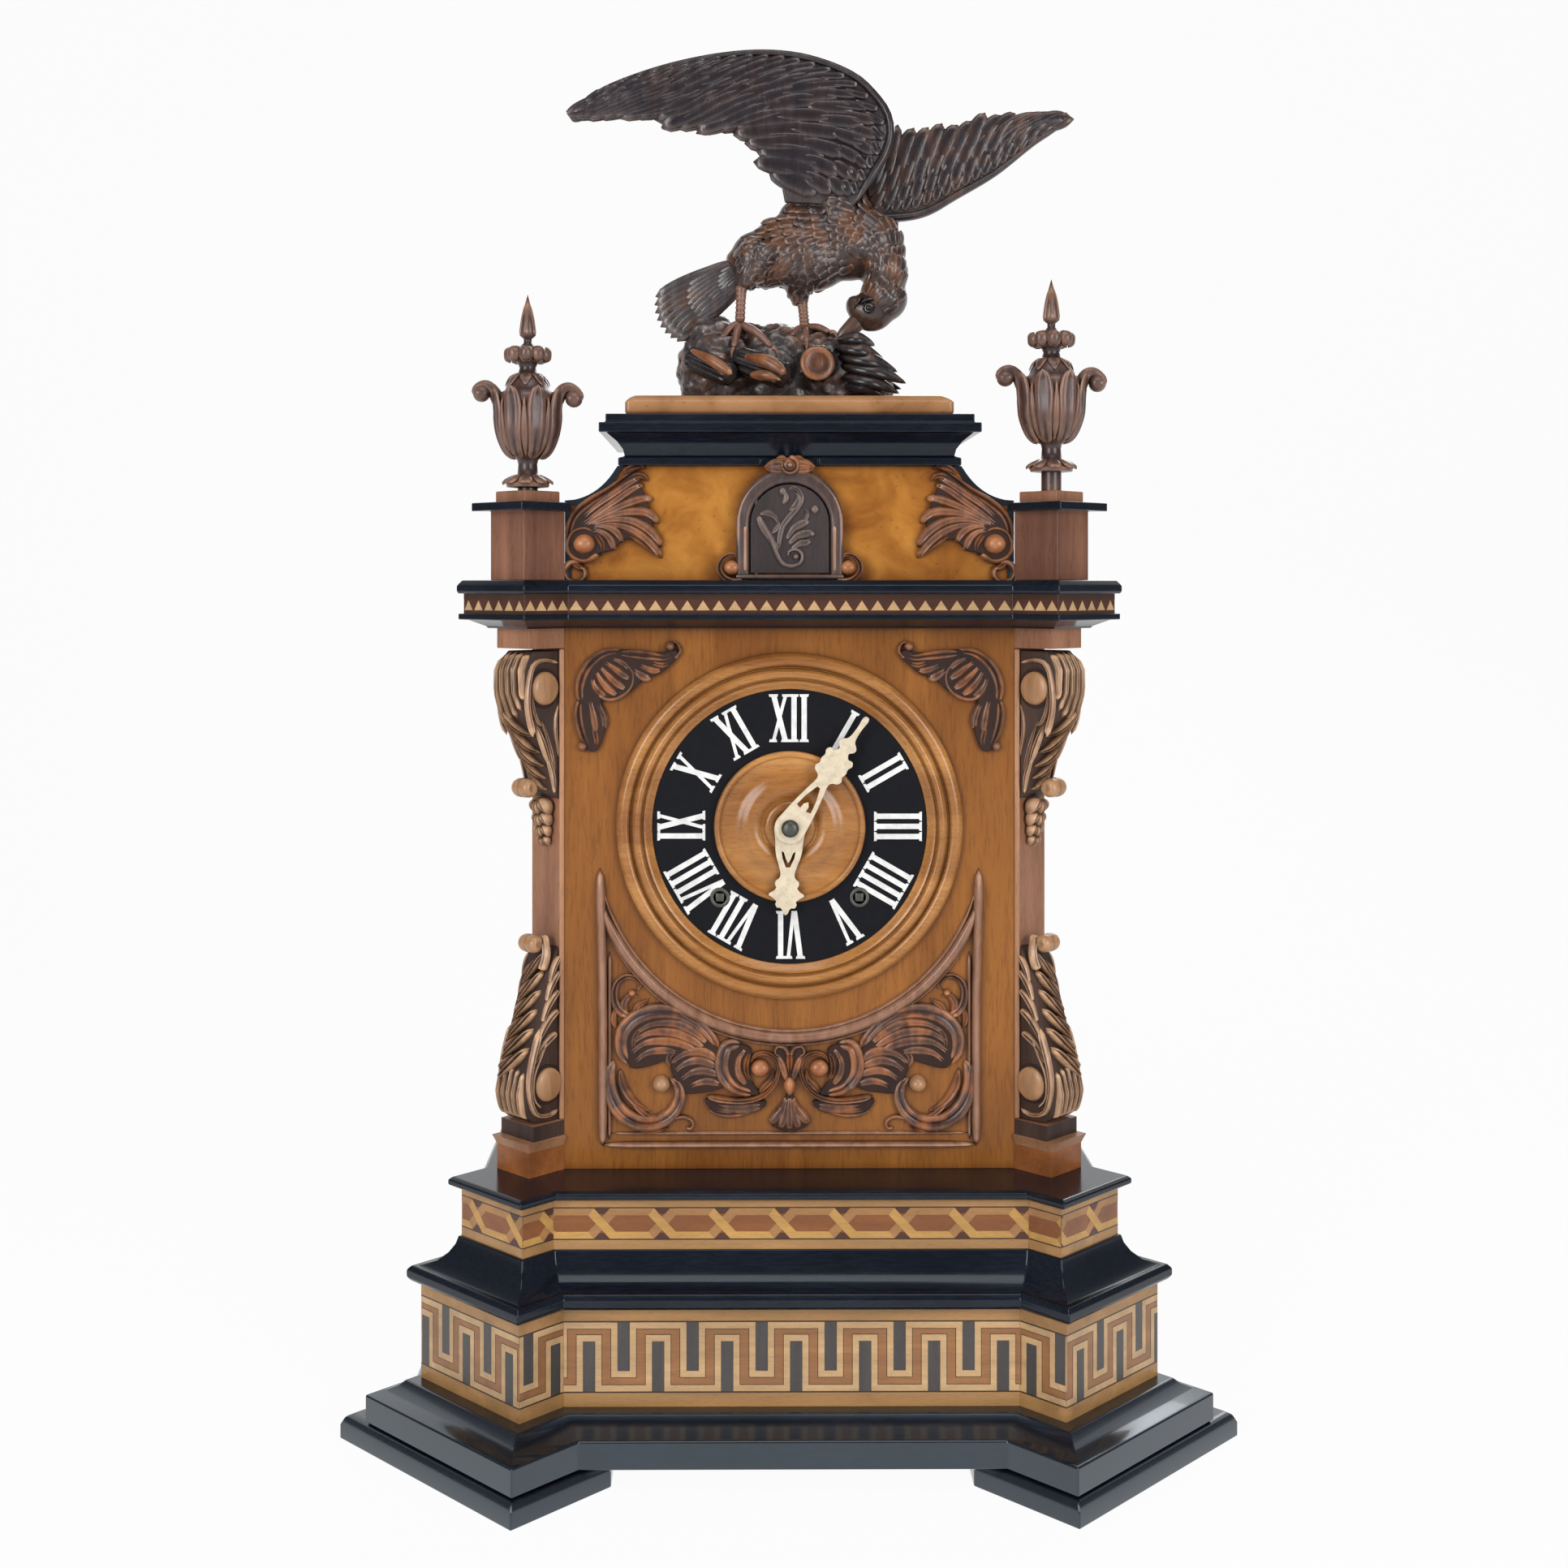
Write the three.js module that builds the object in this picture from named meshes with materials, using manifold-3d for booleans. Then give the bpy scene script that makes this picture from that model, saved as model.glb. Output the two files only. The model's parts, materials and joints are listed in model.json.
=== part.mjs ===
// Cuckoo mantel clock: carved and inlaid case, dial, movement, cuckoo, bellows and gong.
// Millimetres, +Z up, the front faces -Y. The pieces are drawn with the front panel's face at Y = 0,
// and the whole clock is then moved so that its origin is the middle of its footprint, on the floor.
import * as THREE from 'three';
import { mergeVertices } from 'three/addons/utils/BufferGeometryUtils.js';
import Module from 'manifold-3d';

const wasm = await Module();
wasm.setup();

// Clearances
const GAP = 0.3; // between pieces that touch or run in each other
const PIVOT_PLAY = 0.5; // between a pivot and its hole

// Plans of the stacked tiers. Each has a straight front between two square corners that stand
// out along the diagonal: half width to the outer corner, reach of the front corner, reach of the front.
const CORNER_X = 142.2; // every front corner lies on this line
const BACK_Y = 175;
const FOOT_PLAN = { wide: 249, reach: 105, front: 73 };
const PLINTH_PLAN = { wide: 232.7, reach: 100.8, front: 69.6 };
const PLINTH_TOP_PLAN = { wide: 210.8, reach: 77.1, front: 52.7 };
const KEY_PLAN = { wide: 202.8, reach: 65.8, front: 44.7 };
const BEAD_PLAN = { wide: 211, reach: 74.5, front: 52.4 };
const COVE_TOP_PLAN = { wide: 181.6, reach: 51.4, front: 35.6 };
const CHAIN_PLAN = { wide: 179.6, reach: 49.1, front: 34.3 };
const CAP_PLAN = { wide: 187, reach: 58.2, front: 41 };
const PIER_PLAN = { wide: 162, reach: 17.6, front: 0 };
const CORNICE_NECK_PLAN = { wide: 163.4, reach: 22.8, front: 3 };
const CORNICE_PLAN = { wide: 184, reach: 43.7, front: 22 };

// Heights, from the floor up
const FOOT_TOP = 14.1;
const PLINTH_TOP = 36.7;
const KEY_TOP = 89.9;
const COVE_TOP = 116.6;
const CHAIN_TOP = 143.8;
const BASE_TOP = 149.2;
const CASE_TOP = 448.5;
const CORNICE_LOWER_TOP = CASE_TOP + 8;
const INLAY_TOP = CORNICE_LOWER_TOP + 11;
const CORNICE_TOP = INLAY_TOP + 7.4;

// Profiles of the mouldings: share of the height, share of the way from the inner plan to the outer one
const PLINTH_PROFILE = [[0, 1], [0.65, 1], [0.685, 0.86], [0.77, 0.5], [0.87, 0.2], [1, 0]];
const BEAD_COVE_PROFILE = [
  [0, 0.9], [0.08, 1], [0.23, 1], [0.32, 0.9], [0.33, 0.72], [0.46, 0.42], [0.64, 0.2], [0.83, 0.06], [1, 0],
];
const CAP_PROFILE = [[0, 0.6], [0.25, 1], [0.75, 1], [1, 0.65]];
const CORNICE_LOWER_PROFILE = [[0, 0.17], [0.12, 0.2], [0.56, 0.68], [0.6, 0.95], [1, 0.95]];
const INLAY_PROFILE = [[0, 0.8], [1, 0.8]];
const CORNICE_TOP_PROFILE = [[0, 0.95], [0.15, 1], [0.6, 1], [1, 0.85]];
const FOOT_PROFILE = [[0, 0], [0.55, 0], [0.85, 2], [1, 6]]; // share of the height, how far in

// Feet and hollow base
const FOOT_INNER_X = 95;
const FOOT_STRIP_X = 130; // inner edge of the strip that runs back
const FOOT_RETURN_Y = 30;
const HOLLOW_HALF = 150;
const HOLLOW_FRONT = -18;
const HOLLOW_BACK = 158;

// Case
const PANEL_THICK = 12;
const BOARD = 12; // side boards
const SHELF_TOP = 247;
const SHELF_THICK = 10;
const SHELF_BACK = 88;
const TOP_BOARD = 7;
const FRAME_FRONT = 158; // rear frame, front and back faces
const FRAME_BACK = 170;
const REAR_OPENING = { half: 95, low: 185, high: 430 };
const REAR_DOOR_THICK = 8;
const REAR_DOOR_GAP = 1.8;
const REAR_PIVOT_INSET = 4.5; // pivot line, in from the rear door's edge
const REAR_PIVOT_R = 2;
const REAR_PIVOT_LONG = 6;
const WIRE_SLOT = { half: 20, front: 100, back: 130 }; // wires from the movement pass here

// Corner piers: blocks stand out square from the chamfered corner
const BLOCK_TOP = 163;
const FLARE_TOP = 168;
const FLARE_OUT = 2;
const FLARE_STEP = 0.2; // height in which the flare steps in to the neck
const NECK_TOP = 176.8;
const NECK_IN = 3;
const CAPITAL_LOW = CASE_TOP - 11.1;

// Consoles, in their own plane: out from the corner's chamfer, and up
const CONSOLE_WIDE = 24;
const CONSOLE_BACK = 0.3;
const EYE_R = 8.5;
const EYE_OUT = 2.2;
const CONSOLE_BALL_R = 5;

// Cuckoo door: an arch in a frame
const DOOR = { half: 21.5, low: CORNICE_TOP + 4.1, straight: 27, thick: 2, back: -5.5 };
const DOOR_SPRING = DOOR.low + DOOR.straight;
const DOOR_PIVOT_IN = 3; // pivot line, in from the door's left edge
const DOOR_PIVOT_R = 0.8;
const DOOR_FRAME = {
  play: 2.2, half: DOOR.half + 7.7, low: CORNICE_TOP + 0.5, top: DOOR_SPRING + DOOR.half + 5.8, deep: 8,
};
const DOOR_PIVOT_REACH = 4; // of the upper pivot, into the arch
const DOORWAY_IN = 1; // the doorway in the attic is smaller than the door by this

// Heights above the door
const ATTIC_TOP = DOOR_SPRING + DOOR.half + 10.7;
const TOP_MOULDING_TOP = ATTIC_TOP + 27.8;
const TOP_PLATE_TOP = TOP_MOULDING_TOP + 11.3;

// Attic
const ATTIC_SHOULDER_Z = ATTIC_TOP - 20.6;
const ATTIC_HALF = 121.5;
const ATTIC_TOP_HALF = 94;
const ATTIC_THICK = 10;
const ATTIC_WALL = 8;
const ATTIC_BOX_HALF = 92;
const ATTIC_BACK = 150;
const RAIL = { inner: 6.5, outer: 9.5, high: 4, back: 112 };
const LEAF_OUT = 4.5;
const LEAF_EYE_R = 5.4;
const LEAF_EYE_OUT = 3.5;

// Upper piers and finials
const UPPER_PIER = { x: 144.3, y: -4.5, half: 20.5, tall: 38 };
const UPPER_PIER_TOP = CORNICE_TOP + UPPER_PIER.tall;
const PIER_CAP = { half: 31, top: UPPER_PIER_TOP + 4.5, clearX: 122 };
const URN_PLATE = { half: 25.5, top: PIER_CAP.top + 6.4 };
const URN_SEGMENTS = 10;
const RIGHT_URN_PEG = 9.5; // the right urn stands higher on its peg

// Top mouldings, each a half width at a height
const TOP_OVERHANG = 3; // the front lies this far out from the attic's face at the narrow neck
const TOP_NECK_HALF = 91;
const TOP_BACK = 152;
const TOP_MOULDING_LEVELS = [
  [0, 94.5], [4, 94.5], [5.2, TOP_NECK_HALF], [9, 92], [13, 95], [17.5, 100.5], [17.6, 104.5], [22.8, 104.5],
  [23.3, 101], [27.8, 101],
];
const TOP_PLATE_LEVELS = [[0, 91], [7.3, 91], [10.1, 89.5], [11.3, 86.5]];

// Eagle
const EAGLE_Y = 55;
const WING_THICK = 8;

// Dial
const DIAL_Z = 339;
const CHAPTER_R = 75;
const CHAPTER_THICK = 2.5;
const CHAPTER_SEAT = 4.5; // how far the bezel laps the chapter plate
const BEZEL_R = 96;
const CENTRE_R = 41.8;
const WINDING_X = 38.5;
const WINDING_Z = 299.8;
const WINDING_HOLE_R = 4.6;
const HAND_HOLE_R = 5.5;
const HOUR_HAND = { back: -8, thick: 1.2, root: 7.5, turn: 183 };
const MINUTE_HAND = { back: -10.4, thick: 1.2, root: 6, turn: 35 };

// Movement: depths of its plates and layers, positions of its arbors (x, z)
const PLATE = { half: 74, low: SHELF_TOP, high: 412, thick: 3, front: 26, back: 83 };
const PILLAR_R = 3.5;
const PILLAR_IN = 6;
const CENTRE = { x: 0, z: DIAL_Z };
const GOING = { x: WINDING_X, z: WINDING_Z };
const STRIKE = { x: -WINDING_X, z: WINDING_Z };
const THIRD_TURN = 134; // degrees, direction of the third arbor from the centre arbor
const MOTION_TURN = -45; // degrees, direction of the minute wheel from the centre arbor
const ARBOR_R = 2;
const PIPE = { inner: 2.6, outer: 3.6, front: -9.6 };
const BARREL_ARBOR_R = 3.2;
const BARREL_R = 26;
const SQUARE = 4.6; // winding square
const SQUARE_FRONT = -1;

// Teeth. Modules of the wheels that mesh follow from the distance between their arbors.
const GREAT_TEETH = 48;
const CENTRE_PINION = 8;
const CENTRE_TEETH = 40;
const THIRD_PINION = 8;
const THIRD_TEETH = 36;
const ESCAPE_PINION = 8;
const TRAIN_MODULE = 1.2;
const CANNON_TEETH = 12;
const MINUTE_TEETH = 36;
const MINUTE_PINION = 10;
const HOUR_TEETH = 40;
const MOTION_DISTANCE = 24;
const WHEEL_THICK = 2.5;
const GREAT_THICK = 4;
const LAYER = { hour: 15.5, minute: 21, great: 34, strike: 44, centre: 52, third: 60, escape: 74 };
const ESCAPE_R = 14;
const ESCAPE_ROOT_R = 10;
const ESCAPE_TEETH = 15;

// Pendulum and anchor
const ANCHOR_UP = 21; // anchor arbor above the escape arbor
const PALLET_CLEAR = 1.7;
const CRUTCH = { front: 87.5, back: 89.5, low: 52, inner: 2.4, outer: 4, thick: 3 };
const COCK = { front: 91, back: 100.5, cheek: 1.5, half: 5, pinR: 1.2 };
const ROD = { y: 95.7, r: 1.5 };
const EYE = { half: 2.2, r: 4 }; // of the pendulum, on the cock's pin
const BOB = { down: 172, r: 21, thick: 8, rim: 1.2 };

// Cuckoo on its slide
const CARRIAGE = { half: 6, front: 60, back: 88, low: CORNICE_TOP + 0.3, high: CORNICE_TOP + 6.1 };
const PERCH = { z: CORNICE_TOP + 12.1, r: 2.2, front: 30 };
const BIRD = { y: 36, z: CORNICE_TOP + 24.1 };

// Bellows against the side boards
const BELLOWS = { inner: 104, front: 92, back: 152, low: 400, board: 4, fold: 5 };
const PIPE_BOX = { inner: 108, front: 100, back: 130, low: 300 };

// Gong and hammer
const GONG = { y: 118, z: 195, rodR: 1.6, innerR: 8, outerR: 36, turns: 3 };
const GONG_POST = { half: 8, front: 124, back: 134, high: 203 };
const HAMMER = { x: 52, z: 262, headX: 38.5, headZ: 213.7, headR: 4, arborR: 1.8 };

// Applied carving
const SPANDREL = { out: 4, ballR: 3.2 };
const CARVED = { half: 106, low: 160.5, arcR: 108.7, side: 7, arcRim: 10, out: 5, scrollOut: 3.5 };

// Colours
const black = { color: 0x15171c, roughness: 0.25, metalness: 0 };
const panelWood = { color: 0xa8692c, roughness: 0.4, metalness: 0 };
const burl = { color: 0xc08a3e, roughness: 0.35, metalness: 0 };
const pierWood = { color: 0x99603c, roughness: 0.5, metalness: 0 };
const carvedWood = { color: 0x5d3826, roughness: 0.45, metalness: 0 };
const inlayWood = { color: 0xc89a5c, roughness: 0.4, metalness: 0 };
const plainWood = { color: 0x7a5230, roughness: 0.7, metalness: 0 };
const brass = { color: 0xb08d3c, roughness: 0.35, metalness: 1 };
const steel = { color: 0x8a8d90, roughness: 0.35, metalness: 1 };
const bone = { color: 0xefe3c4, roughness: 0.5, metalness: 0 };

const clock = new THREE.Group();
clock.position.y = (FOOT_PLAN.reach - BACK_Y) / 2;

const radians = (degrees) => THREE.MathUtils.degToRad(degrees);
const mix = (a, b, t) => a + (b - a) * t;
const point = (x, y) => new THREE.Vector2(x, y);
const points = (pairs) => pairs.map(([x, y]) => point(x, y));

// Bare positions with shared corners, no empty triangles, facing out
function clean(geometry) {
  const bare = geometry.clone();
  for (const name of Object.keys(bare.attributes)) {
    if (name !== 'position') bare.deleteAttribute(name);
  }
  const merged = mergeVertices(bare, 1e-4);
  const place = merged.attributes.position;
  const kept = [];
  let volume = 0;
  for (let i = 0; i < merged.index.count; i += 3) {
    const [a, b, c] = [0, 1, 2].map((k) => merged.index.getX(i + k));
    if (a === b || b === c || a === c) continue;
    kept.push([a, b, c]);
    const [pa, pb, pc] = [a, b, c].map((k) => new THREE.Vector3().fromBufferAttribute(place, k));
    volume += pa.dot(pb.cross(pc));
  }
  const facing = volume < 0 ? kept.map(([a, b, c]) => [a, c, b]) : kept;
  merged.setIndex(facing.flat());
  return merged;
}

function solidOf(geometry) {
  const ready = clean(geometry);
  return new wasm.Manifold(new wasm.Mesh({
    numProp: 3,
    vertProperties: Float32Array.from(ready.attributes.position.array),
    triVerts: Uint32Array.from(ready.index.array),
  }));
}

function geometryOf(solid) {
  const mesh = solid.getMesh();
  const geometry = new THREE.BufferGeometry();
  geometry.setAttribute('position', new THREE.BufferAttribute(mesh.vertProperties, mesh.numProp));
  geometry.setIndex(new THREE.BufferAttribute(mesh.triVerts, 1));
  return geometry;
}

const joined = (...parts) => geometryOf(parts.map(solidOf).reduce((all, one) => all.add(one)));
const cut = (whole, ...tools) =>
  geometryOf(tools.map(solidOf).reduce((left, tool) => left.subtract(tool), solidOf(whole)));

function add(name, geometry, look, parent = clock) {
  const mesh = new THREE.Mesh(clean(geometry), new THREE.MeshStandardMaterial(look));
  mesh.name = name;
  parent.add(mesh);
  return mesh;
}

// Basic shapes
function block(x0, x1, y0, y1, z0, z1) {
  const box = new THREE.BoxGeometry(x1 - x0, y1 - y0, z1 - z0);
  return box.translate((x0 + x1) / 2, (y0 + y1) / 2, (z0 + z1) / 2);
}

// A block between two distances from the middle plane, on one side of it
const sided = (side, near, far, ...rest) =>
  block(Math.min(side * near, side * far), Math.max(side * near, side * far), ...rest);

// A flat outline (x, y) raised from z0 to z1
function prism(outline, z0, z1) {
  const shape = new THREE.Shape(outline);
  const options = { depth: z1 - z0, bevelEnabled: false };
  return new THREE.ExtrudeGeometry(shape, options).translate(0, 0, z0);
}

// An upright outline (x, z) running from the depth y0 to the depth y1
function slab(shape, y0, y1, curveSegments = 8) {
  const options = { depth: y1 - y0, bevelEnabled: false, curveSegments };
  return new THREE.ExtrudeGeometry(shape, options).rotateX(Math.PI / 2).translate(0, y1, 0);
}

const rodY = (x, z, y0, y1, r, sides = 12) =>
  new THREE.CylinderGeometry(r, r, y1 - y0, sides).translate(x, (y0 + y1) / 2, z);
const rodZ = (x, y, z0, z1, r, sides = 12) =>
  new THREE.CylinderGeometry(r, r, z1 - z0, sides).rotateX(Math.PI / 2).translate(x, y, (z0 + z1) / 2);
const ball = (x, y, z, r, across = 10, up = 6) =>
  new THREE.SphereGeometry(r, across, up).translate(x, y, z);

// An egg: a sphere stretched along its axes, leaned in the XZ plane and moved
function egg(centre, radii, lean = 0, grow = 0) {
  const [rx, ry, rz] = radii.map((r) => r + grow);
  return new THREE.SphereGeometry(1, 10, 7).scale(rx, ry, rz).rotateY(radians(lean)).translate(...centre);
}

// A round bar between two points
function bar(from, to, r0, r1 = r0, sides = 8) {
  const start = new THREE.Vector3(...from);
  const along = new THREE.Vector3(...to).sub(start);
  const rod = new THREE.CylinderGeometry(r1, r0, along.length(), sides);
  const up = new THREE.Vector3(0, 1, 0);
  const turn = new THREE.Quaternion().setFromUnitVectors(up, along.clone().normalize());
  return rod.applyQuaternion(turn).translate(...start.addScaledVector(along, 0.5).toArray());
}

// Turned pieces: a profile of (radius, height), about Z or about the depth axis
const turnedZ = (profile, segments) =>
  new THREE.LatheGeometry(points(profile), segments).rotateX(Math.PI / 2);
const turnedY = (profile, segments) => new THREE.LatheGeometry(points(profile), segments);

// A closed stack of outlines that have the same number of corners
function stack(rough) {
  const backwards = THREE.ShapeUtils.isClockWise(rough[0].outline);
  const levels = backwards ? rough.map(({ z, outline }) => ({ z, outline: [...outline].reverse() })) : rough;
  const count = levels[0].outline.length;
  const places = levels.flatMap(({ z, outline }) => outline.flatMap((p) => [p.x, p.y, z]));
  const faces = [];
  for (let level = 0; level + 1 < levels.length; level += 1) {
    for (let i = 0; i < count; i += 1) {
      const a = level * count + i;
      const b = level * count + ((i + 1) % count);
      faces.push(a, b, b + count, a, b + count, a + count);
    }
  }
  const last = (levels.length - 1) * count;
  for (const [a, b, c] of THREE.ShapeUtils.triangulateShape(levels[0].outline, [])) faces.push(a, c, b);
  for (const [a, b, c] of THREE.ShapeUtils.triangulateShape(levels.at(-1).outline, [])) {
    faces.push(last + a, last + b, last + c);
  }
  const geometry = new THREE.BufferGeometry();
  geometry.setAttribute('position', new THREE.Float32BufferAttribute(places, 3));
  geometry.setIndex(faces);
  return geometry;
}

// The outline of a tier. The corner is the same on both sides of its own diagonal.
function tierOutline({ wide, reach, front }) {
  const diagonal = wide - reach;
  const inner = CORNER_X - (reach - front);
  const side = front + diagonal;
  const half = [
    [-side, BACK_Y],
    [-side, diagonal - inner],
    [-wide, wide - CORNER_X - reach],
    [-CORNER_X, -reach],
    [-inner, -front],
  ];
  const mirrored = half.map(([x, y]) => [-x, y]).reverse();
  return points([...half, ...mirrored]);
}

function blend(planA, planB, t) {
  return {
    wide: mix(planA.wide, planB.wide, t),
    reach: mix(planA.reach, planB.reach, t),
    front: mix(planA.front, planB.front, t),
  };
}

// A moulding between two heights, between an inner and an outer plan
function moulding(low, high, inner, outer, profile) {
  return stack(profile.map(([rise, share]) =>
    ({ z: mix(low, high, rise), outline: tierOutline(blend(inner, outer, share)) })));
}

const hollow = (low, high) =>
  block(-HOLLOW_HALF, HOLLOW_HALF, HOLLOW_FRONT, HOLLOW_BACK, low - 1, high + 1);
const wireSlot = (low, high) =>
  block(-WIRE_SLOT.half, WIRE_SLOT.half, WIRE_SLOT.front, WIRE_SLOT.back, low - 1, high + 1);

// Feet: plates under the corners that run back along the sides
function footOutline(inset) {
  const { wide, reach, front } = FOOT_PLAN;
  const diagonal = wide - reach;
  const side = front + diagonal;
  const tip = inset * Math.SQRT2;
  const innerX = FOOT_INNER_X + inset;
  return points([
    [-innerX, -(reach - tip) + (CORNER_X - innerX)],
    [-CORNER_X, -(reach - tip)],
    [-(wide - tip), wide - CORNER_X - reach],
    [-(side - inset), wide - CORNER_X - reach + (wide - tip) - (side - inset)],
    [-(side - inset), BACK_Y],
    [-FOOT_STRIP_X, BACK_Y],
    [-FOOT_STRIP_X, FOOT_RETURN_Y],
    [-innerX, FOOT_RETURN_Y],
  ]);
}

function makeFeet() {
  const levels = FOOT_PROFILE.map(([rise, inset]) => ({ z: FOOT_TOP * rise, outline: footOutline(inset) }));
  const left = stack(levels);
  add('foot_left', left, black);
  add('foot_right', left.clone().scale(-1, 1, 1), black);
}

function makeBase() {
  const plinth = moulding(FOOT_TOP, PLINTH_TOP, PLINTH_TOP_PLAN, PLINTH_PLAN, PLINTH_PROFILE);
  add('plinth_moulding', cut(plinth, hollow(FOOT_TOP, PLINTH_TOP)), black);
  const key = moulding(PLINTH_TOP, KEY_TOP, KEY_PLAN, KEY_PLAN, INLAY_PROFILE);
  add('key_frieze', cut(key, hollow(PLINTH_TOP, KEY_TOP)), inlayWood);
  const cove = moulding(KEY_TOP, COVE_TOP, COVE_TOP_PLAN, BEAD_PLAN, BEAD_COVE_PROFILE);
  add('bead_cove_moulding', cut(cove, hollow(KEY_TOP, COVE_TOP)), black);
  const chain = moulding(COVE_TOP, CHAIN_TOP, CHAIN_PLAN, CHAIN_PLAN, INLAY_PROFILE);
  add('chain_frieze', cut(chain, hollow(COVE_TOP, CHAIN_TOP)), inlayWood);
  add('base_cap', moulding(CHAIN_TOP, BASE_TOP, CHAIN_PLAN, CAP_PLAN, CAP_PROFILE), black);
}

// Places that follow from the pier's plan
const PANEL_HALF = CORNER_X - PIER_PLAN.reach;
const SIDE_X = PIER_PLAN.wide - PIER_PLAN.reach;
const CHAMFER_Y = SIDE_X - PANEL_HALF;

function makeFrontPanel() {
  const board = block(-PANEL_HALF, PANEL_HALF, 0, PANEL_THICK, BASE_TOP, CASE_TOP);
  const hole = (x, z, r) => rodY(x, z, -1, PANEL_THICK + 1, r, 10);
  const panel = cut(board, hole(CENTRE.x, CENTRE.z, HAND_HOLE_R),
    hole(GOING.x, GOING.z, WINDING_HOLE_R), hole(STRIKE.x, STRIKE.z, WINDING_HOLE_R));
  add('front_panel', panel, panelWood);
}

// Places of the rear door, used by the frame and by the door
const REAR_DOOR = {
  half: REAR_OPENING.half - REAR_DOOR_GAP,
  low: REAR_OPENING.low + REAR_DOOR_GAP,
  high: REAR_OPENING.high - REAR_DOOR_GAP,
  front: FRAME_BACK - REAR_DOOR_THICK,
};
const REAR_PIVOT_X = REAR_DOOR.half - REAR_PIVOT_INSET;
const REAR_PIVOT_Y = FRAME_BACK - REAR_DOOR_THICK / 2;

// A board between the side boards, its front corners cut off along the corner posts
function innerBoard(front, back, low, high) {
  const inside = SIDE_X - BOARD;
  const into = inside + 1; // the board ends inside the side board
  const chamfered = [[PANEL_HALF, front], [inside, CHAMFER_Y], [into, CHAMFER_Y], [into, back]];
  const half = front < CHAMFER_Y ? chamfered : [[into, front], [into, back]];
  const mirrored = half.map(([x, y]) => [-x, y]).reverse();
  return prism(points([...half, ...mirrored]), low, high);
}

function makeCarcass() {
  const inside = SIDE_X - BOARD;
  const wall = (x0, x1) => block(x0, x1, CHAMFER_Y, BACK_Y, BASE_TOP, CASE_TOP);
  const topBoard = innerBoard(PANEL_THICK, BACK_Y, CASE_TOP - TOP_BOARD, CASE_TOP);
  const shelf = innerBoard(PANEL_THICK, SHELF_BACK, SHELF_TOP - SHELF_THICK, SHELF_TOP);
  const frame = innerBoard(FRAME_FRONT, FRAME_BACK, BASE_TOP, CASE_TOP);
  const { half, low, high } = REAR_OPENING;
  const doorway = block(-half, half, FRAME_FRONT - 1, FRAME_BACK + 1, low, high);
  const socket = rodZ(REAR_PIVOT_X, REAR_PIVOT_Y, low - REAR_PIVOT_LONG, high + REAR_PIVOT_LONG,
    REAR_PIVOT_R + PIVOT_PLAY);
  const carcass = joined(wall(-SIDE_X, -inside), wall(inside, SIDE_X), topBoard, shelf, cut(frame, doorway));
  add('case_carcass', cut(carcass, socket, wireSlot(CASE_TOP - TOP_BOARD, CASE_TOP)), plainWood);
}

function makeRearDoor() {
  const { half, low, high, front } = REAR_DOOR;
  const board = block(-half, half, front, FRAME_BACK, low, high);
  const reach = REAR_PIVOT_LONG - PIVOT_PLAY + REAR_DOOR_GAP;
  const pivot = rodZ(REAR_PIVOT_X, REAR_PIVOT_Y, low - reach, high + reach, REAR_PIVOT_R);
  add('rear_door', joined(board, pivot), plainWood);
}

// The corner post fills the chamfer; square blocks stand out from it at the foot and the head
const REACH_OF_BLOCK = PIER_PLAN.reach * Math.SQRT2;
function blockOutline(out) {
  const lift = (out * Math.SQRT2) / 2;
  const grown = Math.max(out - REACH_OF_BLOCK, 0) / Math.SQRT2;
  return points([
    [-PANEL_HALF + grown, -grown],
    [-PANEL_HALF + grown - lift, -grown - lift],
    [-SIDE_X - grown - lift, CHAMFER_Y + grown - lift],
    [-SIDE_X - grown, CHAMFER_Y + grown],
  ]);
}
function makePiers() {
  const inside = SIDE_X - BOARD;
  const post = prism(points([
    [-PANEL_HALF, 0], [-SIDE_X, CHAMFER_Y], [-inside, CHAMFER_Y], [-PANEL_HALF, PANEL_THICK],
  ]), BASE_TOP, CASE_TOP);
  const flat = (z, out) => ({ z, outline: blockOutline(out) });
  const foot = stack([
    flat(BASE_TOP, REACH_OF_BLOCK), flat(BLOCK_TOP, REACH_OF_BLOCK),
    flat(FLARE_TOP, REACH_OF_BLOCK + FLARE_OUT),
    flat(FLARE_TOP + FLARE_STEP, REACH_OF_BLOCK - NECK_IN), flat(NECK_TOP, REACH_OF_BLOCK - NECK_IN),
  ]);
  const head = stack([flat(CAPITAL_LOW, REACH_OF_BLOCK), flat(CASE_TOP, REACH_OF_BLOCK)]);
  const clear = block(-PANEL_HALF, 0, -GAP, PANEL_THICK, BASE_TOP - 1, CASE_TOP + 1);
  const left = cut(joined(post, foot, head), clear);
  add('pier_left', left, pierWood);
  add('pier_right', left.clone().scale(-1, 1, 1), pierWood);
}

// Console outlines (out from the corner, height above its lower end)
const UPPER_CONSOLE = { tall: 108.1, ballOut: 11.5, ballUp: 31, eyeOut: 9.5, eyeUp: 86.5 };
const LOWER_CONSOLE = { tall: 106.9, ballOut: 10.5, ballUp: 94, eyeOut: 10, eyeUp: 20 };

function upperConsoleShape() {
  const { tall } = UPPER_CONSOLE;
  const shape = new THREE.Shape();
  shape.moveTo(CONSOLE_BACK, 0);
  shape.lineTo(2.5, 1);
  shape.splineThru(points([[5, 9], [7, 22], [7.5, 38], [14, 56], [23, 73], [25, 86], [23.5, 98]]));
  shape.lineTo(19, tall);
  shape.lineTo(CONSOLE_BACK, tall);
  return shape;
}

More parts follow.
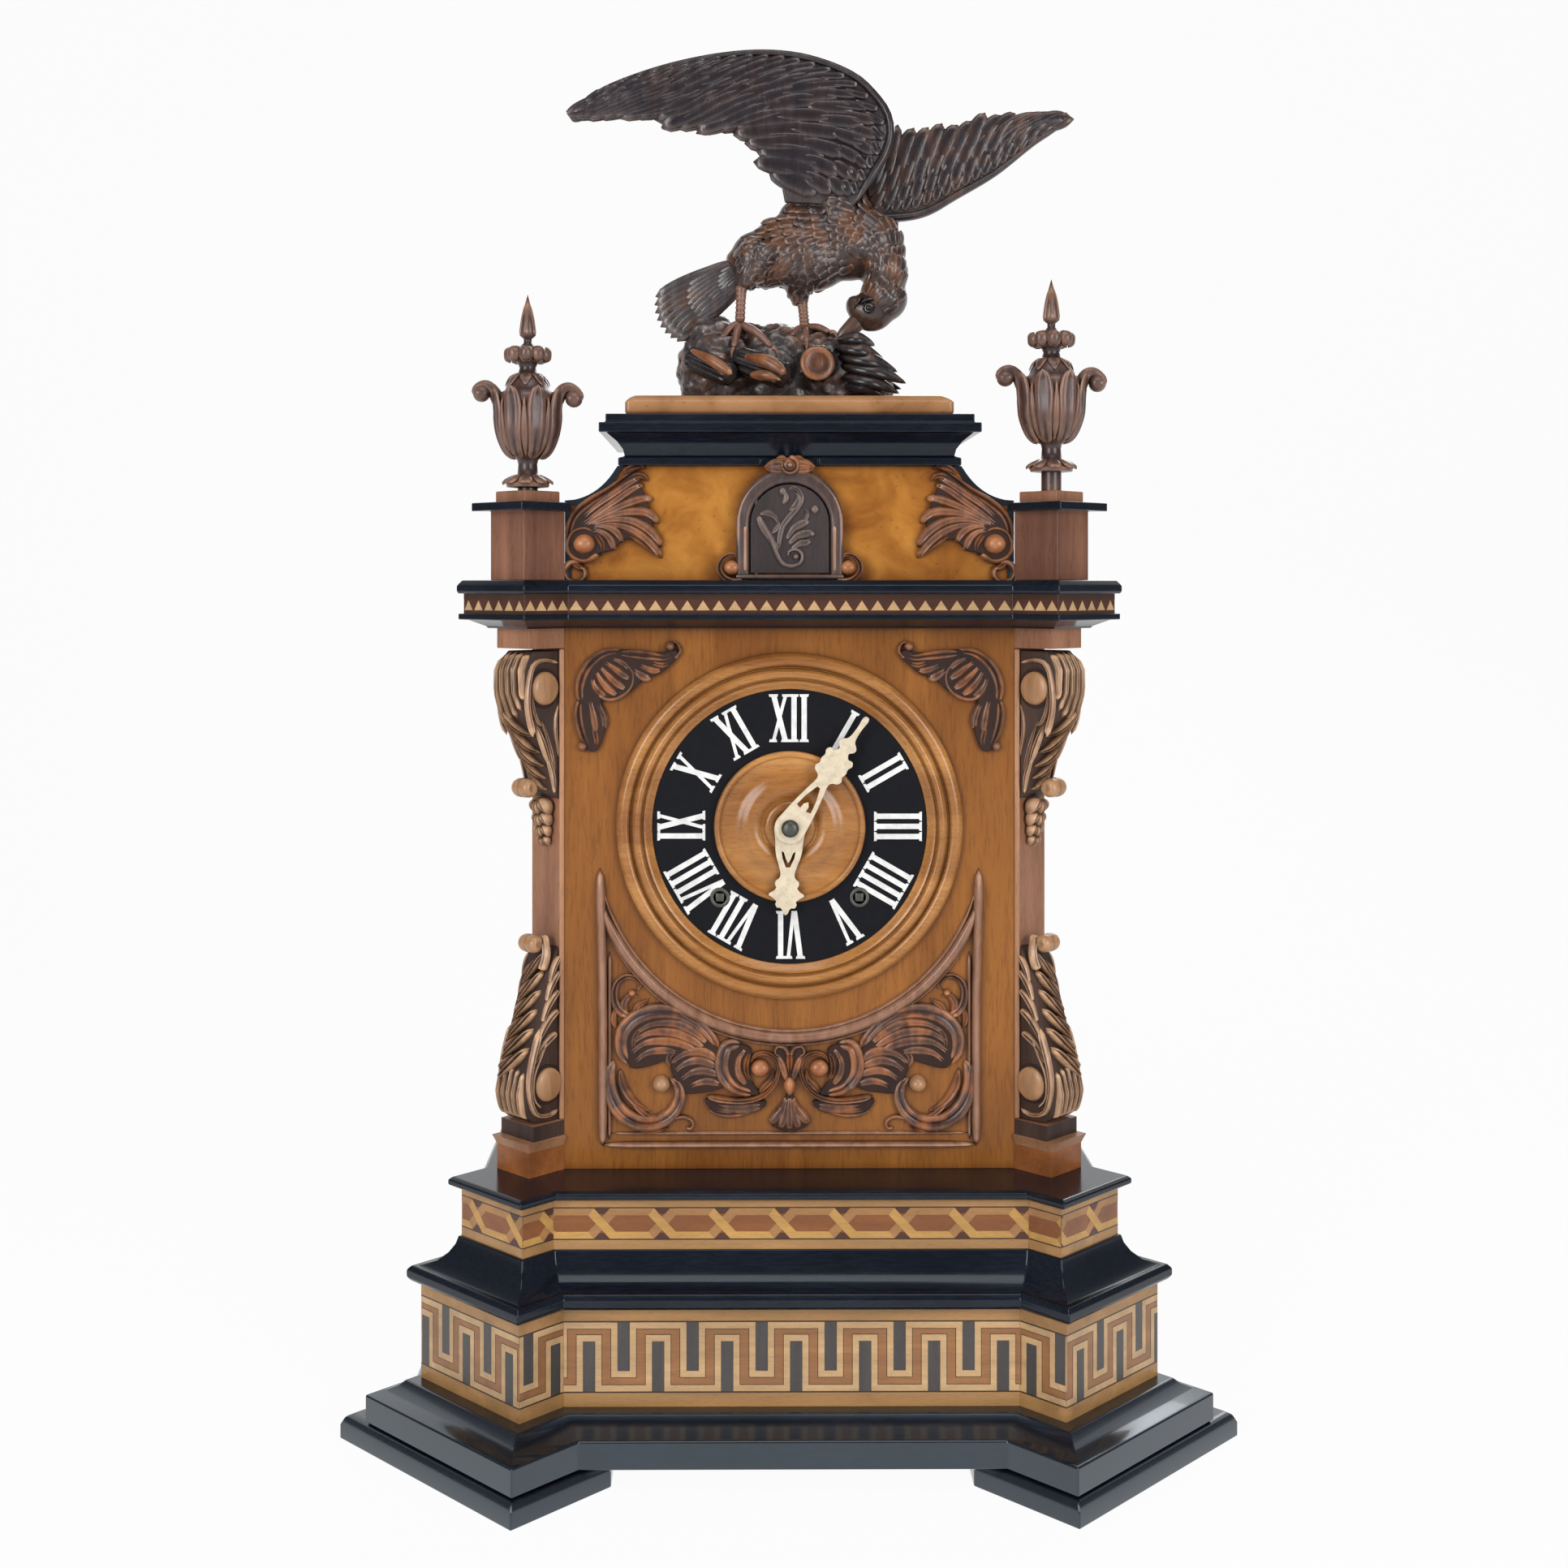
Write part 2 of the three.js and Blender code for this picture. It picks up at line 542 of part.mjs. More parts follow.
function lowerConsoleShape() {
  const { tall } = LOWER_CONSOLE;
  const shape = new THREE.Shape();
  shape.moveTo(CONSOLE_BACK, 0);
  shape.lineTo(18, 0);
  shape.splineThru(points([[23.5, 7], [25, 18], [22, 34], [15.5, 54], [9, 74], [6.5, 88], [6, 98]]));
  shape.lineTo(3, tall);
  shape.lineTo(CONSOLE_BACK, tall);
  return shape;
}

function consoleSolid(shape, { ballOut, ballUp, eyeOut, eyeUp }) {
  const halfWide = CONSOLE_WIDE / 2;
  const body = slab(shape, -halfWide, halfWide, 1);
  const eye = rodY(eyeOut, eyeUp, -halfWide - EYE_OUT, halfWide + EYE_OUT, EYE_R, 10);
  const end = ball(ballOut, 0, ballUp, CONSOLE_BALL_R, 8, 6);
  return joined(body, eye, end);
}

function makeConsoles() {
  const kinds = [
    ['upper', consoleSolid(upperConsoleShape(), UPPER_CONSOLE), CAPITAL_LOW - GAP - UPPER_CONSOLE.tall],
    ['lower', consoleSolid(lowerConsoleShape(), LOWER_CONSOLE), NECK_TOP + GAP],
  ];
  const middleX = (PANEL_HALF + SIDE_X) / 2;
  for (const [kind, solid, low] of kinds) {
    for (const [name, side] of [['left', -1], ['right', 1]]) {
      const mesh = add(`console_${kind}_${name}`, solid, carvedWood);
      mesh.rotation.z = side < 0 ? radians(-135) : radians(-45);
      mesh.position.set(side * middleX, CHAMFER_Y / 2, low);
    }
  }
}

function makeCornice() {
  const layers = [
    ['cornice_lower', CASE_TOP, CORNICE_LOWER_TOP, CORNICE_LOWER_PROFILE, black],
    ['cornice_inlay_band', CORNICE_LOWER_TOP, INLAY_TOP, INLAY_PROFILE, inlayWood],
    ['cornice_top', INLAY_TOP, CORNICE_TOP, CORNICE_TOP_PROFILE, black],
  ];
  for (const [name, low, high, profile, look] of layers) {
    const layer = moulding(low, high, CORNICE_NECK_PLAN, CORNICE_PLAN, profile);
    add(name, cut(layer, wireSlot(low, high)), look);
  }
}

// An arch: straight sides, round head
function archShape(half, low, spring) {
  const shape = new THREE.Shape();
  shape.moveTo(-half, low);
  shape.lineTo(half, low);
  shape.lineTo(half, spring);
  shape.absarc(0, spring, half, 0, Math.PI, false);
  return shape;
}

function makeAttic() {
  const front = new THREE.Shape();
  front.moveTo(-ATTIC_HALF, CORNICE_TOP);
  front.lineTo(ATTIC_HALF, CORNICE_TOP);
  front.lineTo(ATTIC_HALF, ATTIC_SHOULDER_Z);
  front.quadraticCurveTo(ATTIC_TOP_HALF + 10, ATTIC_SHOULDER_Z + 2, ATTIC_TOP_HALF, ATTIC_TOP);
  front.lineTo(-ATTIC_TOP_HALF, ATTIC_TOP);
  front.quadraticCurveTo(-ATTIC_TOP_HALF - 10, ATTIC_SHOULDER_Z + 2, -ATTIC_HALF, ATTIC_SHOULDER_Z);
  const doorway = archShape(DOOR.half - DOORWAY_IN, DOOR.low + DOORWAY_IN, DOOR_SPRING);
  const board = cut(slab(front, 0, ATTIC_THICK, 5), slab(doorway, -1, ATTIC_THICK + 1, 8));
  const wall = (x0, x1, y0, y1) => block(x0, x1, y0, y1, CORNICE_TOP, ATTIC_TOP);
  const inner = ATTIC_BOX_HALF - ATTIC_WALL;
  const rail = (side) => sided(side, RAIL.inner, RAIL.outer, ATTIC_THICK - 1, RAIL.back, CORNICE_TOP,
    CORNICE_TOP + RAIL.high);
  const box = joined(board,
    wall(-ATTIC_BOX_HALF, -inner, ATTIC_THICK - 1, ATTIC_BACK),
    wall(inner, ATTIC_BOX_HALF, ATTIC_THICK - 1, ATTIC_BACK),
    wall(-ATTIC_BOX_HALF, ATTIC_BOX_HALF, ATTIC_BACK - ATTIC_WALL, ATTIC_BACK), rail(-1), rail(1));
  add('attic_box', box, burl);
}

// Carved leaf on each side of the attic, against its face: places from the attic's lower corner
function makeAtticLeaves() {
  const at = (pairs) => pairs.map(([x, up]) => point(-ATTIC_HALF + x, CORNICE_TOP + up));
  const [start, ...edge] = at([[2.5, 1.1], [9.5, 1.1], [12.5, 7.1], [13.5, 15.1], [21.5, 18.1], [28.5, 23.1],
    [35.5, 22.1], [43.5, 14.1], [51.5, 13.1]]);
  const leaf = new THREE.Shape();
  leaf.moveTo(start.x, start.y);
  leaf.splineThru(edge);
  leaf.splineThru(at([[49.5, 25.1], [45.5, 37.1], [38.5, 47.1], [31.5, 57.1], [27.5, 61.1]]));
  leaf.splineThru(at([[21.5, 51.1], [13.5, 44.1], [4.5, 40.1], [2, 25.1]]));
  const [eye] = at([[11, 22.6]]);
  const raised = joined(slab(leaf, -LEAF_OUT, 0, 1), ball(eye.x, -LEAF_EYE_OUT, eye.y, LEAF_EYE_R, 8, 5));
  const wall = block(-ATTIC_HALF - 5, -ATTIC_HALF + 60, 0, ATTIC_THICK, CORNICE_TOP, ATTIC_TOP);
  const trimmed = cut(raised, wall, upperPierClearance());
  add('attic_leaf_left', trimmed, carvedWood);
  add('attic_leaf_right', trimmed.clone().scale(-1, 1, 1), carvedWood);
}

function diamond(x, y, half) {
  return points([[x, y - half], [x + half, y], [x, y + half], [x - half, y]]);
}

const upperPierClearance = () =>
  prism(diamond(-UPPER_PIER.x, UPPER_PIER.y, UPPER_PIER.half + GAP * 2), CORNICE_TOP - 5, PIER_CAP.top + 20);

// Places of the cuckoo door's pivot
const DOOR_PIVOT_X = -(DOOR.half - DOOR_PIVOT_IN);
const DOOR_PIVOT_Y = DOOR.back - DOOR.thick / 2;
const archAt = (half, x) => DOOR_SPRING + Math.sqrt(half ** 2 - x ** 2);

function makeDoorFrame() {
  const { half, low, top, deep, play } = DOOR_FRAME;
  const outer = new THREE.Shape();
  const ear = half + 5.5;
  outer.moveTo(-ear, low);
  outer.lineTo(ear, low);
  outer.quadraticCurveTo(ear + 1, low + 8, half, low + 10);
  outer.lineTo(half, top - half);
  outer.absarc(0, top - half, half, 0, Math.PI, false);
  outer.lineTo(-half, low + 10);
  outer.quadraticCurveTo(-ear - 1, low + 8, -ear, low);
  const inner = archShape(DOOR.half + play, DOOR.low - 0.8, DOOR_SPRING);
  const ring = cut(slab(outer, -deep, 0, 8), slab(inner, -deep - 1, 1, 8));
  const crest = new THREE.Shape();
  crest.moveTo(-14, top - 4.5);
  crest.quadraticCurveTo(-8, top + 4, -6, top + 6);
  crest.quadraticCurveTo(0, top + 16, 6, top + 6);
  crest.quadraticCurveTo(8, top + 4, 14, top - 4.5);
  const pivotTop = archAt(DOOR.half + play, DOOR_PIVOT_X) + DOOR_PIVOT_REACH;
  const socket = rodZ(DOOR_PIVOT_X, DOOR_PIVOT_Y, low + 1, pivotTop, DOOR_PIVOT_R + GAP, 8);
  const crown = cut(slab(crest, -deep - 1.5, -1, 4), block(-40, 40, -20, 1, ATTIC_TOP + 4, ATTIC_TOP + 30));
  const headClear = block(-40, 40, -3.4, 1, ATTIC_TOP - 0.2, ATTIC_TOP + 30);
  add('cuckoo_door_frame', cut(joined(ring, crown), socket, headClear), carvedWood);
}

function makeCuckooDoor() {
  const leaf = slab(archShape(DOOR.half, DOOR.low, DOOR_SPRING), DOOR.back - DOOR.thick, DOOR.back, 8);
  const low = DOOR_FRAME.low + 1 + PIVOT_PLAY;
  const high = archAt(DOOR.half + DOOR_FRAME.play, DOOR_PIVOT_X) + DOOR_PIVOT_REACH - PIVOT_PLAY;
  const pivot = rodZ(DOOR_PIVOT_X, DOOR_PIVOT_Y, low, high, DOOR_PIVOT_R, 8);
  add('cuckoo_door', joined(leaf, pivot), carvedWood);
}

// Upper piers with their black caps
function makeUpperPiers() {
  const { x, y, half } = UPPER_PIER;
  for (const [name, side] of [['left', -1], ['right', 1]]) {
    const body = prism(diamond(-x, y, half), CORNICE_TOP, UPPER_PIER_TOP);
    const reach = PIER_CAP.half;
    const edge = x - PIER_CAP.clearX;
    const capOutline = points([
      [-x, y - reach], [-x + edge, y - reach + edge], [-x + edge, y + reach - edge], [-x, y + reach],
      [-x - reach, y],
    ]);
    const cap = prism(capOutline, UPPER_PIER_TOP, PIER_CAP.top);
    add(`upper_pier_${name}`, joined(body, cap).scale(-side, 1, 1), pierWood);
  }
}

// Urn finials: a square plate, a peg, a turned urn with a leaf cup and two handles
function urnProfile(lift) {
  return [
    [0, 0], [3.2, 0], [3.2, lift], [11.5, lift], [11.5, lift + 3], [4, lift + 8], [3.4, lift + 13],
    [7, lift + 16], [15, lift + 26], [19.5, lift + 50], [13, lift + 51], [12, lift + 58], [4, lift + 66],
    [11, lift + 75], [11, lift + 77.5], [3.2, lift + 85], [3.6, lift + 92], [0, lift + 107],
  ];
}

function urnHandle(side, lift) {
  const path = new THREE.CatmullRomCurve3([
    new THREE.Vector3(side * 17.5, 0, lift + 44), new THREE.Vector3(side * 23, 0, lift + 51),
    new THREE.Vector3(side * 28.5, 0, lift + 53), new THREE.Vector3(side * 30.5, 0, lift + 50),
  ]);
  const section = new THREE.Shape();
  section.absarc(0, 0, 2.6, 0, Math.PI * 2);
  const options = { steps: 4, extrudePath: path, curveSegments: 3 };
  return joined(new THREE.ExtrudeGeometry(section, options), ball(side * 29.5, 0, lift + 50, 4, 6, 4));
}

function makeUrns() {
  for (const [name, side, lift] of [['left', -1, 0.8], ['right', 1, RIGHT_URN_PEG]]) {
    const turned = turnedZ(urnProfile(lift), URN_SEGMENTS);
    const urn = joined(turned, urnHandle(-1, lift), urnHandle(1, lift)).translate(0, 0, URN_PLATE.top - 0.1);
    const plate = prism(diamond(0, 0, URN_PLATE.half), PIER_CAP.top, URN_PLATE.top);
    const whole = joined(plate, urn).translate(side * UPPER_PIER.x, UPPER_PIER.y, 0);
    add(`urn_${name}`, whole, carvedWood);
  }
}

// Top of the attic: black moulding, then a light plate
function topOutline(half) {
  const front = -(half - TOP_NECK_HALF) - TOP_OVERHANG;
  return points([[-half, front], [half, front], [half, TOP_BACK], [-half, TOP_BACK]]);
}

function makeTop() {
  const levels = (low, pairs) =>
    stack(pairs.map(([up, half]) => ({ z: low + up, outline: topOutline(half) })));
  const blackPart = levels(ATTIC_TOP, TOP_MOULDING_LEVELS);
  const crownRoom = block(-16, 16, -20, -TOP_OVERHANG + 0.4, ATTIC_TOP - 1, ATTIC_TOP + 4.4);
  add('top_moulding', cut(blackPart, crownRoom), black);
  add('top_plate', levels(TOP_MOULDING_TOP, TOP_PLATE_LEVELS), burl);
}

// Eagle on a rock: places from the middle of the top plate. Body pieces are eggs and tapered bars;
// `grow` makes the copy that the wings are cut by.
function eagleBody(grow = 0) {
  return [
    egg([18, 0, 91], [44, 23, 25], -12, grow),
    egg([54, -2, 77], [18, 17, 34], 8, grow),
    egg([52, -4, 52], [14, 12, 17], 25, grow),
    bar([48, -6, 44], [30, -8, 35.5], 6 + grow, 2 + grow, 8),
    bar([-12, 0, 82], [-74, 4, 56], 14 + grow, 12 + grow, 8),
  ];
}

function eagleRock() {
  const outline = (half, deep, shift) => points([
    [-half + shift, -deep], [half + shift, -deep * 0.7], [half * 0.8 + shift, deep],
    [-half * 0.9 + shift, deep * 0.8],
  ]);
  return [
    stack([
      { z: 0, outline: outline(69, 38, 4) }, { z: 14, outline: outline(62, 34, 2) },
      { z: 26, outline: outline(54, 28, -2) }, { z: 38, outline: outline(34, 18, -4) },
    ]),
    egg([-43, -2, 24], [19, 20, 24], 20),
    bar([-36, -44, 12], [-26, 20, 18], 10, 9, 8),
    bar([2, -44, 12], [6, 20, 18], 12, 11, 8),
  ];
}

const LEFT_WING = [
  [39, 115], [47.4, 126.7], [58, 143.2], [61.5, 159.7], [56.8, 171.5], [42.6, 186.9], [19, 197.5],
  [-4.6, 201.8], [-30.6, 201.1], [-61.2, 195.6], [-89.6, 186.9], [-113.2, 176.3], [-125, 166],
  [-122, 163.3], [-94.3, 170.4], [-93.1, 165.6], [-61.2, 166.8], [-62.4, 159.7], [-25.8, 158.6],
  [-21.1, 149.1], [-11.7, 138.5], [-8.1, 126.7], [-2, 110],
];
const RIGHT_WING = [
  [44, 108], [66.2, 109], [82.8, 112.5], [99.3, 122], [122.9, 136.1], [146.5, 155], [166.1, 166.8],
  [165.4, 169.7], [130, 171.1], [111.1, 166.8], [91, 160.2], [88.7, 162.6], [75.7, 162.1], [62, 157.4],
  [38, 138],
];

function makeEagle() {
  const legs = [
    bar([-22, -12, 78], [-25, -14, 24], 4, 4, 8),
    bar([8, 6, 78], [10, 4, 24], 5, 4, 8),
  ];
  const seat = [0, EAGLE_Y, TOP_PLATE_TOP];
  add('eagle_on_rock', joined(...eagleRock(), ...legs, ...eagleBody()).translate(...seat), carvedWood);
  const body = eagleBody(GAP);
  for (const [name, outline, front] of [['left', LEFT_WING, -16], ['right', RIGHT_WING, 6]]) {
    const wing = slab(new THREE.Shape(points(outline)), front, front + WING_THICK, 1);
    add(`eagle_wing_${name}`, cut(wing, ...body).translate(...seat), carvedWood);
  }
}

// Dial
function makeDial() {
  const seatR = CHAPTER_R + CHAPTER_SEAT;
  const rebateR = seatR + PIVOT_PLAY * 2;
  const front = CHAPTER_THICK + GAP;
  add('dial_bezel', turnedY([
    [rebateR, 0], [BEZEL_R, 0], [BEZEL_R, -2.5], [BEZEL_R - 4, -4.5], [BEZEL_R - 6, -6.5],
    [BEZEL_R - 11, -8], [BEZEL_R - 15, -6.5], [BEZEL_R - 18, -8.2], [CHAPTER_R, -5], [CHAPTER_R, -front],
    [rebateR, -front], [rebateR, 0],
  ], 28).translate(0, 0, DIAL_Z), panelWood);

  const hole = (x, z, r, sides) => rodY(x, z, -10, 1, r, sides);
  const plate = cut(rodY(CENTRE.x, CENTRE.z, -CHAPTER_THICK, 0, seatR, 32),
    hole(CENTRE.x, CENTRE.z, HAND_HOLE_R, 10), hole(GOING.x, GOING.z, WINDING_HOLE_R, 10),
    hole(STRIKE.x, STRIKE.z, WINDING_HOLE_R, 10));
  add('chapter_plate', plate, black);

  add('dial_centre', turnedY([
    [HAND_HOLE_R, -CHAPTER_THICK], [CENTRE_R, -CHAPTER_THICK], [CENTRE_R, -5], [CENTRE_R - 2, -7],
    [30, -5.4], [24, -6.8], [16, -5], [HAND_HOLE_R, -4.4], [HAND_HOLE_R, -CHAPTER_THICK],
  ], 24).translate(0, 0, DIAL_Z), panelWood);
}

// A hand that points up: a round root with a hole, a pierced stem and a pointed head
function handSolid(halfOutline, root, hole, slot, { back, thick, turn }) {
  const right = points(halfOutline);
  const left = right.slice(0, -1).reverse().map((p) => point(-p.x, p.y));
  const stem = slab(new THREE.Shape([...right, ...left]), back - thick, back);
  const disc = rodY(0, 0, back - thick, back, root, 14);
  const opening = slab(new THREE.Shape(points(slot)), back - thick - 1, back + 1);
  const bore = rodY(0, 0, back - thick - 1, back + 1, hole, 12);
  return cut(joined(stem, disc), opening, bore).rotateY(radians(turn)).translate(CENTRE.x, 0, CENTRE.z);
}

function makeHands() {
  const hour = [
    [4, 3], [2.6, 9], [4.6, 17], [3.4, 24], [8, 28], [9.2, 31.5], [5.5, 35], [3, 37.5], [2.6, 41], [0, 47],
  ];
  const minute = [
    [3.4, 3], [2, 12], [4.6, 24], [5, 34], [3, 41], [8, 45.5], [9.6, 50], [6, 54], [3.2, 56.5],
    [2.8, 61], [0, 72],
  ];
  const hourHole = PIPE.outer + GAP * 1.4;
  const minuteHole = ARBOR_R + GAP;
  const hourSlot = [[0, 11], [2, 17], [0, 24], [-2, 17]];
  const minuteSlot = [[0, 14], [2.4, 26], [0, 38], [-2.4, 26]];
  add('hour_hand', handSolid(hour, HOUR_HAND.root, hourHole, hourSlot, HOUR_HAND), bone);
  add('minute_hand', handSolid(minute, MINUTE_HAND.root, minuteHole, minuteSlot, MINUTE_HAND), bone);
}

// Toothed wheels. A tooth is centred on the direction `turn` (degrees from +X towards +Z).
function toothedShape(teeth, module, turn, slim = 1) {
  const pitchR = (teeth * module) / 2;
  const tipR = pitchR + module * 0.8;
  const rootR = pitchR - module * 1.15;
  const step = (2 * Math.PI) / teeth;
  const outline = [];
  for (let i = 0; i < teeth; i += 1) {
    const middle = radians(turn) + i * step;
    for (const [r, share] of [[rootR, -0.24], [tipR, 0], [rootR, 0.24]]) {
      const angle = middle + share * slim * step;
      outline.push(point(r * Math.cos(angle), r * Math.sin(angle)));
    }
  }
  return new THREE.Shape(outline);
}

function wheel(arbor, teeth, module, turn, y0, thick, slim = 1) {
  return slab(toothedShape(teeth, module, turn, slim), y0, y0 + thick).translate(arbor.x, 0, arbor.z);
}

const distance = (a, b) => Math.hypot(b.x - a.x, b.z - a.z);
const heading = (a, b) => THREE.MathUtils.radToDeg(Math.atan2(b.z - a.z, b.x - a.x));
const reachTo = (from, far, turn) =>
  ({ x: from.x + far * Math.cos(radians(turn)), z: from.z + far * Math.sin(radians(turn)) });
// A follower has a gap where the driver's tooth points at it
const gapTurn = (from, to, teeth) => heading(to, from) + 180 / teeth;

const THIRD = reachTo(CENTRE, (TRAIN_MODULE * (CENTRE_TEETH + THIRD_PINION)) / 2, THIRD_TURN);
const THIRD_TO_ESCAPE = (TRAIN_MODULE * (THIRD_TEETH + ESCAPE_PINION)) / 2;
const ESCAPE = { x: CENTRE.x, z: THIRD.z + Math.sqrt(THIRD_TO_ESCAPE ** 2 - (CENTRE.x - THIRD.x) ** 2) };
const ANCHOR = { x: ESCAPE.x, z: ESCAPE.z + ANCHOR_UP };
const MOTION = reachTo(CENTRE, MOTION_DISTANCE, MOTION_TURN);
const GREAT_MODULE = (2 * distance(GOING, CENTRE)) / (GREAT_TEETH + CENTRE_PINION);
const CANNON_MODULE = (2 * MOTION_DISTANCE) / (CANNON_TEETH + MINUTE_TEETH);
const HOUR_MODULE = (2 * MOTION_DISTANCE) / (MINUTE_PINION + HOUR_TEETH);
const PLATE_BACK = PLATE.back + PLATE.thick;
const SLIM_PINION = 0.9;

// Plates with their pivot holes
function makePlates() {
  const bores = [
    [CENTRE, ARBOR_R], [THIRD, ARBOR_R], [ESCAPE, ARBOR_R], [ANCHOR, ARBOR_R], [GOING, BARREL_ARBOR_R],
    [STRIKE, BARREL_ARBOR_R],
  ];
  const drill = ({ x, z }, r, y0) => rodY(x, z, y0 - 1, y0 + PLATE.thick + 1, r + PIVOT_PLAY, 8);
  const sheet = (y0) => block(-PLATE.half, PLATE.half, y0, y0 + PLATE.thick, PLATE.low, PLATE.high);
  const front = cut(sheet(PLATE.front), ...bores.map(([arbor, r]) => drill(arbor, r, PLATE.front)),
    drill(MOTION, ARBOR_R, PLATE.front));
  add('movement_front_plate', front, brass);

  const hammer = { x: HAMMER.x, z: HAMMER.z };
  const back = cut(sheet(PLATE.back), ...bores.map(([arbor, r]) => drill(arbor, r, PLATE.back)),
    drill(hammer, HAMMER.arborR, PLATE.back));
  const pillars = [];
  for (const x of [-PLATE.half + PILLAR_IN, PLATE.half - PILLAR_IN]) {
    for (const z of [PLATE.low + PILLAR_IN, PLATE.high - PILLAR_IN]) {
      pillars.push(rodY(x, z, PLATE.front + PLATE.thick, PLATE.back + 1, PILLAR_R, 8));
    }
  }
  const { half, cheek, pinR } = COCK;
  const lip = ANCHOR.z + 6;
  const cock = [
    block(-half, half, PLATE_BACK - 1, COCK.back, lip, lip + 3),
    block(-half, half, COCK.front, COCK.front + cheek, ANCHOR.z - 3, lip + 1),
    block(-half, half, COCK.back - cheek, COCK.back, ANCHOR.z - 3, lip + 1),
    rodY(ANCHOR.x, ANCHOR.z, COCK.front + 0.5, COCK.back - 0.5, pinR, 8),
  ];
  add('movement_back_plate', joined(back, ...pillars, ...cock), brass);
}

// Arbor between the plates, its ends in their holes
const arborBetween = ({ x, z }, y0 = PLATE.front + 0.5, y1 = PLATE_BACK - 0.5, r = ARBOR_R) =>
  rodY(x, z, y0, y1, r, 10);

function makeTrain() {
  const nutFront = MINUTE_HAND.back - MINUTE_HAND.thick - GAP;
  const toGoing = heading(CENTRE, GOING);
  const centre = joined(
    arborBetween(CENTRE, nutFront - 3),
    rodY(CENTRE.x, CENTRE.z, nutFront - 3, nutFront, 3.6, 10),
    wheel(CENTRE, CANNON_TEETH, CANNON_MODULE, heading(CENTRE, MOTION), LAYER.minute, WHEEL_THICK,
      SLIM_PINION),
    wheel(CENTRE, CENTRE_PINION, GREAT_MODULE, toGoing, LAYER.great - 1, GREAT_THICK + 2, SLIM_PINION),
    wheel(CENTRE, CENTRE_TEETH, TRAIN_MODULE, heading(CENTRE, THIRD), LAYER.centre, WHEEL_THICK),
  );
  add('centre_wheel', centre, brass);

  const third = joined(
    arborBetween(THIRD),
    wheel(THIRD, THIRD_PINION, TRAIN_MODULE, gapTurn(CENTRE, THIRD, THIRD_PINION), LAYER.centre - 1,
      WHEEL_THICK + 2, SLIM_PINION),
    wheel(THIRD, THIRD_TEETH, TRAIN_MODULE, heading(THIRD, ESCAPE), LAYER.third, WHEEL_THICK),
  );
  add('third_wheel', third, brass);

  const escape = joined(
    arborBetween(ESCAPE),
    wheel(ESCAPE, ESCAPE_PINION, TRAIN_MODULE, gapTurn(THIRD, ESCAPE, ESCAPE_PINION), LAYER.third - 1,
      WHEEL_THICK + 2, SLIM_PINION),
    escapeTeeth(),
  );
  add('escape_wheel', escape, brass);
}

// Pointed teeth that lean the way the wheel turns
function escapeTeeth() {
  const outline = [];
  const step = (2 * Math.PI) / ESCAPE_TEETH;
  for (let i = 0; i < ESCAPE_TEETH; i += 1) {
    const a = -i * step;
    const b = a - step * 0.45;
    outline.push(point(ESCAPE_R * Math.cos(a), ESCAPE_R * Math.sin(a)));
    outline.push(point(ESCAPE_ROOT_R * Math.cos(b), ESCAPE_ROOT_R * Math.sin(b)));
  }
  return slab(new THREE.Shape(outline), LAYER.escape, LAYER.escape + 2).translate(ESCAPE.x, 0, ESCAPE.z);
}

function makeMotionWork() {
  const minute = joined(
    rodY(MOTION.x, MOTION.z, LAYER.hour - 1, PLATE.front + PLATE.thick - 0.5, ARBOR_R, 10),
    wheel(MOTION, MINUTE_TEETH, CANNON_MODULE, gapTurn(CENTRE, MOTION, MINUTE_TEETH), LAYER.minute,
      WHEEL_THICK),
    wheel(MOTION, MINUTE_PINION, HOUR_MODULE, heading(MOTION, CENTRE), LAYER.hour - 0.5,
      LAYER.minute - LAYER.hour + 1, SLIM_PINION),
  );
  add('minute_wheel', minute, brass);

  const turn = gapTurn(MOTION, CENTRE, HOUR_TEETH);
  const disc = wheel(CENTRE, HOUR_TEETH, HOUR_MODULE, turn, LAYER.hour, WHEEL_THICK);
  const pipe = rodY(CENTRE.x, CENTRE.z, PIPE.front, LAYER.hour + 1, PIPE.outer, 12);
  const bore = rodY(CENTRE.x, CENTRE.z, PIPE.front - 1, LAYER.hour + WHEEL_THICK + 1, PIPE.inner, 12);
  add('hour_wheel', cut(joined(disc, pipe), bore), brass);
}

function makeBarrels() {
  const drum = ({ x, z }, y0) => rodY(x, z, y0, PLATE.back - 4, BARREL_R, 20);
  const goingWheel = wheel(GOING, GREAT_TEETH, GREAT_MODULE, gapTurn(CENTRE, GOING, GREAT_TEETH), LAYER.great,
    GREAT_THICK);
  const bore = rodY(GOING.x, GOING.z, LAYER.great - 1, PLATE.back, BARREL_ARBOR_R + PIVOT_PLAY, 12);
  add('going_barrel', cut(joined(goingWheel, drum(GOING, LAYER.great + 1)), bore), brass);

  const arbor = (place) => joined(
    rodY(place.x, place.z, PANEL_THICK + 4, PLATE_BACK - 0.5, BARREL_ARBOR_R, 12),
    block(place.x - SQUARE / 2, place.x + SQUARE / 2, SQUARE_FRONT, PANEL_THICK + 5,
      place.z - SQUARE / 2, place.z + SQUARE / 2),
  );
  add('going_winding_arbor', arbor(GOING), steel);
  const strikeWheel = wheel(STRIKE, GREAT_TEETH, GREAT_MODULE, 0, LAYER.strike, GREAT_THICK);
  add('strike_barrel', joined(arbor(STRIKE), strikeWheel, drum(STRIKE, LAYER.strike + 1)), brass);
}

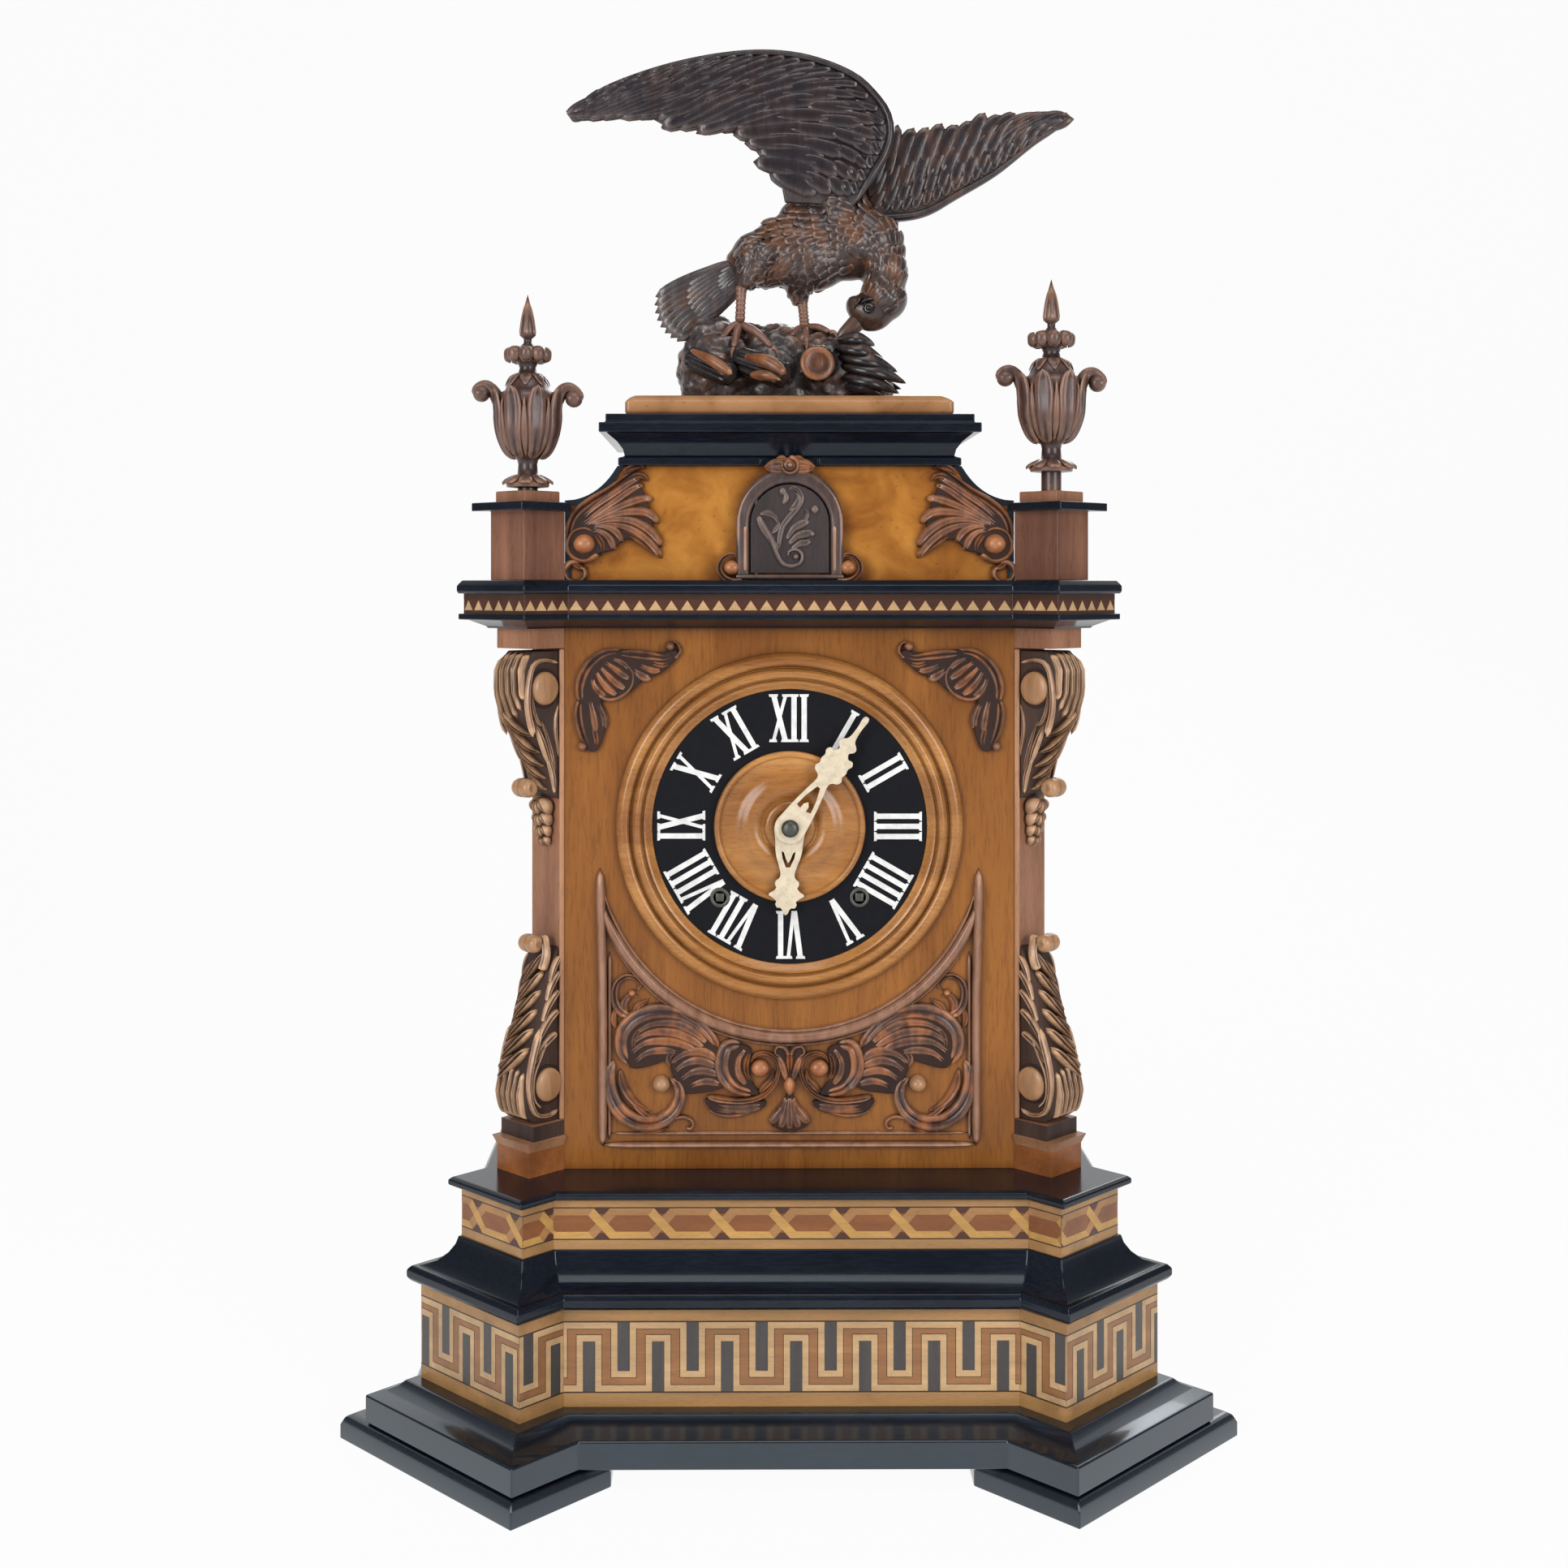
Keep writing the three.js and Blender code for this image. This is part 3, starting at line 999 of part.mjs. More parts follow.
function makeAnchor() {
  const { x, z } = ANCHOR;
  const tip = ESCAPE_R + PALLET_CLEAR;
  const shape = new THREE.Shape(points([
    [x, z + 3.5], [x + 8, z], [x + tip + 2.5, ESCAPE.z + 4], [x + tip, ESCAPE.z + 4], [x + 7, z - 4.5],
    [x, z - 3], [x - 7, z - 4.5], [x - tip, ESCAPE.z + 4], [x - tip - 2.5, ESCAPE.z + 4], [x - 8, z],
  ]));
  const crutchLow = z - CRUTCH.low;
  const prong = (side) => sided(side, CRUTCH.inner, CRUTCH.outer, CRUTCH.back - 1, ROD.y + 3, crutchLow,
    crutchLow + CRUTCH.thick);
  const anchor = joined(
    slab(shape, LAYER.escape - 0.5, LAYER.escape + 2.5),
    rodY(x, z, PLATE.front + 0.5, CRUTCH.back - 0.2, ARBOR_R, 10),
    block(x - 1.6, x + 1.6, CRUTCH.front, CRUTCH.back, crutchLow, z),
    block(x - CRUTCH.outer, x + CRUTCH.outer, CRUTCH.front, CRUTCH.back, crutchLow, crutchLow + CRUTCH.thick),
    prong(-1), prong(1),
  );
  add('anchor', anchor, steel);
}

function makePendulum() {
  const { x, z } = ANCHOR;
  const bobZ = z - BOB.down;
  const bore = COCK.pinR + PIVOT_PLAY;
  const eye = cut(rodY(x, z, ROD.y - EYE.half, ROD.y + EYE.half, EYE.r, 12),
    rodY(x, z, ROD.y - EYE.half - 1, ROD.y + EYE.half + 1, bore, 12));
  const bob = turnedY([
    [0, -BOB.thick / 2], [BOB.r * 0.6, -BOB.thick * 0.36], [BOB.r, -BOB.rim], [BOB.r, BOB.rim],
    [BOB.r * 0.6, BOB.thick * 0.36], [0, BOB.thick / 2],
  ], 20).translate(x, ROD.y, bobZ);
  add('pendulum', joined(eye, rodZ(x, ROD.y, bobZ, z - EYE.r + 0.6, ROD.r, 8), bob), brass);
}

// Cuckoo on its slide, behind the door
function makeCuckoo() {
  const { half, front, back, low, high } = CARRIAGE;
  const top = BIRD.z + 9;
  const bird = [
    new THREE.SphereGeometry(1, 8, 6).scale(8.5, 17, 10).translate(0, BIRD.y + 2, BIRD.z),
    ball(0, BIRD.y - 13, top, 7, 8, 6),
    bar([0, BIRD.y - 18, top], [0, BIRD.y - 23.5, top - 1], 2.4, 0.8, 6),
    bar([0, BIRD.y + 14, BIRD.z + 2], [0, BIRD.y + 32, BIRD.z + 6], 4.5, 3, 6),
  ];
  const slide = [
    block(-half, half, front, back, low, high),
    block(-3, 3, back - 8, back, high - 1, PERCH.z + PERCH.r),
    rodY(0, PERCH.z, PERCH.front, back, PERCH.r, 8),
    rodZ(0, BIRD.y + 2, PERCH.z, BIRD.z, 2.5, 8),
  ];
  add('cuckoo', joined(...bird, ...slide), carvedWood);
}

// Bellows: whistle pipe and lower board on the side board, lifting top board above the folded leather
const SIDE_INNER = SIDE_X - BOARD;
function makeBellows() {
  const { inner, front, back, low, board, fold } = BELLOWS;
  for (const [name, side] of [['left', -1], ['right', 1]]) {
    const pipe = sided(side, PIPE_BOX.inner, SIDE_INNER, PIPE_BOX.front, PIPE_BOX.back, PIPE_BOX.low,
      low + 1);
    const mouth = sided(side, PIPE_BOX.inner - 1, PIPE_BOX.inner + 6, PIPE_BOX.front + 6, PIPE_BOX.back - 6,
      low - 18, low - 12);
    const base = sided(side, inner, SIDE_INNER, front, back, low, low + board);
    const foldTop = low + board + fold;
    const folded = sided(side, inner + 2, SIDE_INNER - 2, front + 2, back - 4, low + board - 1, foldTop);
    add(`bellows_${name}`, joined(cut(pipe, mouth), base, folded), plainWood);
    const topLow = foldTop + GAP;
    const top = sided(side, inner, SIDE_INNER - GAP, front, back, topLow, topLow + board);
    add(`bellows_top_${name}`, top, plainWood);
  }
}

// Gong: a spiral rod on a cast post, and its hammer
function makeGong() {
  const { y, z, rodR, innerR, outerR, turns } = GONG;
  const count = turns * 12;
  const along = [];
  for (let i = 0; i <= count; i += 1) {
    const t = i / count;
    const angle = turns * t * 2 * Math.PI;
    const r = mix(innerR, outerR, t);
    along.push(new THREE.Vector3(r * Math.cos(angle), y, z + r * Math.sin(angle)));
  }
  const section = new THREE.Shape();
  section.absarc(0, 0, rodR, 0, Math.PI * 2);
  const path = new THREE.CatmullRomCurve3(along);
  const coil = new THREE.ExtrudeGeometry(section, { steps: count, extrudePath: path, curveSegments: 3 });
  const { half, front, back, high } = GONG_POST;
  const post = block(-half, half, front, back, BASE_TOP, high);
  const stub = rodY(0, z, y - 4, front + 1, 5, 8);
  const clamp = block(3, innerR + 2, y - 2.5, y + 2.5, z - 2.5, z + 2.5);
  add('gong', joined(post, stub, clamp, coil), steel);

  const arbor = rodY(HAMMER.x, HAMMER.z, PLATE.back + 0.5, y + 3, HAMMER.arborR, 8);
  const arm = bar([HAMMER.x, y, HAMMER.z], [HAMMER.headX, y, HAMMER.headZ], 1.5, 1.2, 6);
  add('gong_hammer', joined(arbor, arm, ball(HAMMER.headX, y, HAMMER.headZ, HAMMER.headR, 8, 6)), steel);
}

// Carved shells in the panel's upper corners: places in from the panel's edge and down from its top
function makeSpandrels() {
  const at = (pairs) => pairs.map(([into, down]) => point(-PANEL_HALF + into, CASE_TOP - down));
  const [start, ...top] = at([[12.6, 11.5], [18.6, 8], [28.6, 8.5], [44.6, 10.5], [58.6, 7.5], [61.6, 11.5]]);
  const shape = new THREE.Shape();
  shape.moveTo(start.x, start.y);
  shape.splineThru(top);
  shape.splineThru(at([[52.6, 17.5], [42.6, 20.5], [36.6, 24.5], [30.6, 29.5], [24.6, 34.5]]));
  shape.splineThru(at([[22.6, 46.5], [17.6, 60.5], [14.6, 68.5], [9.6, 67.5]]));
  shape.splineThru(at([[9.6, 52.5], [7.6, 36.5], [8.6, 22.5]]));
  const ends = at([[60.1, 8.5], [11.6, 68]]).map((end) => ball(end.x, -2.2, end.y, SPANDREL.ballR, 6, 4));
  const wall = block(-PANEL_HALF, 0, 0, PANEL_THICK, BASE_TOP, CASE_TOP);
  const left = cut(joined(slab(shape, -SPANDREL.out, 0, 1), ...ends), wall);
  add('spandrel_left', left, carvedWood);
  add('spandrel_right', left.clone().scale(-1, 1, 1), carvedWood);
}

// A moulded frame whose top edge runs round the dial, with scrollwork joined to it
function makeLowerCarving() {
  const { half, low, arcR, side, arcRim, out, scrollOut } = CARVED;
  const outline = (edge, bottom, r) => {
    const drop = Math.sqrt(r ** 2 - edge ** 2);
    const start = Math.atan2(-drop, edge);
    const shape = new THREE.Shape();
    shape.moveTo(-edge, bottom);
    shape.lineTo(edge, bottom);
    shape.absarc(0, DIAL_Z, r, start, -Math.PI - start, true);
    return shape;
  };
  const outer = slab(outline(half, low, arcR), -out, 0, 16);
  const inner = slab(outline(half - side, low + side, arcR + arcRim), -out - 1, 1, 16);
  const scroll = scrollwork().map((piece) => slab(piece, -scrollOut, 0, 1).translate(0, 0, low));
  add('lower_carved_panel', joined(cut(outer, inner), ...scroll), carvedWood);
}

// Scroll arms on both sides of a middle palmette, up from the panel's lower edge
function scrollwork() {
  const palmette = new THREE.Shape(points([
    [-9, 5.5], [9, 5.5], [5, 17.5], [14, 29.5], [6, 53.5], [0, 58.5], [-6, 53.5], [-14, 29.5], [-5, 17.5],
  ]));
  const arm = (side) => {
    const shape = new THREE.Shape();
    const at = (pairs) => points(pairs.map(([x, z]) => [side * x, z]));
    shape.moveTo(side * 6, 35.5);
    shape.splineThru(at([
      [20, 45.5], [34, 53.5], [46, 45.5], [58, 57.5], [76, 65.5], [92, 57.5], [101, 75.5],
    ]));
    shape.splineThru(at([
      [100, 53.5], [97, 29.5], [84, 11.5], [66, 10.5], [54, 21.5], [38, 13.5], [22, 19.5], [8, 23.5],
    ]));
    return shape;
  };
  return [palmette, arm(-1), arm(1)];
}

makeFeet();
makeBase();
makeFrontPanel();
makeCarcass();
makeRearDoor();
makePiers();
makeConsoles();
makeCornice();
makeAttic();
makeAtticLeaves();
makeDoorFrame();
makeCuckooDoor();
makeUpperPiers();
makeUrns();
makeTop();
makeEagle();
makeDial();
makeHands();
makePlates();
makeTrain();
makeMotionWork();
makeBarrels();
makeAnchor();
makePendulum();
makeCuckoo();
makeBellows();
makeGong();
makeSpandrels();
makeLowerCarving();

export default clock;
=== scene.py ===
# %% [markdown]
# # A carved and inlaid cuckoo mantel clock
# The clock's solids come from a CAD model in millimetres. This notebook dresses them: it carves the ornament,
# lays the inlays and numerals, turns the dial and the urns, and gives every piece its wood, metal or bone.
# Everything is in metres, +Z up, with the dial facing -Y.

import json
import math
import random

import bpy
import numpy as np
from mathutils import Matrix, Vector
from mathutils.bvhtree import BVHTree


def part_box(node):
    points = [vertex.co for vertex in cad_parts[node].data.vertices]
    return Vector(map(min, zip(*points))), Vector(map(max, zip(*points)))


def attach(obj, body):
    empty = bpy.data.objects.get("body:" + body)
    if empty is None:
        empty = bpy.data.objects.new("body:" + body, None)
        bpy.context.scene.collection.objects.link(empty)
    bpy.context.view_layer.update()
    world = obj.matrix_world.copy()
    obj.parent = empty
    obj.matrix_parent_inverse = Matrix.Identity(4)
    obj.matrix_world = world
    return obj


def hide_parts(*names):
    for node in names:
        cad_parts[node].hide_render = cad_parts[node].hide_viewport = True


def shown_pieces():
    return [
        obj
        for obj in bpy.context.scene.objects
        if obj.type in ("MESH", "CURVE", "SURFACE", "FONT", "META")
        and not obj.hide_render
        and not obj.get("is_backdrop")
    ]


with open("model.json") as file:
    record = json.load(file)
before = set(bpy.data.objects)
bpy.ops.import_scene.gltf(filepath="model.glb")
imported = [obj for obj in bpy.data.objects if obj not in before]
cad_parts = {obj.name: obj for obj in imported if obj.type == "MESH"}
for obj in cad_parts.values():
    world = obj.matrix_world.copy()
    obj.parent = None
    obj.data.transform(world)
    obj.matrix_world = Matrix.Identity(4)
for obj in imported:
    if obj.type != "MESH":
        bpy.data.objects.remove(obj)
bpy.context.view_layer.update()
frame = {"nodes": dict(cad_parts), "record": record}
bpy.ops.object.select_all(action="DESELECT")
scene = bpy.context.scene
scene.view_settings.view_transform = "Standard"
PANEL_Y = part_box("front_panel")[0].y
DIAL_Z = (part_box("chapter_plate")[0].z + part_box("chapter_plate")[1].z) / 2


# %% [markdown]
# ## A place on the clock
# The photograph was measured on the plane of the front panel, so most places are written as millimetres
# right of the middle, behind that plane, and up from the floor. One helper turns them into scene metres.

# %% Places in millimetres
def at(x, behind, up):
    return Vector((x / 1000, PANEL_Y + behind / 1000, up / 1000))


def mm(value):
    return value / 1000


SIDES = {"left": -1, "right": 1}


# %% [markdown]
# ## Camera, floor and light
# The clock was photographed square from the front at about two thirds of its height. A lens shift frames it
# as in the photograph without tilting the camera. The floor rises behind into a plain wall, and large soft
# lamps on both sides draw the long highlights on the polished black mouldings.

# %% Camera
CAMERA_PLACE = at(-29.8, -1074, 473.3)
CAMERA_TURN = -0.006
bpy.ops.object.camera_add(location=CAMERA_PLACE, rotation=(math.pi / 2, 0, CAMERA_TURN))
camera = bpy.context.object
camera.data.lens = 44.56
camera.data.sensor_width = 36
camera.data.shift_x = 0.0234
camera.data.shift_y = -0.1281
camera.data.clip_start = 0.01
scene.camera = camera
print("camera at", [round(place, 3) for place in camera.location])


# %% Soft lamps
def soft_lamp(name, place, aim, size, energy):
    bpy.ops.object.light_add(type="AREA", location=place)
    lamp = bpy.context.object
    lamp.name = name
    lamp.data.shape = "RECTANGLE"
    lamp.data.size, lamp.data.size_y = size
    lamp.data.energy = energy
    lamp.rotation_euler = (Vector(aim) - Vector(place)).to_track_quat("-Z", "Y").to_euler()


soft_lamp("lamp_left", (-1.3, -1.8, 0.95), (0, 0, 0.4), (0.9, 1.3), 28)
soft_lamp("lamp_right", (1.4, -1.7, 0.8), (0, 0, 0.35), (0.8, 1.2), 22)
soft_lamp("lamp_top", (0.1, -0.9, 2.1), (0, 0, 0.4), (1.2, 0.8), 9)
soft_lamp("lamp_back", (0.6, 1.7, 1.6), (0, 0, 0.5), (1.2, 1.0), 12)


# %% [markdown]
# ## A small kit for node materials
# Each finish starts from the Principled shader. The helper adds a node, sets its fields and sockets by name,
# and joins what it is given, so that a recipe for a wood reads from top to bottom.

# %% Node helpers
def new_finish(name):
    material = bpy.data.materials.new(name)
    material.use_nodes = True
    tree = material.node_tree
    return material, tree, tree.nodes["Principled BSDF"]


def add_node(tree, kind, fields=None, **sockets):
    node = tree.nodes.new(kind)
    for name, value in (fields or {}).items():
        setattr(node, name, value)
    for name, value in sockets.items():
        socket = node.inputs[int(name[1:])] if name[0] == "i" and name[1:].isdigit() else node.inputs[name]
        if isinstance(value, bpy.types.NodeSocket):
            tree.links.new(value, socket)
        else:
            socket.default_value = value
    return node.outputs


def ramp(tree, factor, stops):
    node = tree.nodes.new("ShaderNodeValToRGB")
    elements = node.color_ramp.elements
    elements[0].position, elements[1].position = stops[0][0], stops[-1][0]
    elements[0].color, elements[1].color = (*stops[0][1], 1), (*stops[-1][1], 1)
    for place, colour in stops[1:-1]:
        elements.new(place).color = (*colour, 1)
    tree.links.new(factor, node.inputs["Fac"])
    return node.outputs["Color"]


def blend(tree, kind, factor, first, second):
    out = add_node(tree, "ShaderNodeMix", {"data_type": "RGBA", "blend_type": kind}, i0=factor, i6=first,
                   i7=second)
    return out[2]


def stretched(tree, scale):
    place = add_node(tree, "ShaderNodeTexCoord")["Object"]
    return add_node(tree, "ShaderNodeMapping", Vector=place, Scale=scale)[0]


# %% White surroundings
world = bpy.data.worlds.new("plain_studio")
scene.world = world
world.use_nodes = True
sky = world.node_tree
sky.nodes.clear()
rays = add_node(sky, "ShaderNodeLightPath")
room = add_node(sky, "ShaderNodeBackground", Color=(0.93, 0.95, 1.0, 1), Strength=0.2)[0]
white = add_node(sky, "ShaderNodeBackground", Color=(1, 1, 1, 1), Strength=1.0)[0]
both = add_node(sky, "ShaderNodeMixShader", i0=rays["Is Camera Ray"], i1=room, i2=white)[0]
add_node(sky, "ShaderNodeOutputWorld", Surface=both)

# %% Floor that rises into a wall
FLOOR_SIZE, FLOOR_MIDDLE_Y = 8, -1.5
WALL_HEIGHT, SWEEP_WIDTH = 3.5, 1.2
bpy.ops.mesh.primitive_plane_add(size=FLOOR_SIZE, location=(0, FLOOR_MIDDLE_Y, 0))
floor = bpy.context.object
floor.name = "studio_floor"
bpy.ops.object.mode_set(mode="EDIT")
bpy.ops.mesh.select_all(action="DESELECT")
bpy.ops.object.mode_set(mode="OBJECT")
for edge in floor.data.edges:
    edge.select = all(floor.data.vertices[i].co.y > 0.9 * FLOOR_SIZE / 2 for i in edge.vertices)
bpy.ops.object.mode_set(mode="EDIT")
bpy.ops.mesh.select_mode(type="EDGE")
bpy.ops.mesh.extrude_region_move(TRANSFORM_OT_translate={"value": (0, 0, WALL_HEIGHT)})
bpy.ops.object.mode_set(mode="OBJECT")
bevel = floor.modifiers.new("sweep", "BEVEL")
bevel.width, bevel.segments = SWEEP_WIDTH, 12
bpy.ops.object.modifier_apply(modifier="sweep")
bpy.ops.object.shade_smooth()
bpy.ops.object.transform_apply(location=True)
paper, tree, shader = new_finish("white_paper")
shader.inputs["Base Color"].default_value = (0.86, 0.86, 0.87, 1)
shader.inputs["Roughness"].default_value = 0.9
paper_rays = add_node(tree, "ShaderNodeLightPath")
glow = add_node(tree, "ShaderNodeEmission", Color=(1, 1, 1, 1), Strength=1.0)[0]
seen = paper_rays["Is Camera Ray"]
mirrored_rays = paper_rays["Is Glossy Ray"]
share = add_node(tree, "ShaderNodeMath", {"operation": "MULTIPLY"}, i0=seen, i1=0.95)[0]
share = add_node(tree, "ShaderNodeMath", {"operation": "MAXIMUM"}, i0=share, i1=mirrored_rays)[0]
surface = add_node(tree, "ShaderNodeMixShader", i0=share, i1=shader.outputs[0], i2=glow)[0]
tree.links.new(surface, tree.nodes["Material Output"].inputs["Surface"])
floor.data.materials.append(paper)
floor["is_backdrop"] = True


# %% [markdown]
# ## Colour, polish and painted shade
# All the finishes share three steps. A colour goes to the shader, with a roughness that follows the pattern
# and small dents. Fixed values for the polish go straight to the shader's own sockets. Ambient occlusion
# finds the recesses and darkens the colour there, a painted shade.

# %% Steps that every finish shares
def surface_of(tree, shader, colour, pattern, rough, height=None, dents=0.0, deep=0.0003):
    tree.links.new(colour, shader.inputs["Base Color"])
    gloss = add_node(tree, "ShaderNodeMapRange", Value=pattern, i3=rough[0], i4=rough[1])[0]
    tree.links.new(gloss, shader.inputs["Roughness"])
    if height is not None:
        dent = add_node(tree, "ShaderNodeBump", Height=height, Strength=dents, Distance=deep)[0]
        tree.links.new(dent, shader.inputs["Normal"])


def polish(shader, specular, coat=0.0, coat_rough=0.03):
    shader.inputs["Specular IOR Level"].default_value = specular
    shader.inputs["Coat Weight"].default_value = coat
    shader.inputs["Coat Roughness"].default_value = coat_rough


# Painted shade: ambient occlusion darkens the colour in recesses and hollows.
def painted_recess_shade(tree, colour, reach, stops, dark, share):
    near = add_node(tree, "ShaderNodeAmbientOcclusion", {"samples": 6}, Distance=reach)["AO"]
    recess_shade_ramp = ramp(tree, near, [(stops[0], dark), (stops[1], (1, 1, 1))])
    return blend(tree, "MULTIPLY", share, colour, recess_shade_ramp)


# %% [markdown]
# ## Woods
# Every veneer and board is the same idea with other numbers: long grain from a noise that is stretched along
# the board, a slow change of colour over the whole board, and fine dark pores that also dent the polish.

# %% A recipe for a wood
def noise(tree, lie, scale, detail, **more):
    return add_node(tree, "ShaderNodeTexNoise", Vector=lie, Scale=scale, Detail=detail, **more)[0]


def wood(name, light, dark, grain, along="z", figure=30, pores=0.35, rough=(0.3, 0.42), coat=0.08, patch=0.35,
         paint_recess_shade=False):
    material, tree, shader = new_finish(name)
    squeeze = {"x": (0.1, 1, 1), "y": (1, 0.1, 1), "z": (1, 1, 0.1)}[along]
    lie = stretched(tree, squeeze)
    band = noise(tree, lie, figure, 5.0, Roughness=0.62, Distortion=grain)
    wide = noise(tree, stretched(tree, (1, 1, 1)), 9.0, 2.0)
    middle = tuple((a + b) / 2 for a, b in zip(light, dark))
    colour = ramp(tree, band, [(0.3, dark), (0.52, middle), (0.7, light)])
    shade = ramp(tree, wide, [(0.35, (0.62, 0.58, 0.55)), (0.65, (1.12, 1.12, 1.12))])
    colour = blend(tree, "MULTIPLY", patch, colour, shade)
    fine = noise(tree, lie, figure * 26, 3.0, Roughness=0.7)
    pore = ramp(tree, fine, [(0.36, (0.35, 0.3, 0.28)), (0.5, (1, 1, 1))])
    colour = blend(tree, "MULTIPLY", pores, colour, pore)
    # Painted shade in the recesses of this wood.
    if paint_recess_shade:
        colour = painted_recess_shade(tree, colour, 0.007, (0.25, 0.8), (0.2, 0.14, 0.11), 0.8)
    surface_of(tree, shader, colour, band, rough, fine, 0.12)
    polish(shader, 0.3, coat, 0.18)
    return material


panel_wood = wood("panel_veneer", (0.35, 0.132, 0.024), (0.19, 0.062, 0.01), 0.9, "z", 26, rough=(0.28, 0.4),
                  paint_recess_shade=True)
turned_wood = wood("turned_dial_wood", (0.58, 0.27, 0.075), (0.26, 0.095, 0.022), 0.5, "x", 34,
                   rough=(0.2, 0.3), coat=0.3, paint_recess_shade=True)
pier_wood = wood("pier_wood", (0.5, 0.245, 0.14), (0.26, 0.115, 0.06), 0.4, "z", 40, rough=(0.38, 0.5),
                 patch=0.6)
block_wood = wood("pier_block_wood", (0.46, 0.16, 0.045), (0.2, 0.065, 0.02), 0.5, "x", 40, rough=(0.38, 0.5))
lip_wood = wood("pier_lip_wood", (0.5, 0.26, 0.14), (0.3, 0.14, 0.07), 0.4, "z", 50, rough=(0.38, 0.5),
                patch=0.5)
side_wood = wood("side_board_veneer", (0.36, 0.155, 0.05), (0.19, 0.07, 0.022), 0.8, "z", 18)
plain_wood = wood("plain_planed_wood", (0.42, 0.25, 0.12), (0.27, 0.14, 0.06), 0.3, "z", 22,
                  rough=(0.55, 0.7), coat=0.0)
print("woods made")

# %% [markdown]
# The attic and the plate under the eagle are veneered in yellow burr, whose figure has no direction: clouds,
# small eyes and dark specks.

# %% Yellow burr
def burr_veneer(name, dark, middle, light, swirl):
    material, tree, shader = new_finish(name)
    lie = stretched(tree, (1, 1, 1.3))
    cloud = noise(tree, lie, 38.0, 6.0, Roughness=0.55, Distortion=swirl)
    colour = ramp(tree, cloud, [(0.28, dark), (0.5, middle), (0.72, light)])
    eyes = add_node(tree, "ShaderNodeTexVoronoi", Vector=lie, Scale=150.0, Randomness=1.0)["Distance"]
    speck = ramp(tree, eyes, [(0.04, (0.3, 0.18, 0.1)), (0.15, (1, 1, 1))])
    colour = blend(tree, "MULTIPLY", 0.45, colour, speck)
    # Painted shade in the recesses of the burr.
    colour = painted_recess_shade(tree, colour, 0.012, (0.3, 0.85), (0.35, 0.2, 0.13), 0.8)
    surface_of(tree, shader, colour, cloud, (0.24, 0.36))
    polish(shader, 0.3, 0.12, 0.12)
    return material


burr = burr_veneer("yellow_burr", (0.22, 0.068, 0.008), (0.38, 0.145, 0.02), (0.53, 0.23, 0.04), 0.7)
plate_wood = burr_veneer("top_plate_burr", (0.26, 0.12, 0.045), (0.4, 0.2, 0.085), (0.47, 0.25, 0.115), 0.5)

# %% [markdown]
# The black mouldings are stained and polished like a piano: nearly black, with a smooth clear coat over a
# surface that still shows a little of the wood's pores. The feet and the plinth get a stronger and bluer
# reflection than the mouldings above them, a painted reflection that follows where the light falls, so one
# recipe makes two blacks.

# %% Polished black
def polished_black(name, specular, coat, tint):
    material, tree, shader = new_finish(name)
    lie = stretched(tree, (0.15, 1, 1))
    pore = noise(tree, lie, 700.0, 3.0, Roughness=0.6)
    wide = noise(tree, stretched(tree, (1, 1, 1)), 14.0, 3.0)
    colour = ramp(tree, wide, [(0.35, (0.004, 0.006, 0.011)), (0.7, (0.008, 0.011, 0.02))])
    streaks = ramp(tree, pore, [(0.4, (0.6, 0.6, 0.6)), (0.6, (1.3, 1.25, 1.2))])
    colour = blend(tree, "MULTIPLY", 0.7, colour, streaks)
    surface_of(tree, shader, colour, wide, (0.14, 0.26), pore, 0.05, 0.0002)
    polish(shader, specular, coat, 0.04)
    # Painted reflection: the tint gives the reflections a bluish cast.
    shader.inputs["Specular Tint"].default_value = (*tint, 1)
    return material


# Painted reflection: the feet and plinth get the stronger, bluer reflection, the mouldings above a weaker
# one.
black = polished_black("polished_black", 0.9, 0.35, (0.72, 0.88, 1.0))
deep_black = polished_black("deep_black", 0.3, 0.18, (0.8, 0.9, 1.0))


# %% [markdown]
# Carved wood is painted dark in its grooves as shade, and tan on its ridges as a painted highlight and as
# rubbed wear. Pointiness finds ridges and grooves on a dense mesh, ambient occlusion darkens the deep parts
# as painted shade.

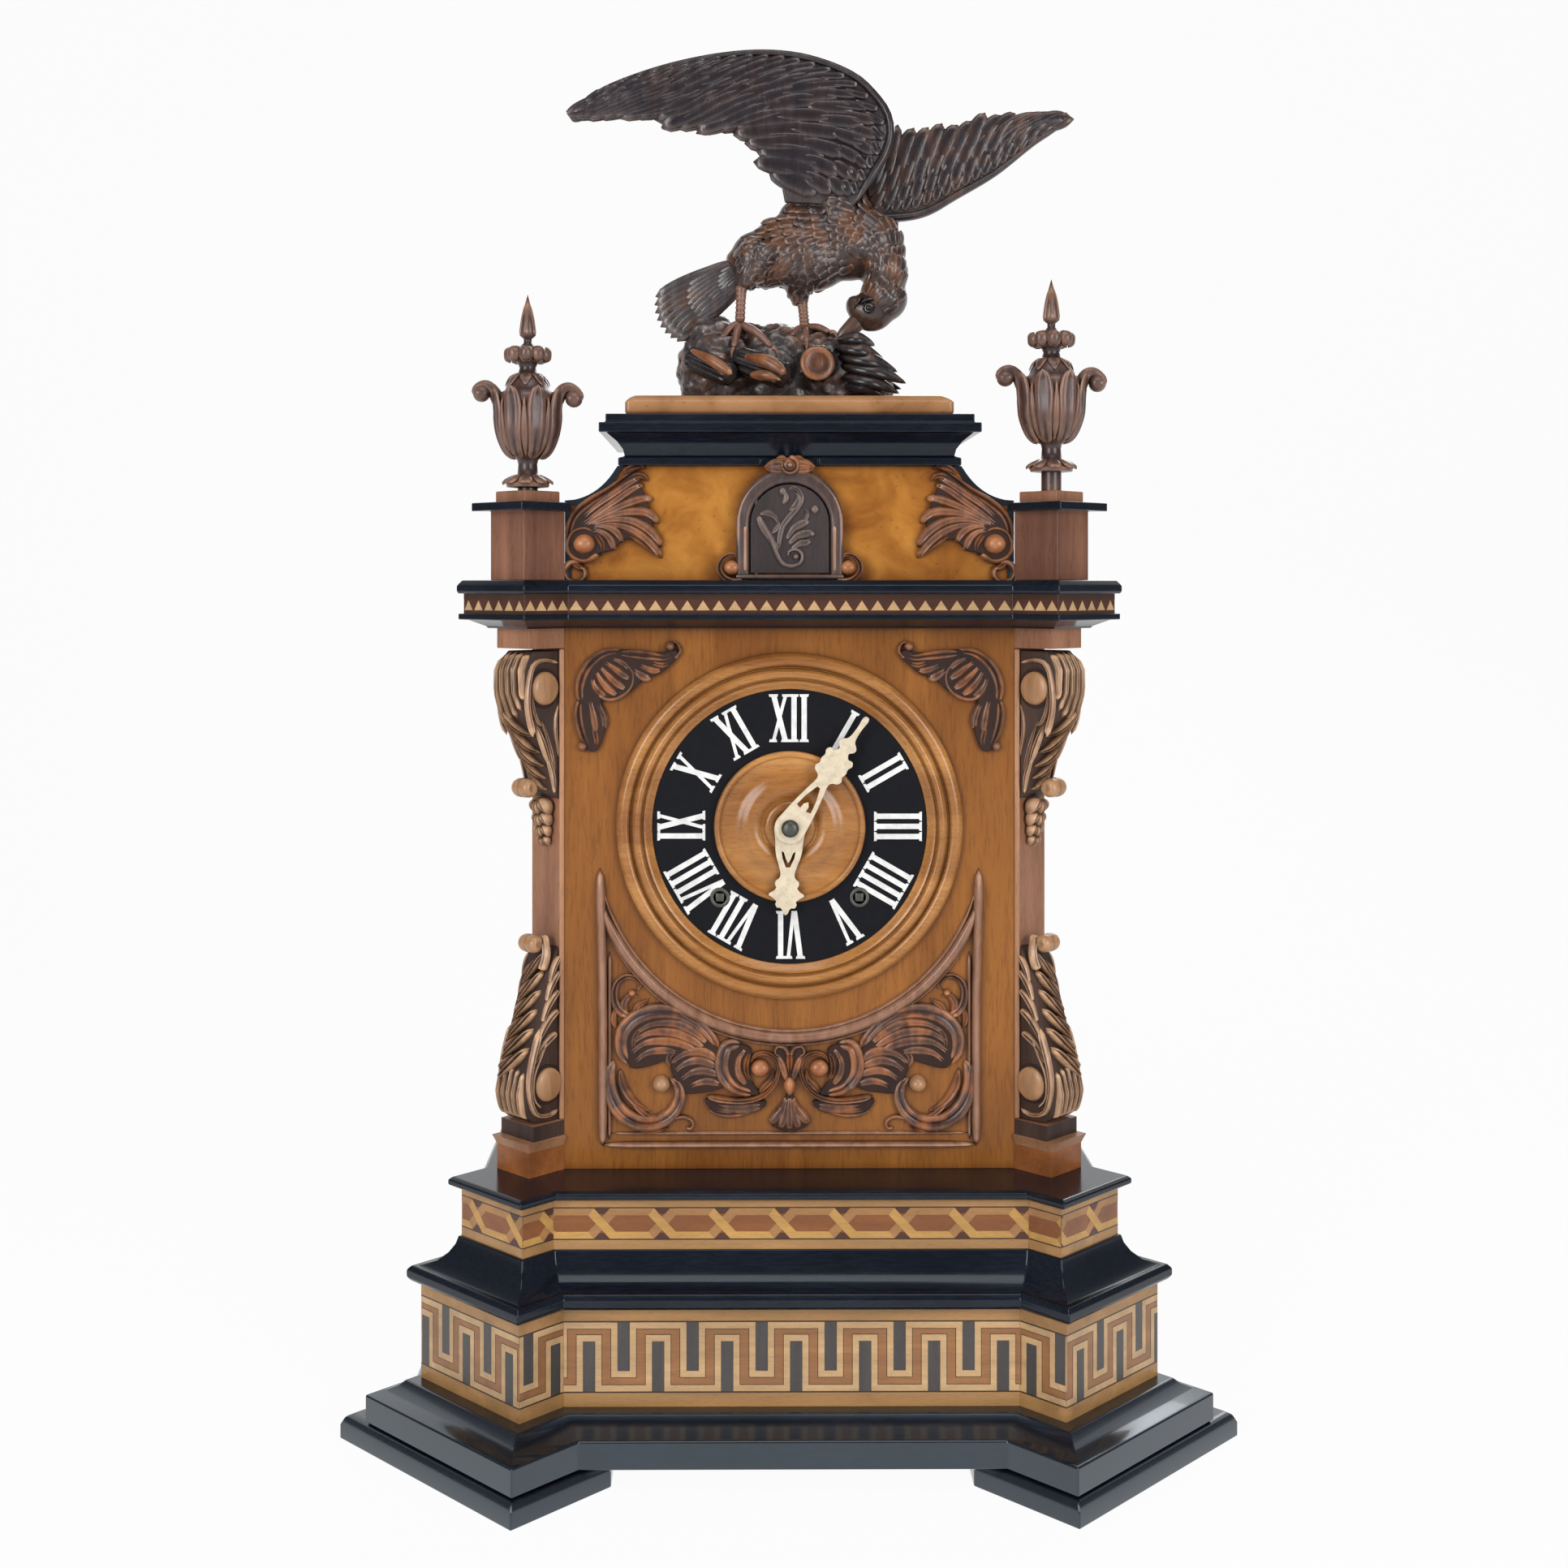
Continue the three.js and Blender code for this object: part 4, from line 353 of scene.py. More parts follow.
# %% A recipe for carved wood
def carved(name, deep, middle, ridge, warm=None, rough=(0.24, 0.38), reach=0.006, stops=(0.44, 0.52, 0.66),
           share=0.7):
    material, tree, shader = new_finish(name)
    lie = stretched(tree, (1, 1, 0.3))
    grain = noise(tree, lie, 160.0, 5.0, Roughness=0.65, Distortion=0.5)
    # Painted highlight and shade: pointiness makes the ridges light and the grooves dark, with some rubbed
    # wear on the ridges.
    edge = add_node(tree, "ShaderNodeNewGeometry")["Pointiness"]
    wobble = add_node(tree, "ShaderNodeMapRange", Value=grain, i3=-0.05, i4=0.05)[0]
    edge = add_node(tree, "ShaderNodeMath", {"operation": "ADD"}, i0=edge, i1=wobble)[0]
    colour = ramp(tree, edge, [(stops[0], deep), (stops[1], middle), (stops[2], ridge)])
    if warm:
        # Warm patches at random, with the same painted highlight on ridges and painted shade in grooves.
        warm_painted_relief = ramp(tree, edge, [(stops[0], deep), (stops[1], warm), (stops[2], ridge)])
        cloud = noise(tree, stretched(tree, (1, 1, 1)), 75.0, 3.0)
        where = ramp(tree, cloud, [(0.46, (0, 0, 0)), (0.6, (share, share, share))])
        colour = blend(tree, "MIX", where, colour, warm_painted_relief)
    # Painted shade: ambient occlusion darkens the deep parts of the carving.
    colour = painted_recess_shade(tree, colour, reach, (0.2, 0.85), (0.1, 0.085, 0.08), 0.85)
    streak = ramp(tree, grain, [(0.3, (0.7, 0.66, 0.62)), (0.6, (1.1, 1.1, 1.1))])
    colour = blend(tree, "MULTIPLY", 0.5, colour, streak)
    tool_marks = noise(tree, lie, 900.0, 4.0)
    surface_of(tree, shader, colour, grain, rough, tool_marks, 0.25)
    polish(shader, 0.5)
    return material


# In the carved finishes below, the deep colours are painted shade in grooves and the ridge colours painted
# highlights.
carving = carved("carved_walnut", (0.014, 0.007, 0.007), (0.07, 0.028, 0.02), (0.52, 0.27, 0.14),
                 (0.32, 0.104, 0.032), share=0.85)
attic_carving = carved("carved_attic", (0.02, 0.009, 0.008), (0.12, 0.046, 0.027), (0.52, 0.25, 0.12),
                       (0.26, 0.09, 0.036))
# Painted highlight: the rim finish is lighter throughout, for the light bands along the rims and beads.
rim_wood = carved("carved_rim", (0.04, 0.018, 0.012), (0.19, 0.082, 0.045), (0.56, 0.33, 0.22),
                  (0.24, 0.095, 0.042))
frame_wood = carved("door_frame", (0.014, 0.009, 0.01), (0.06, 0.039, 0.036), (0.19, 0.125, 0.1),
                    (0.09, 0.05, 0.04))
# Painted shade: this dark wood is laid under carvings and behind scroll discs to stand for shade.
shade_ground_wood = wood("painted_shade_ground", (0.05, 0.021, 0.014), (0.02, 0.009, 0.007), 0.5, "z", 60,
                   rough=(0.6, 0.8), coat=0.0)
eagle_wood = carved("carved_eagle", (0.011, 0.008, 0.009), (0.052, 0.035, 0.032), (0.42, 0.32, 0.28),
                    (0.15, 0.06, 0.026), rough=(0.2, 0.32), reach=0.005, stops=(0.45, 0.55, 0.72), share=0.85)
eagle_skin_wood = carved("eagle_skin", (0.014, 0.01, 0.01), (0.06, 0.036, 0.03), (0.3, 0.2, 0.16),
                         (0.12, 0.05, 0.026), rough=(0.2, 0.32), stops=(0.44, 0.53, 0.7), share=0.9)
tail_wood = carved("carved_tail", (0.012, 0.01, 0.012), (0.07, 0.058, 0.06), (0.36, 0.31, 0.3),
                   (0.12, 0.064, 0.042), rough=(0.18, 0.3), stops=(0.45, 0.55, 0.72), share=0.7)
wing_wood = carved("carved_wings", (0.008, 0.005, 0.007), (0.022, 0.017, 0.021), (0.21, 0.15, 0.135),
                   (0.038, 0.02, 0.018), rough=(0.2, 0.34), stops=(0.45, 0.54, 0.7), share=0.55)
right_wing_wood = carved("carved_right_wing", (0.008, 0.005, 0.007), (0.026, 0.02, 0.023), (0.26, 0.17, 0.13),
                         (0.075, 0.034, 0.02), rough=(0.2, 0.34), stops=(0.45, 0.54, 0.7), share=0.6)
upper_pier_wood = wood("upper_pier_wood", (0.36, 0.165, 0.095), (0.15, 0.062, 0.042), 0.4, "z", 40,
                       rough=(0.38, 0.5), patch=0.8)
console_wood = carved("carved_console", (0.016, 0.009, 0.008), (0.12, 0.058, 0.036), (0.66, 0.4, 0.23),
                      (0.2, 0.095, 0.05), reach=0.005, stops=(0.45, 0.505, 0.59))
console_side_wood = wood("console_sides", (0.085, 0.046, 0.034), (0.028, 0.016, 0.013), 0.6, "z", 50,
                         rough=(0.5, 0.65), coat=0.0)
plaque_wood = wood("door_plaque", (0.062, 0.045, 0.044), (0.03, 0.022, 0.023), 0.5, "z", 55,
                   rough=(0.35, 0.5), coat=0.1)
sprig_wood = carved("door_sprig", (0.02, 0.014, 0.014), (0.085, 0.06, 0.054), (0.34, 0.24, 0.19))
urn_wood = carved("carved_urn", (0.022, 0.013, 0.012), (0.085, 0.048, 0.042), (0.42, 0.22, 0.13),
                  (0.12, 0.058, 0.045))
button_wood = carved("console_buttons", (0.2, 0.095, 0.04), (0.4, 0.21, 0.1), (0.56, 0.32, 0.17))
leg_wood = carved("eagle_legs", (0.05, 0.024, 0.018), (0.14, 0.065, 0.045), (0.36, 0.18, 0.12))
beak_wood = carved("eagle_beak", (0.04, 0.022, 0.018), (0.12, 0.065, 0.048), (0.32, 0.18, 0.13))
rock_wood = carved("rock", (0.014, 0.012, 0.014), (0.07, 0.057, 0.058), (0.4, 0.33, 0.3), (0.15, 0.07, 0.038),
                   rough=(0.2, 0.34), stops=(0.44, 0.515, 0.6))
split_wood = carved("split_log_ends", (0.03, 0.012, 0.008), (0.2, 0.066, 0.02), (0.46, 0.23, 0.12),
                    (0.06, 0.024, 0.012), stops=(0.47, 0.53, 0.66))
bud_wood = carved("worn_buds", (0.12, 0.04, 0.016), (0.34, 0.12, 0.042), (0.6, 0.27, 0.12))
print("finishes so far", len(bpy.data.materials))


# %% [markdown]
# The inlays use small strips of differently coloured veneers, and the hands and numerals are bone. These
# surfaces are a few millimetres wide, so their grain is finer than on the boards.

# %% Inlay veneers, bone and metals
def strip(name, colour, along="x"):
    dark = tuple(c * 0.62 for c in colour)
    return wood(name, colour, dark, 0.2, along, 90, pores=0.25, rough=(0.26, 0.36), coat=0.3, patch=0.25)


pale_strip = strip("pale_maple_strip", (0.72, 0.46, 0.23))
gold_strip = strip("golden_strip", (0.7, 0.39, 0.11))
brown_strip = strip("brown_strip", (0.4, 0.18, 0.068))
orange_strip = strip("orange_strip", (0.32, 0.11, 0.032))
border_strip = strip("border_strip", (0.5, 0.27, 0.1))
maroon_strip = strip("maroon_strip", (0.1, 0.035, 0.02))
slate_strip = strip("slate_strip", (0.085, 0.076, 0.072), "z")
cornice_strip = strip("cornice_strip", (0.07, 0.03, 0.018))
line_strip = strip("dark_line", (0.05, 0.028, 0.016))


def plain_finish(name, colour, rough, metal=0.0, scale=120, dents=0.1, shine=0.4):
    material, tree, shader = new_finish(name)
    cloud = noise(tree, stretched(tree, (1, 1, 1)), scale, 5.0)
    tone = ramp(tree, cloud, [(0.3, tuple(c * 0.78 for c in colour)), (0.65, colour)])
    surface_of(tree, shader, tone, cloud, (rough * 0.8, rough * 1.3), cloud, dents)
    polish(shader, shine)
    shader.inputs["Metallic"].default_value = metal
    return material


bone = plain_finish("bone", (0.74, 0.63, 0.46), 0.4, scale=260)
numeral_white = plain_finish("numeral_white", (0.84, 0.84, 0.82), 0.42, scale=200)
brass = plain_finish("lacquered_brass", (0.72, 0.5, 0.2), 0.28, 1.0, 60)
steel = plain_finish("plain_steel", (0.45, 0.46, 0.48), 0.34, 1.0, 80)
nut_steel = plain_finish("dark_nut", (0.12, 0.12, 0.11), 0.45, 1.0, 300)
leather = plain_finish("bellows_leather", (0.33, 0.16, 0.08), 0.6, 0.0, 500, 0.5)
eye_black = plain_finish("eye_black", (0.012, 0.01, 0.01), 0.2)
dial_black = plain_finish("dial_black", (0.0055, 0.006, 0.009), 0.5, 0.0, 220, 0.4, 0.15)

# %% [markdown]
# ## Dressing a CAD piece
# The CAD solids come as loose triangles with knife-sharp edges. A copy is welded, its flat faces are joined
# again, and every edge gets the small round that sandpaper leaves: that round is what catches the light. The
# smooth shading of the round would bend the light on the flat face beside it too, so a Weighted Normal
# modifier gives the large face the last word. The copy then stands for the CAD piece and moves with the same
# body.

# %% Weld, soften and finish
BODY_OF = {node: body for body, nodes in frame["record"]["behaviour"]["bodies"].items() for node in nodes}
SLOT_OF = {part["node"]: part["material_slot"] for part in frame["record"]["subparts"]}


def only(piece):
    bpy.ops.object.select_all(action="DESELECT")
    piece.select_set(True)
    bpy.context.view_layer.objects.active = piece


def edit(piece, *steps):
    only(piece)
    bpy.ops.object.mode_set(mode="EDIT")
    bpy.ops.mesh.select_all(action="SELECT")
    for step in steps:
        step()
    bpy.ops.object.mode_set(mode="OBJECT")


def soften(piece, width, steps=2, angle=30):
    only(piece)
    bevel = piece.modifiers.new("softened_edges", "BEVEL")
    bevel.width, bevel.segments = mm(width), steps
    bevel.limit_method, bevel.angle_limit = "ANGLE", math.radians(angle)
    bpy.ops.object.modifier_apply(modifier=bevel.name)


def finished(piece, name, finish, *nodes, body=None, slot=None, smooth=35):
    only(piece)
    bpy.ops.object.transform_apply(location=True, rotation=True, scale=True)
    bpy.ops.object.shade_smooth_by_angle(angle=math.radians(smooth))
    piece.name = piece.data.name = name
    piece.data.materials.clear()
    piece.data.materials.append(finish)
    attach(piece, body or (BODY_OF[nodes[0]] if nodes else "case"))
    if nodes:
        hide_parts(*nodes)
    slot or (SLOT_OF[nodes[0]] if nodes else "carved_walnut")
    return piece


def copied(node):
    source = frame["nodes"][node]
    piece = bpy.data.objects.new(node + "_copy", source.data.copy())
    bpy.context.collection.objects.link(piece)
    piece.matrix_world = source.matrix_world.copy()
    edit(piece, lambda: bpy.ops.mesh.remove_doubles(threshold=0.00001),
         lambda: bpy.ops.mesh.dissolve_limited(angle_limit=math.radians(0.4)),
         lambda: bpy.ops.mesh.normals_make_consistent(inside=False))
    return piece


def lit_flat(piece):
    """Lets a large flat face outweigh the narrow rounds beside it, so that it reflects as a flat face."""
    only(piece)
    weighted = piece.modifiers.new("lit_flat", "WEIGHTED_NORMAL")
    weighted.keep_sharp = True
    bpy.ops.object.modifier_apply(modifier=weighted.name)
    return piece


def dressed(node, finish, width=0.4, steps=2, smooth=35, name=None):
    piece = copied(node)
    if width:
        soften(piece, width, steps)
    return lit_flat(finished(piece, name or node.replace("_", "-"), finish, node, smooth=smooth))


def joined(pieces):
    bpy.ops.object.select_all(action="DESELECT")
    for piece in pieces:
        piece.select_set(True)
    bpy.context.view_layer.objects.active = pieces[0]
    if len(pieces) > 1:
        bpy.ops.object.join()
    return bpy.context.object


def tidy_shell(piece, gap=0.00001):
    edit(piece, lambda: bpy.ops.mesh.remove_doubles(threshold=gap),
         lambda: bpy.ops.mesh.normals_make_consistent(inside=False))
    return piece


# %% [markdown]
# ## Boards and turned pieces
# Two shapes come back all over the clock. A board is an outline sawn from flat stock: a filled circle whose
# corners are moved to the outline and which is extruded to its thickness. A turned piece is a closed profile
# spun about an axis, as on a lathe.

# %% Sawn board
def board(outline, thick, place=Matrix.Identity(4), round_over=0.0, steps=1):
    bpy.ops.object.select_all(action="DESELECT")
    bpy.ops.mesh.primitive_circle_add(vertices=len(outline), fill_type="NGON")
    piece = bpy.context.object
    for vertex, (x, y) in zip(piece.data.vertices, outline):
        vertex.co = (mm(x), mm(y), 0)
    upwards = {"value": (0, 0, mm(thick))}
    edit(piece, lambda: bpy.ops.mesh.extrude_region_move(TRANSFORM_OT_translate=upwards),
         lambda: bpy.ops.mesh.select_all(action="SELECT"),
         lambda: bpy.ops.mesh.normals_make_consistent(inside=False))
    if round_over:
        soften(piece, round_over, steps)
    piece.data.transform(place)
    return piece


def wall_place(origin, along, up=(0, 0, 1)):
    """A board's own X runs along the wall, its Y up the wall and its Z out of it."""
    x, y = Vector(along).normalized(), Vector(up).normalized()
    z = x.cross(y)
    return Matrix.Translation(origin) @ Matrix((x, y, z)).transposed().to_4x4()


def anticlockwise(outline):
    """The outline in the order that makes a board's top face look up."""
    area = sum(a[0] * b[1] - b[0] * a[1] for a, b in zip(outline, outline[1:] + outline[:1]))
    return outline if area > 0 else outline[::-1]


def face_place(x, behind, up):
    """On the clock's face: right, up, and out towards the viewer."""
    return wall_place(at(x, behind, up), (1, 0, 0))


# %% Turned piece
def turned(profile, centre, axis=(0, 0, 1), steps=64):
    """profile is a closed outline of (radius, place along the axis) in mm, both measured from the centre."""
    turn = Vector(axis).normalized().to_track_quat("Z", "Y").to_matrix().to_4x4()
    bpy.ops.object.select_all(action="DESELECT")
    bpy.ops.mesh.primitive_circle_add(vertices=len(profile), fill_type="NOTHING")
    piece = bpy.context.object
    for vertex, (r, along) in zip(piece.data.vertices, profile):
        vertex.co = (mm(max(r, 0.0)), 0, mm(along))
    edit(piece, lambda: bpy.ops.mesh.spin(steps=steps, angle=2 * math.pi, center=(0, 0, 0), axis=(0, 0, 1)))
    tidy_shell(piece, 0.00002)
    edit(piece, lambda: bpy.ops.mesh.delete_loose(), lambda: bpy.ops.mesh.select_all(action="SELECT"),
         lambda: bpy.ops.mesh.normals_make_consistent(inside=False))
    piece.data.transform(Matrix.Translation(centre) @ turn)
    return piece


# %% Lines through points
def smooth_line(points, steps=6, closed=False):
    """A curve through the points, as a list of points: each span is divided into steps."""
    count = len(points)
    spans = count if closed else count - 1
    pick = (lambda i: points[i % count]) if closed else (lambda i: points[min(max(i, 0), count - 1)])
    line = []
    for span in range(spans):
        a, b, c, d = (np.array(pick(span + k), dtype=float) for k in (-1, 0, 1, 2))
        for step in range(steps):
            t = step / steps
            line.append(tuple(0.5 * (2 * b + (c - a) * t + (2 * a - 5 * b + 4 * c - d) * t * t
                                     + (3 * b - a - 3 * c + d) * t ** 3)))
    if not closed:
        line.append(tuple(points[-1]))
    return line

# %% [markdown]
# Thin veneers are needed by the hundred, so a board with each number of corners is modelled once. Every
# veneer is a copy of that mesh with its corners moved to the wanted outline.

# %% Veneer from a board that is modelled once
MODEL_BOARDS = {}


def veneer(outline, thick, place):
    count = len(outline)
    if count not in MODEL_BOARDS:
        angles = [2 * math.pi * i / count for i in range(count)]
        ring = [(10 * math.cos(angle), 10 * math.sin(angle)) for angle in angles]
        model = board(ring, 1.0)
        spots = [vertex.co.copy() for vertex in model.data.vertices]
        corner = [min(range(count), key=lambda i: (spot.xy * 1000 - Vector(ring[i])).length)
                  for spot in spots]
        level = [1.0 if spot.z > mm(0.5) else 0.0 for spot in spots]
        MODEL_BOARDS[count] = (model.data, corner, level)
        bpy.data.objects.remove(model)
    outline = anticlockwise(outline)
    model, corner, level = MODEL_BOARDS[count]
    mesh = model.copy()
    for vertex, c, up in zip(mesh.vertices, corner, level):
        vertex.co = place @ Vector((mm(outline[c][0]), mm(outline[c][1]), mm(thick) * up))
    piece = bpy.data.objects.new("veneer", mesh)
    bpy.context.collection.objects.link(piece)
    return piece


# %% [markdown]
# ## Carving
# Leaves, stems, scrolls and feathers are all cuts of the same kind: a ridge that follows a line, swells and
# dies away, with a flat underside on the ground. A UV sphere is drawn out along the line for each cut: its
# poles become the two ends, and its rings take the width and height of the cut at that place. A groove along
# the middle makes a vein.

# %% Cuts along a line
SPHERES = {}


def sphere_mesh(sides, rings):
    if (sides, rings) not in SPHERES:
        bpy.ops.object.select_all(action="DESELECT")
        bpy.ops.mesh.primitive_uv_sphere_add(segments=sides, ring_count=rings, radius=1)
        ball = bpy.context.object
        spots = np.array([vertex.co for vertex in ball.data.vertices])
        along = np.arccos(np.clip(spots[:, 2], -1, 1)) / math.pi
        around = np.arctan2(spots[:, 1], spots[:, 0])
        SPHERES[(sides, rings)] = (ball.data, along, around)
        bpy.data.objects.remove(ball)
    return SPHERES[(sides, rings)]


def swell(kind, t):
    """How wide a cut is along its length, from 0 to 1."""
    start = np.clip(t / 0.08, 0, 1) ** 0.5
    end = np.clip((1 - t) / 0.08, 0, 1) ** 0.5
    if kind == "stem":
        return start * end * (1 - 0.45 * t)
    if kind == "rib":
        return start * end
    if kind == "strap":
        return start * end * (0.55 + 0.45 * np.sin(math.pi * np.clip(t, 0, 1) ** 0.75))
    if kind == "scroll":
        return start * end * (1 - 0.68 * np.clip(t, 0, 1) ** 1.2)
    if kind == "flute":
        return start * np.clip(1 - t, 0, 1) ** 0.55
    if kind == "leaf":
        return np.sin(math.pi * np.clip(t, 0, 1) ** 0.8) ** 0.8
    if kind == "tongue":
        belly = 0.45 + 0.55 * np.sin(math.pi * np.clip(t, 0, 1) ** 1.3 * 0.62)
        return start * belly * np.sqrt(np.clip(1 - t ** 5, 0, 1))
    if kind == "feather":
        quill = np.clip(t / 0.25, 0, 1) ** 0.4
        return quill * np.sqrt(np.clip(1 - np.clip((t - 0.45) / 0.55, 0, 1) ** 2.4, 0, 1))
    raise ValueError(kind)


def on_front(u, v, w):
    """The usual ground of a carving: the plane of the front panel, with w towards the viewer."""
    return at(u, -w, v)


def cut(line, wide, high, kind="leaf", lay=on_front, sides=14, rings=18, vein=0.0, vein_wide=0.22, lift=0.0,
        under=0.12, normal=(0, 0, 1)):
    """line: (u, v) or (u, v, w) in mm. wide: half width, high: height. lay turns u, v, w into a place."""
    model, along, around = sphere_mesh(sides, rings)
    path = np.array(smooth_line([tuple(p) for p in line], 8), dtype=float)
    if path.shape[1] == 2:
        path = np.column_stack([path, np.zeros(len(path))])
    steps = np.linalg.norm(np.diff(path, axis=0), axis=1)
    run = np.concatenate([[0], np.cumsum(steps)]) / max(steps.sum(), 1e-9)
    t = along if kind != "round" else (1 - np.cos(math.pi * along)) / 2
    spot, ahead, back = (np.column_stack([np.interp(np.clip(t + step, 0, 1), run, path[:, k])
                                          for k in range(3)])
                         for step in (0, 0.03, -0.03))
    way = ahead - back
    way /= np.maximum(np.linalg.norm(way, axis=1), 1e-9)[:, None]
    out = np.array(normal, dtype=float)
    across = np.cross(out, way)
    across /= np.maximum(np.linalg.norm(across, axis=1), 1e-9)[:, None]
    face = np.cross(way, across)
    body = np.sin(math.pi * along) if kind == "round" else swell(kind, t)
    side, top = np.cos(around), np.sin(around)
    broad = wide * body
    tall = high * np.clip(body, 0, 1) ** 0.6
    dome = np.where(top > 0, top, under * top)
    dome = dome * (1 - vein * np.exp(-(side / vein_wide) ** 2) * (top > 0))
    places = spot + across * (side * broad)[:, None] + face * (dome * tall + lift)[:, None]
    return moved_sphere(model, places, lay)


def moved_sphere(model, places, lay):
    """A copy of the model sphere with its vertices moved to the given places."""
    mesh = model.copy()
    mesh.vertices.foreach_set("co", np.array([lay(*place) for place in places]).ravel())
    piece = bpy.data.objects.new("cut", mesh)
    bpy.context.collection.objects.link(piece)
    return piece


def boss(u, v, r, high, lay=on_front, sides=16, rings=10, lift=0.0):
    """A round knob on the ground."""
    return cut([(u - r, v), (u, v), (u + r, v)], r, high, "round", lay, sides, rings, lift=lift)


def whole_carving(cuts, name, finish, *nodes, **more):
    piece = joined(cuts)
    tidy_shell(piece, 0.000004)
    return finished(piece, name, finish, *nodes, smooth=60, **more)

# %% [markdown]
# ## The case: black mouldings, veneered panel and piers
# The base and the cornice are stacks of black mouldings with an inlaid frieze between them. Their shapes
# are right in the CAD model, so they are dressed. The wide cove gets a broader softening than the thin
# fillets. An upper pier and its black cap are one piece, so its faces are painted by their height: black
# above the cap's underside. The rear door has a small turned knob.

# %% Mouldings, panel and carcass
for node, finish, width in [("foot_left", black, 0.8), ("foot_right", black, 0.8),
                            ("plinth_moulding", black, 0.9), ("bead_cove_moulding", deep_black, 0.7),
                            ("base_cap", deep_black, 0.6), ("cornice_lower", deep_black, 0.5),
                            ("cornice_top", deep_black, 0.6), ("top_moulding", deep_black, 0.7)]:
    dressed(node, finish, width, 3, smooth=50)
dressed("front_panel", panel_wood, 0.5)
dressed("case_carcass", side_wood, 0.4)
dressed("rear_door", side_wood, 0.6)
dressed("top_plate", plate_wood, 2.6, 5)
dressed("attic_box", burr, 0.4)
PIER_CAP_UNDERSIDE = 512.6
for side in SIDES:
    upper_pier = dressed("upper_pier_" + side, upper_pier_wood, 0.5)
    upper_pier.data.materials.append(deep_black)
    for face in upper_pier.data.polygons:
        face.material_index = 1 if face.center.z * 1000 > PIER_CAP_UNDERSIDE else 0
knob_profile = [(0, -0.5), (3.6, -0.5), (3.6, 0.6), (1.6, 1.2), (1.4, 2.4), (2.8, 3.0), (3.3, 3.9),
                (2.4, 4.6), (0, 4.8)]
door_knob = turned(knob_profile, at(-80, 170, 307), (0, 1, 0), 28)
finished(door_knob, "rear-door-knob", brass, body="rear_door", slot="brass", smooth=50)

# %% [markdown]
# A corner pier has a reddish block at its foot, a thin light lip over it, and a dark neck above the lip.
# They are one piece of wood, so its faces are given one of four finishes by their height. A thin bead runs
# down between each pier and the front panel.

# %% Corner piers and their beads
PIER_BLOCK_TOP, PIER_LIP_TOP, PIER_NECK_TOP = 163.4, 168.6, 176.6
BEAD_X, BEAD_LOW, BEAD_HIGH = 126.0, 177, 437
for side, sign in SIDES.items():
    pier = dressed("pier_" + side, pier_wood, 0.4)
    for finish in (block_wood, lip_wood, console_side_wood):
        pier.data.materials.append(finish)
    for face in pier.data.polygons:
        z = face.center.z * 1000
        below = [z < PIER_BLOCK_TOP, z < PIER_LIP_TOP, z < PIER_NECK_TOP]
        face.material_index = below.index(True) + 1 if any(below) else 0
    near, far = sign * BEAD_X - 1.5, sign * BEAD_X + 1.5
    bead_outline = [(near, BEAD_LOW), (far, BEAD_LOW), (far, BEAD_HIGH), (near, BEAD_HIGH)]
    bead = board(bead_outline, 3.4, face_place(0, 2.2, 0), 0.9, 3)
    finished(bead, "pier-bead-" + side, lip_wood, body="case", slot=SLOT_OF["pier_" + side])

# %% [markdown]
# ## Inlaid friezes
# Each frieze is a box with many faces: side, chamfer, a short return, and the front. The veneers are cut as
# thin boards and laid on every face. A face is described by its length, and each veneer by a run along the
# face and a height, so the same pattern can be laid anywhere.

# %% Faces of a tier
CASE_BACK = 175
VENEER = 0.4


def tier_faces(wide, reach, front, centre=142.2):
    """The corners of half a tier, from the rear to the middle of the front, and each face's direction."""
    diagonal = wide - reach
    inner, side = centre - (reach - front), front + diagonal
    left = [(-side, CASE_BACK), (-side, diagonal - inner), (-wide, wide - centre - reach), (-centre, -reach),
            (-inner, -front)]
    ring = left + [(-x, y) for x, y in reversed(left)]
    names = ["side_left", "back_left", "chamfer_left", "return_left", "front", "return_right",
             "chamfer_right", "back_right", "side_right"]
    return {name: (ring[i], ring[i + 1]) for i, name in enumerate(names)}


def clipped(outline, length):
    """The part of an outline that lies on the face, between 0 and its length."""
    for edge, keep in ((0.15, 1), (length - 0.15, -1)):
        result = []
        for (x0, y0), (x1, y1) in zip(outline, outline[1:] + outline[:1]):
            inside0, inside1 = (x0 - edge) * keep >= 0, (x1 - edge) * keep >= 0
            if inside0:
                result.append((x0, y0))
            if inside0 != inside1:
                share = (edge - x0) / (x1 - x0)
                result.append((edge, y0 + (y1 - y0) * share))
        outline = result
        if len(outline) < 3:
            return []
    return outline


class Inlay:
    """Veneers laid on the faces of one tier, kept by finish until they are joined."""

    def __init__(self, plan):
        self.faces = tier_faces(*plan)
        self.cut = {}

    def lay(self, face, outline, finish, proud):
        (x0, y0), (x1, y1) = self.faces[face]
        length = self.length(face)
        outline = clipped(outline, length)
        if not outline:
            return
        along = Vector((x1 - x0, y1 - y0, 0)) / length
        out = along.cross(Vector((0, 0, 1)))
        start = at(x0, y0, 0) + out * mm(proud - VENEER)
        self.cut.setdefault(finish, []).append(veneer(outline, VENEER, wall_place(start, along)))

    def length(self, face):
        (x0, y0), (x1, y1) = self.faces[face]
        return math.hypot(x1 - x0, y1 - y0)

    def join(self, name):
        for finish, boards in self.cut.items():
            piece = joined(boards)
            finished(piece, name + "-" + finish.name, finish, body="case", slot="inlay")
        print(name, {finish.name: len(boards) for finish, boards in self.cut.items()})


def bar_shape(s0, s1, z0, z1):
    return [(s0, z0), (s1, z0), (s1, z1), (s0, z1)]


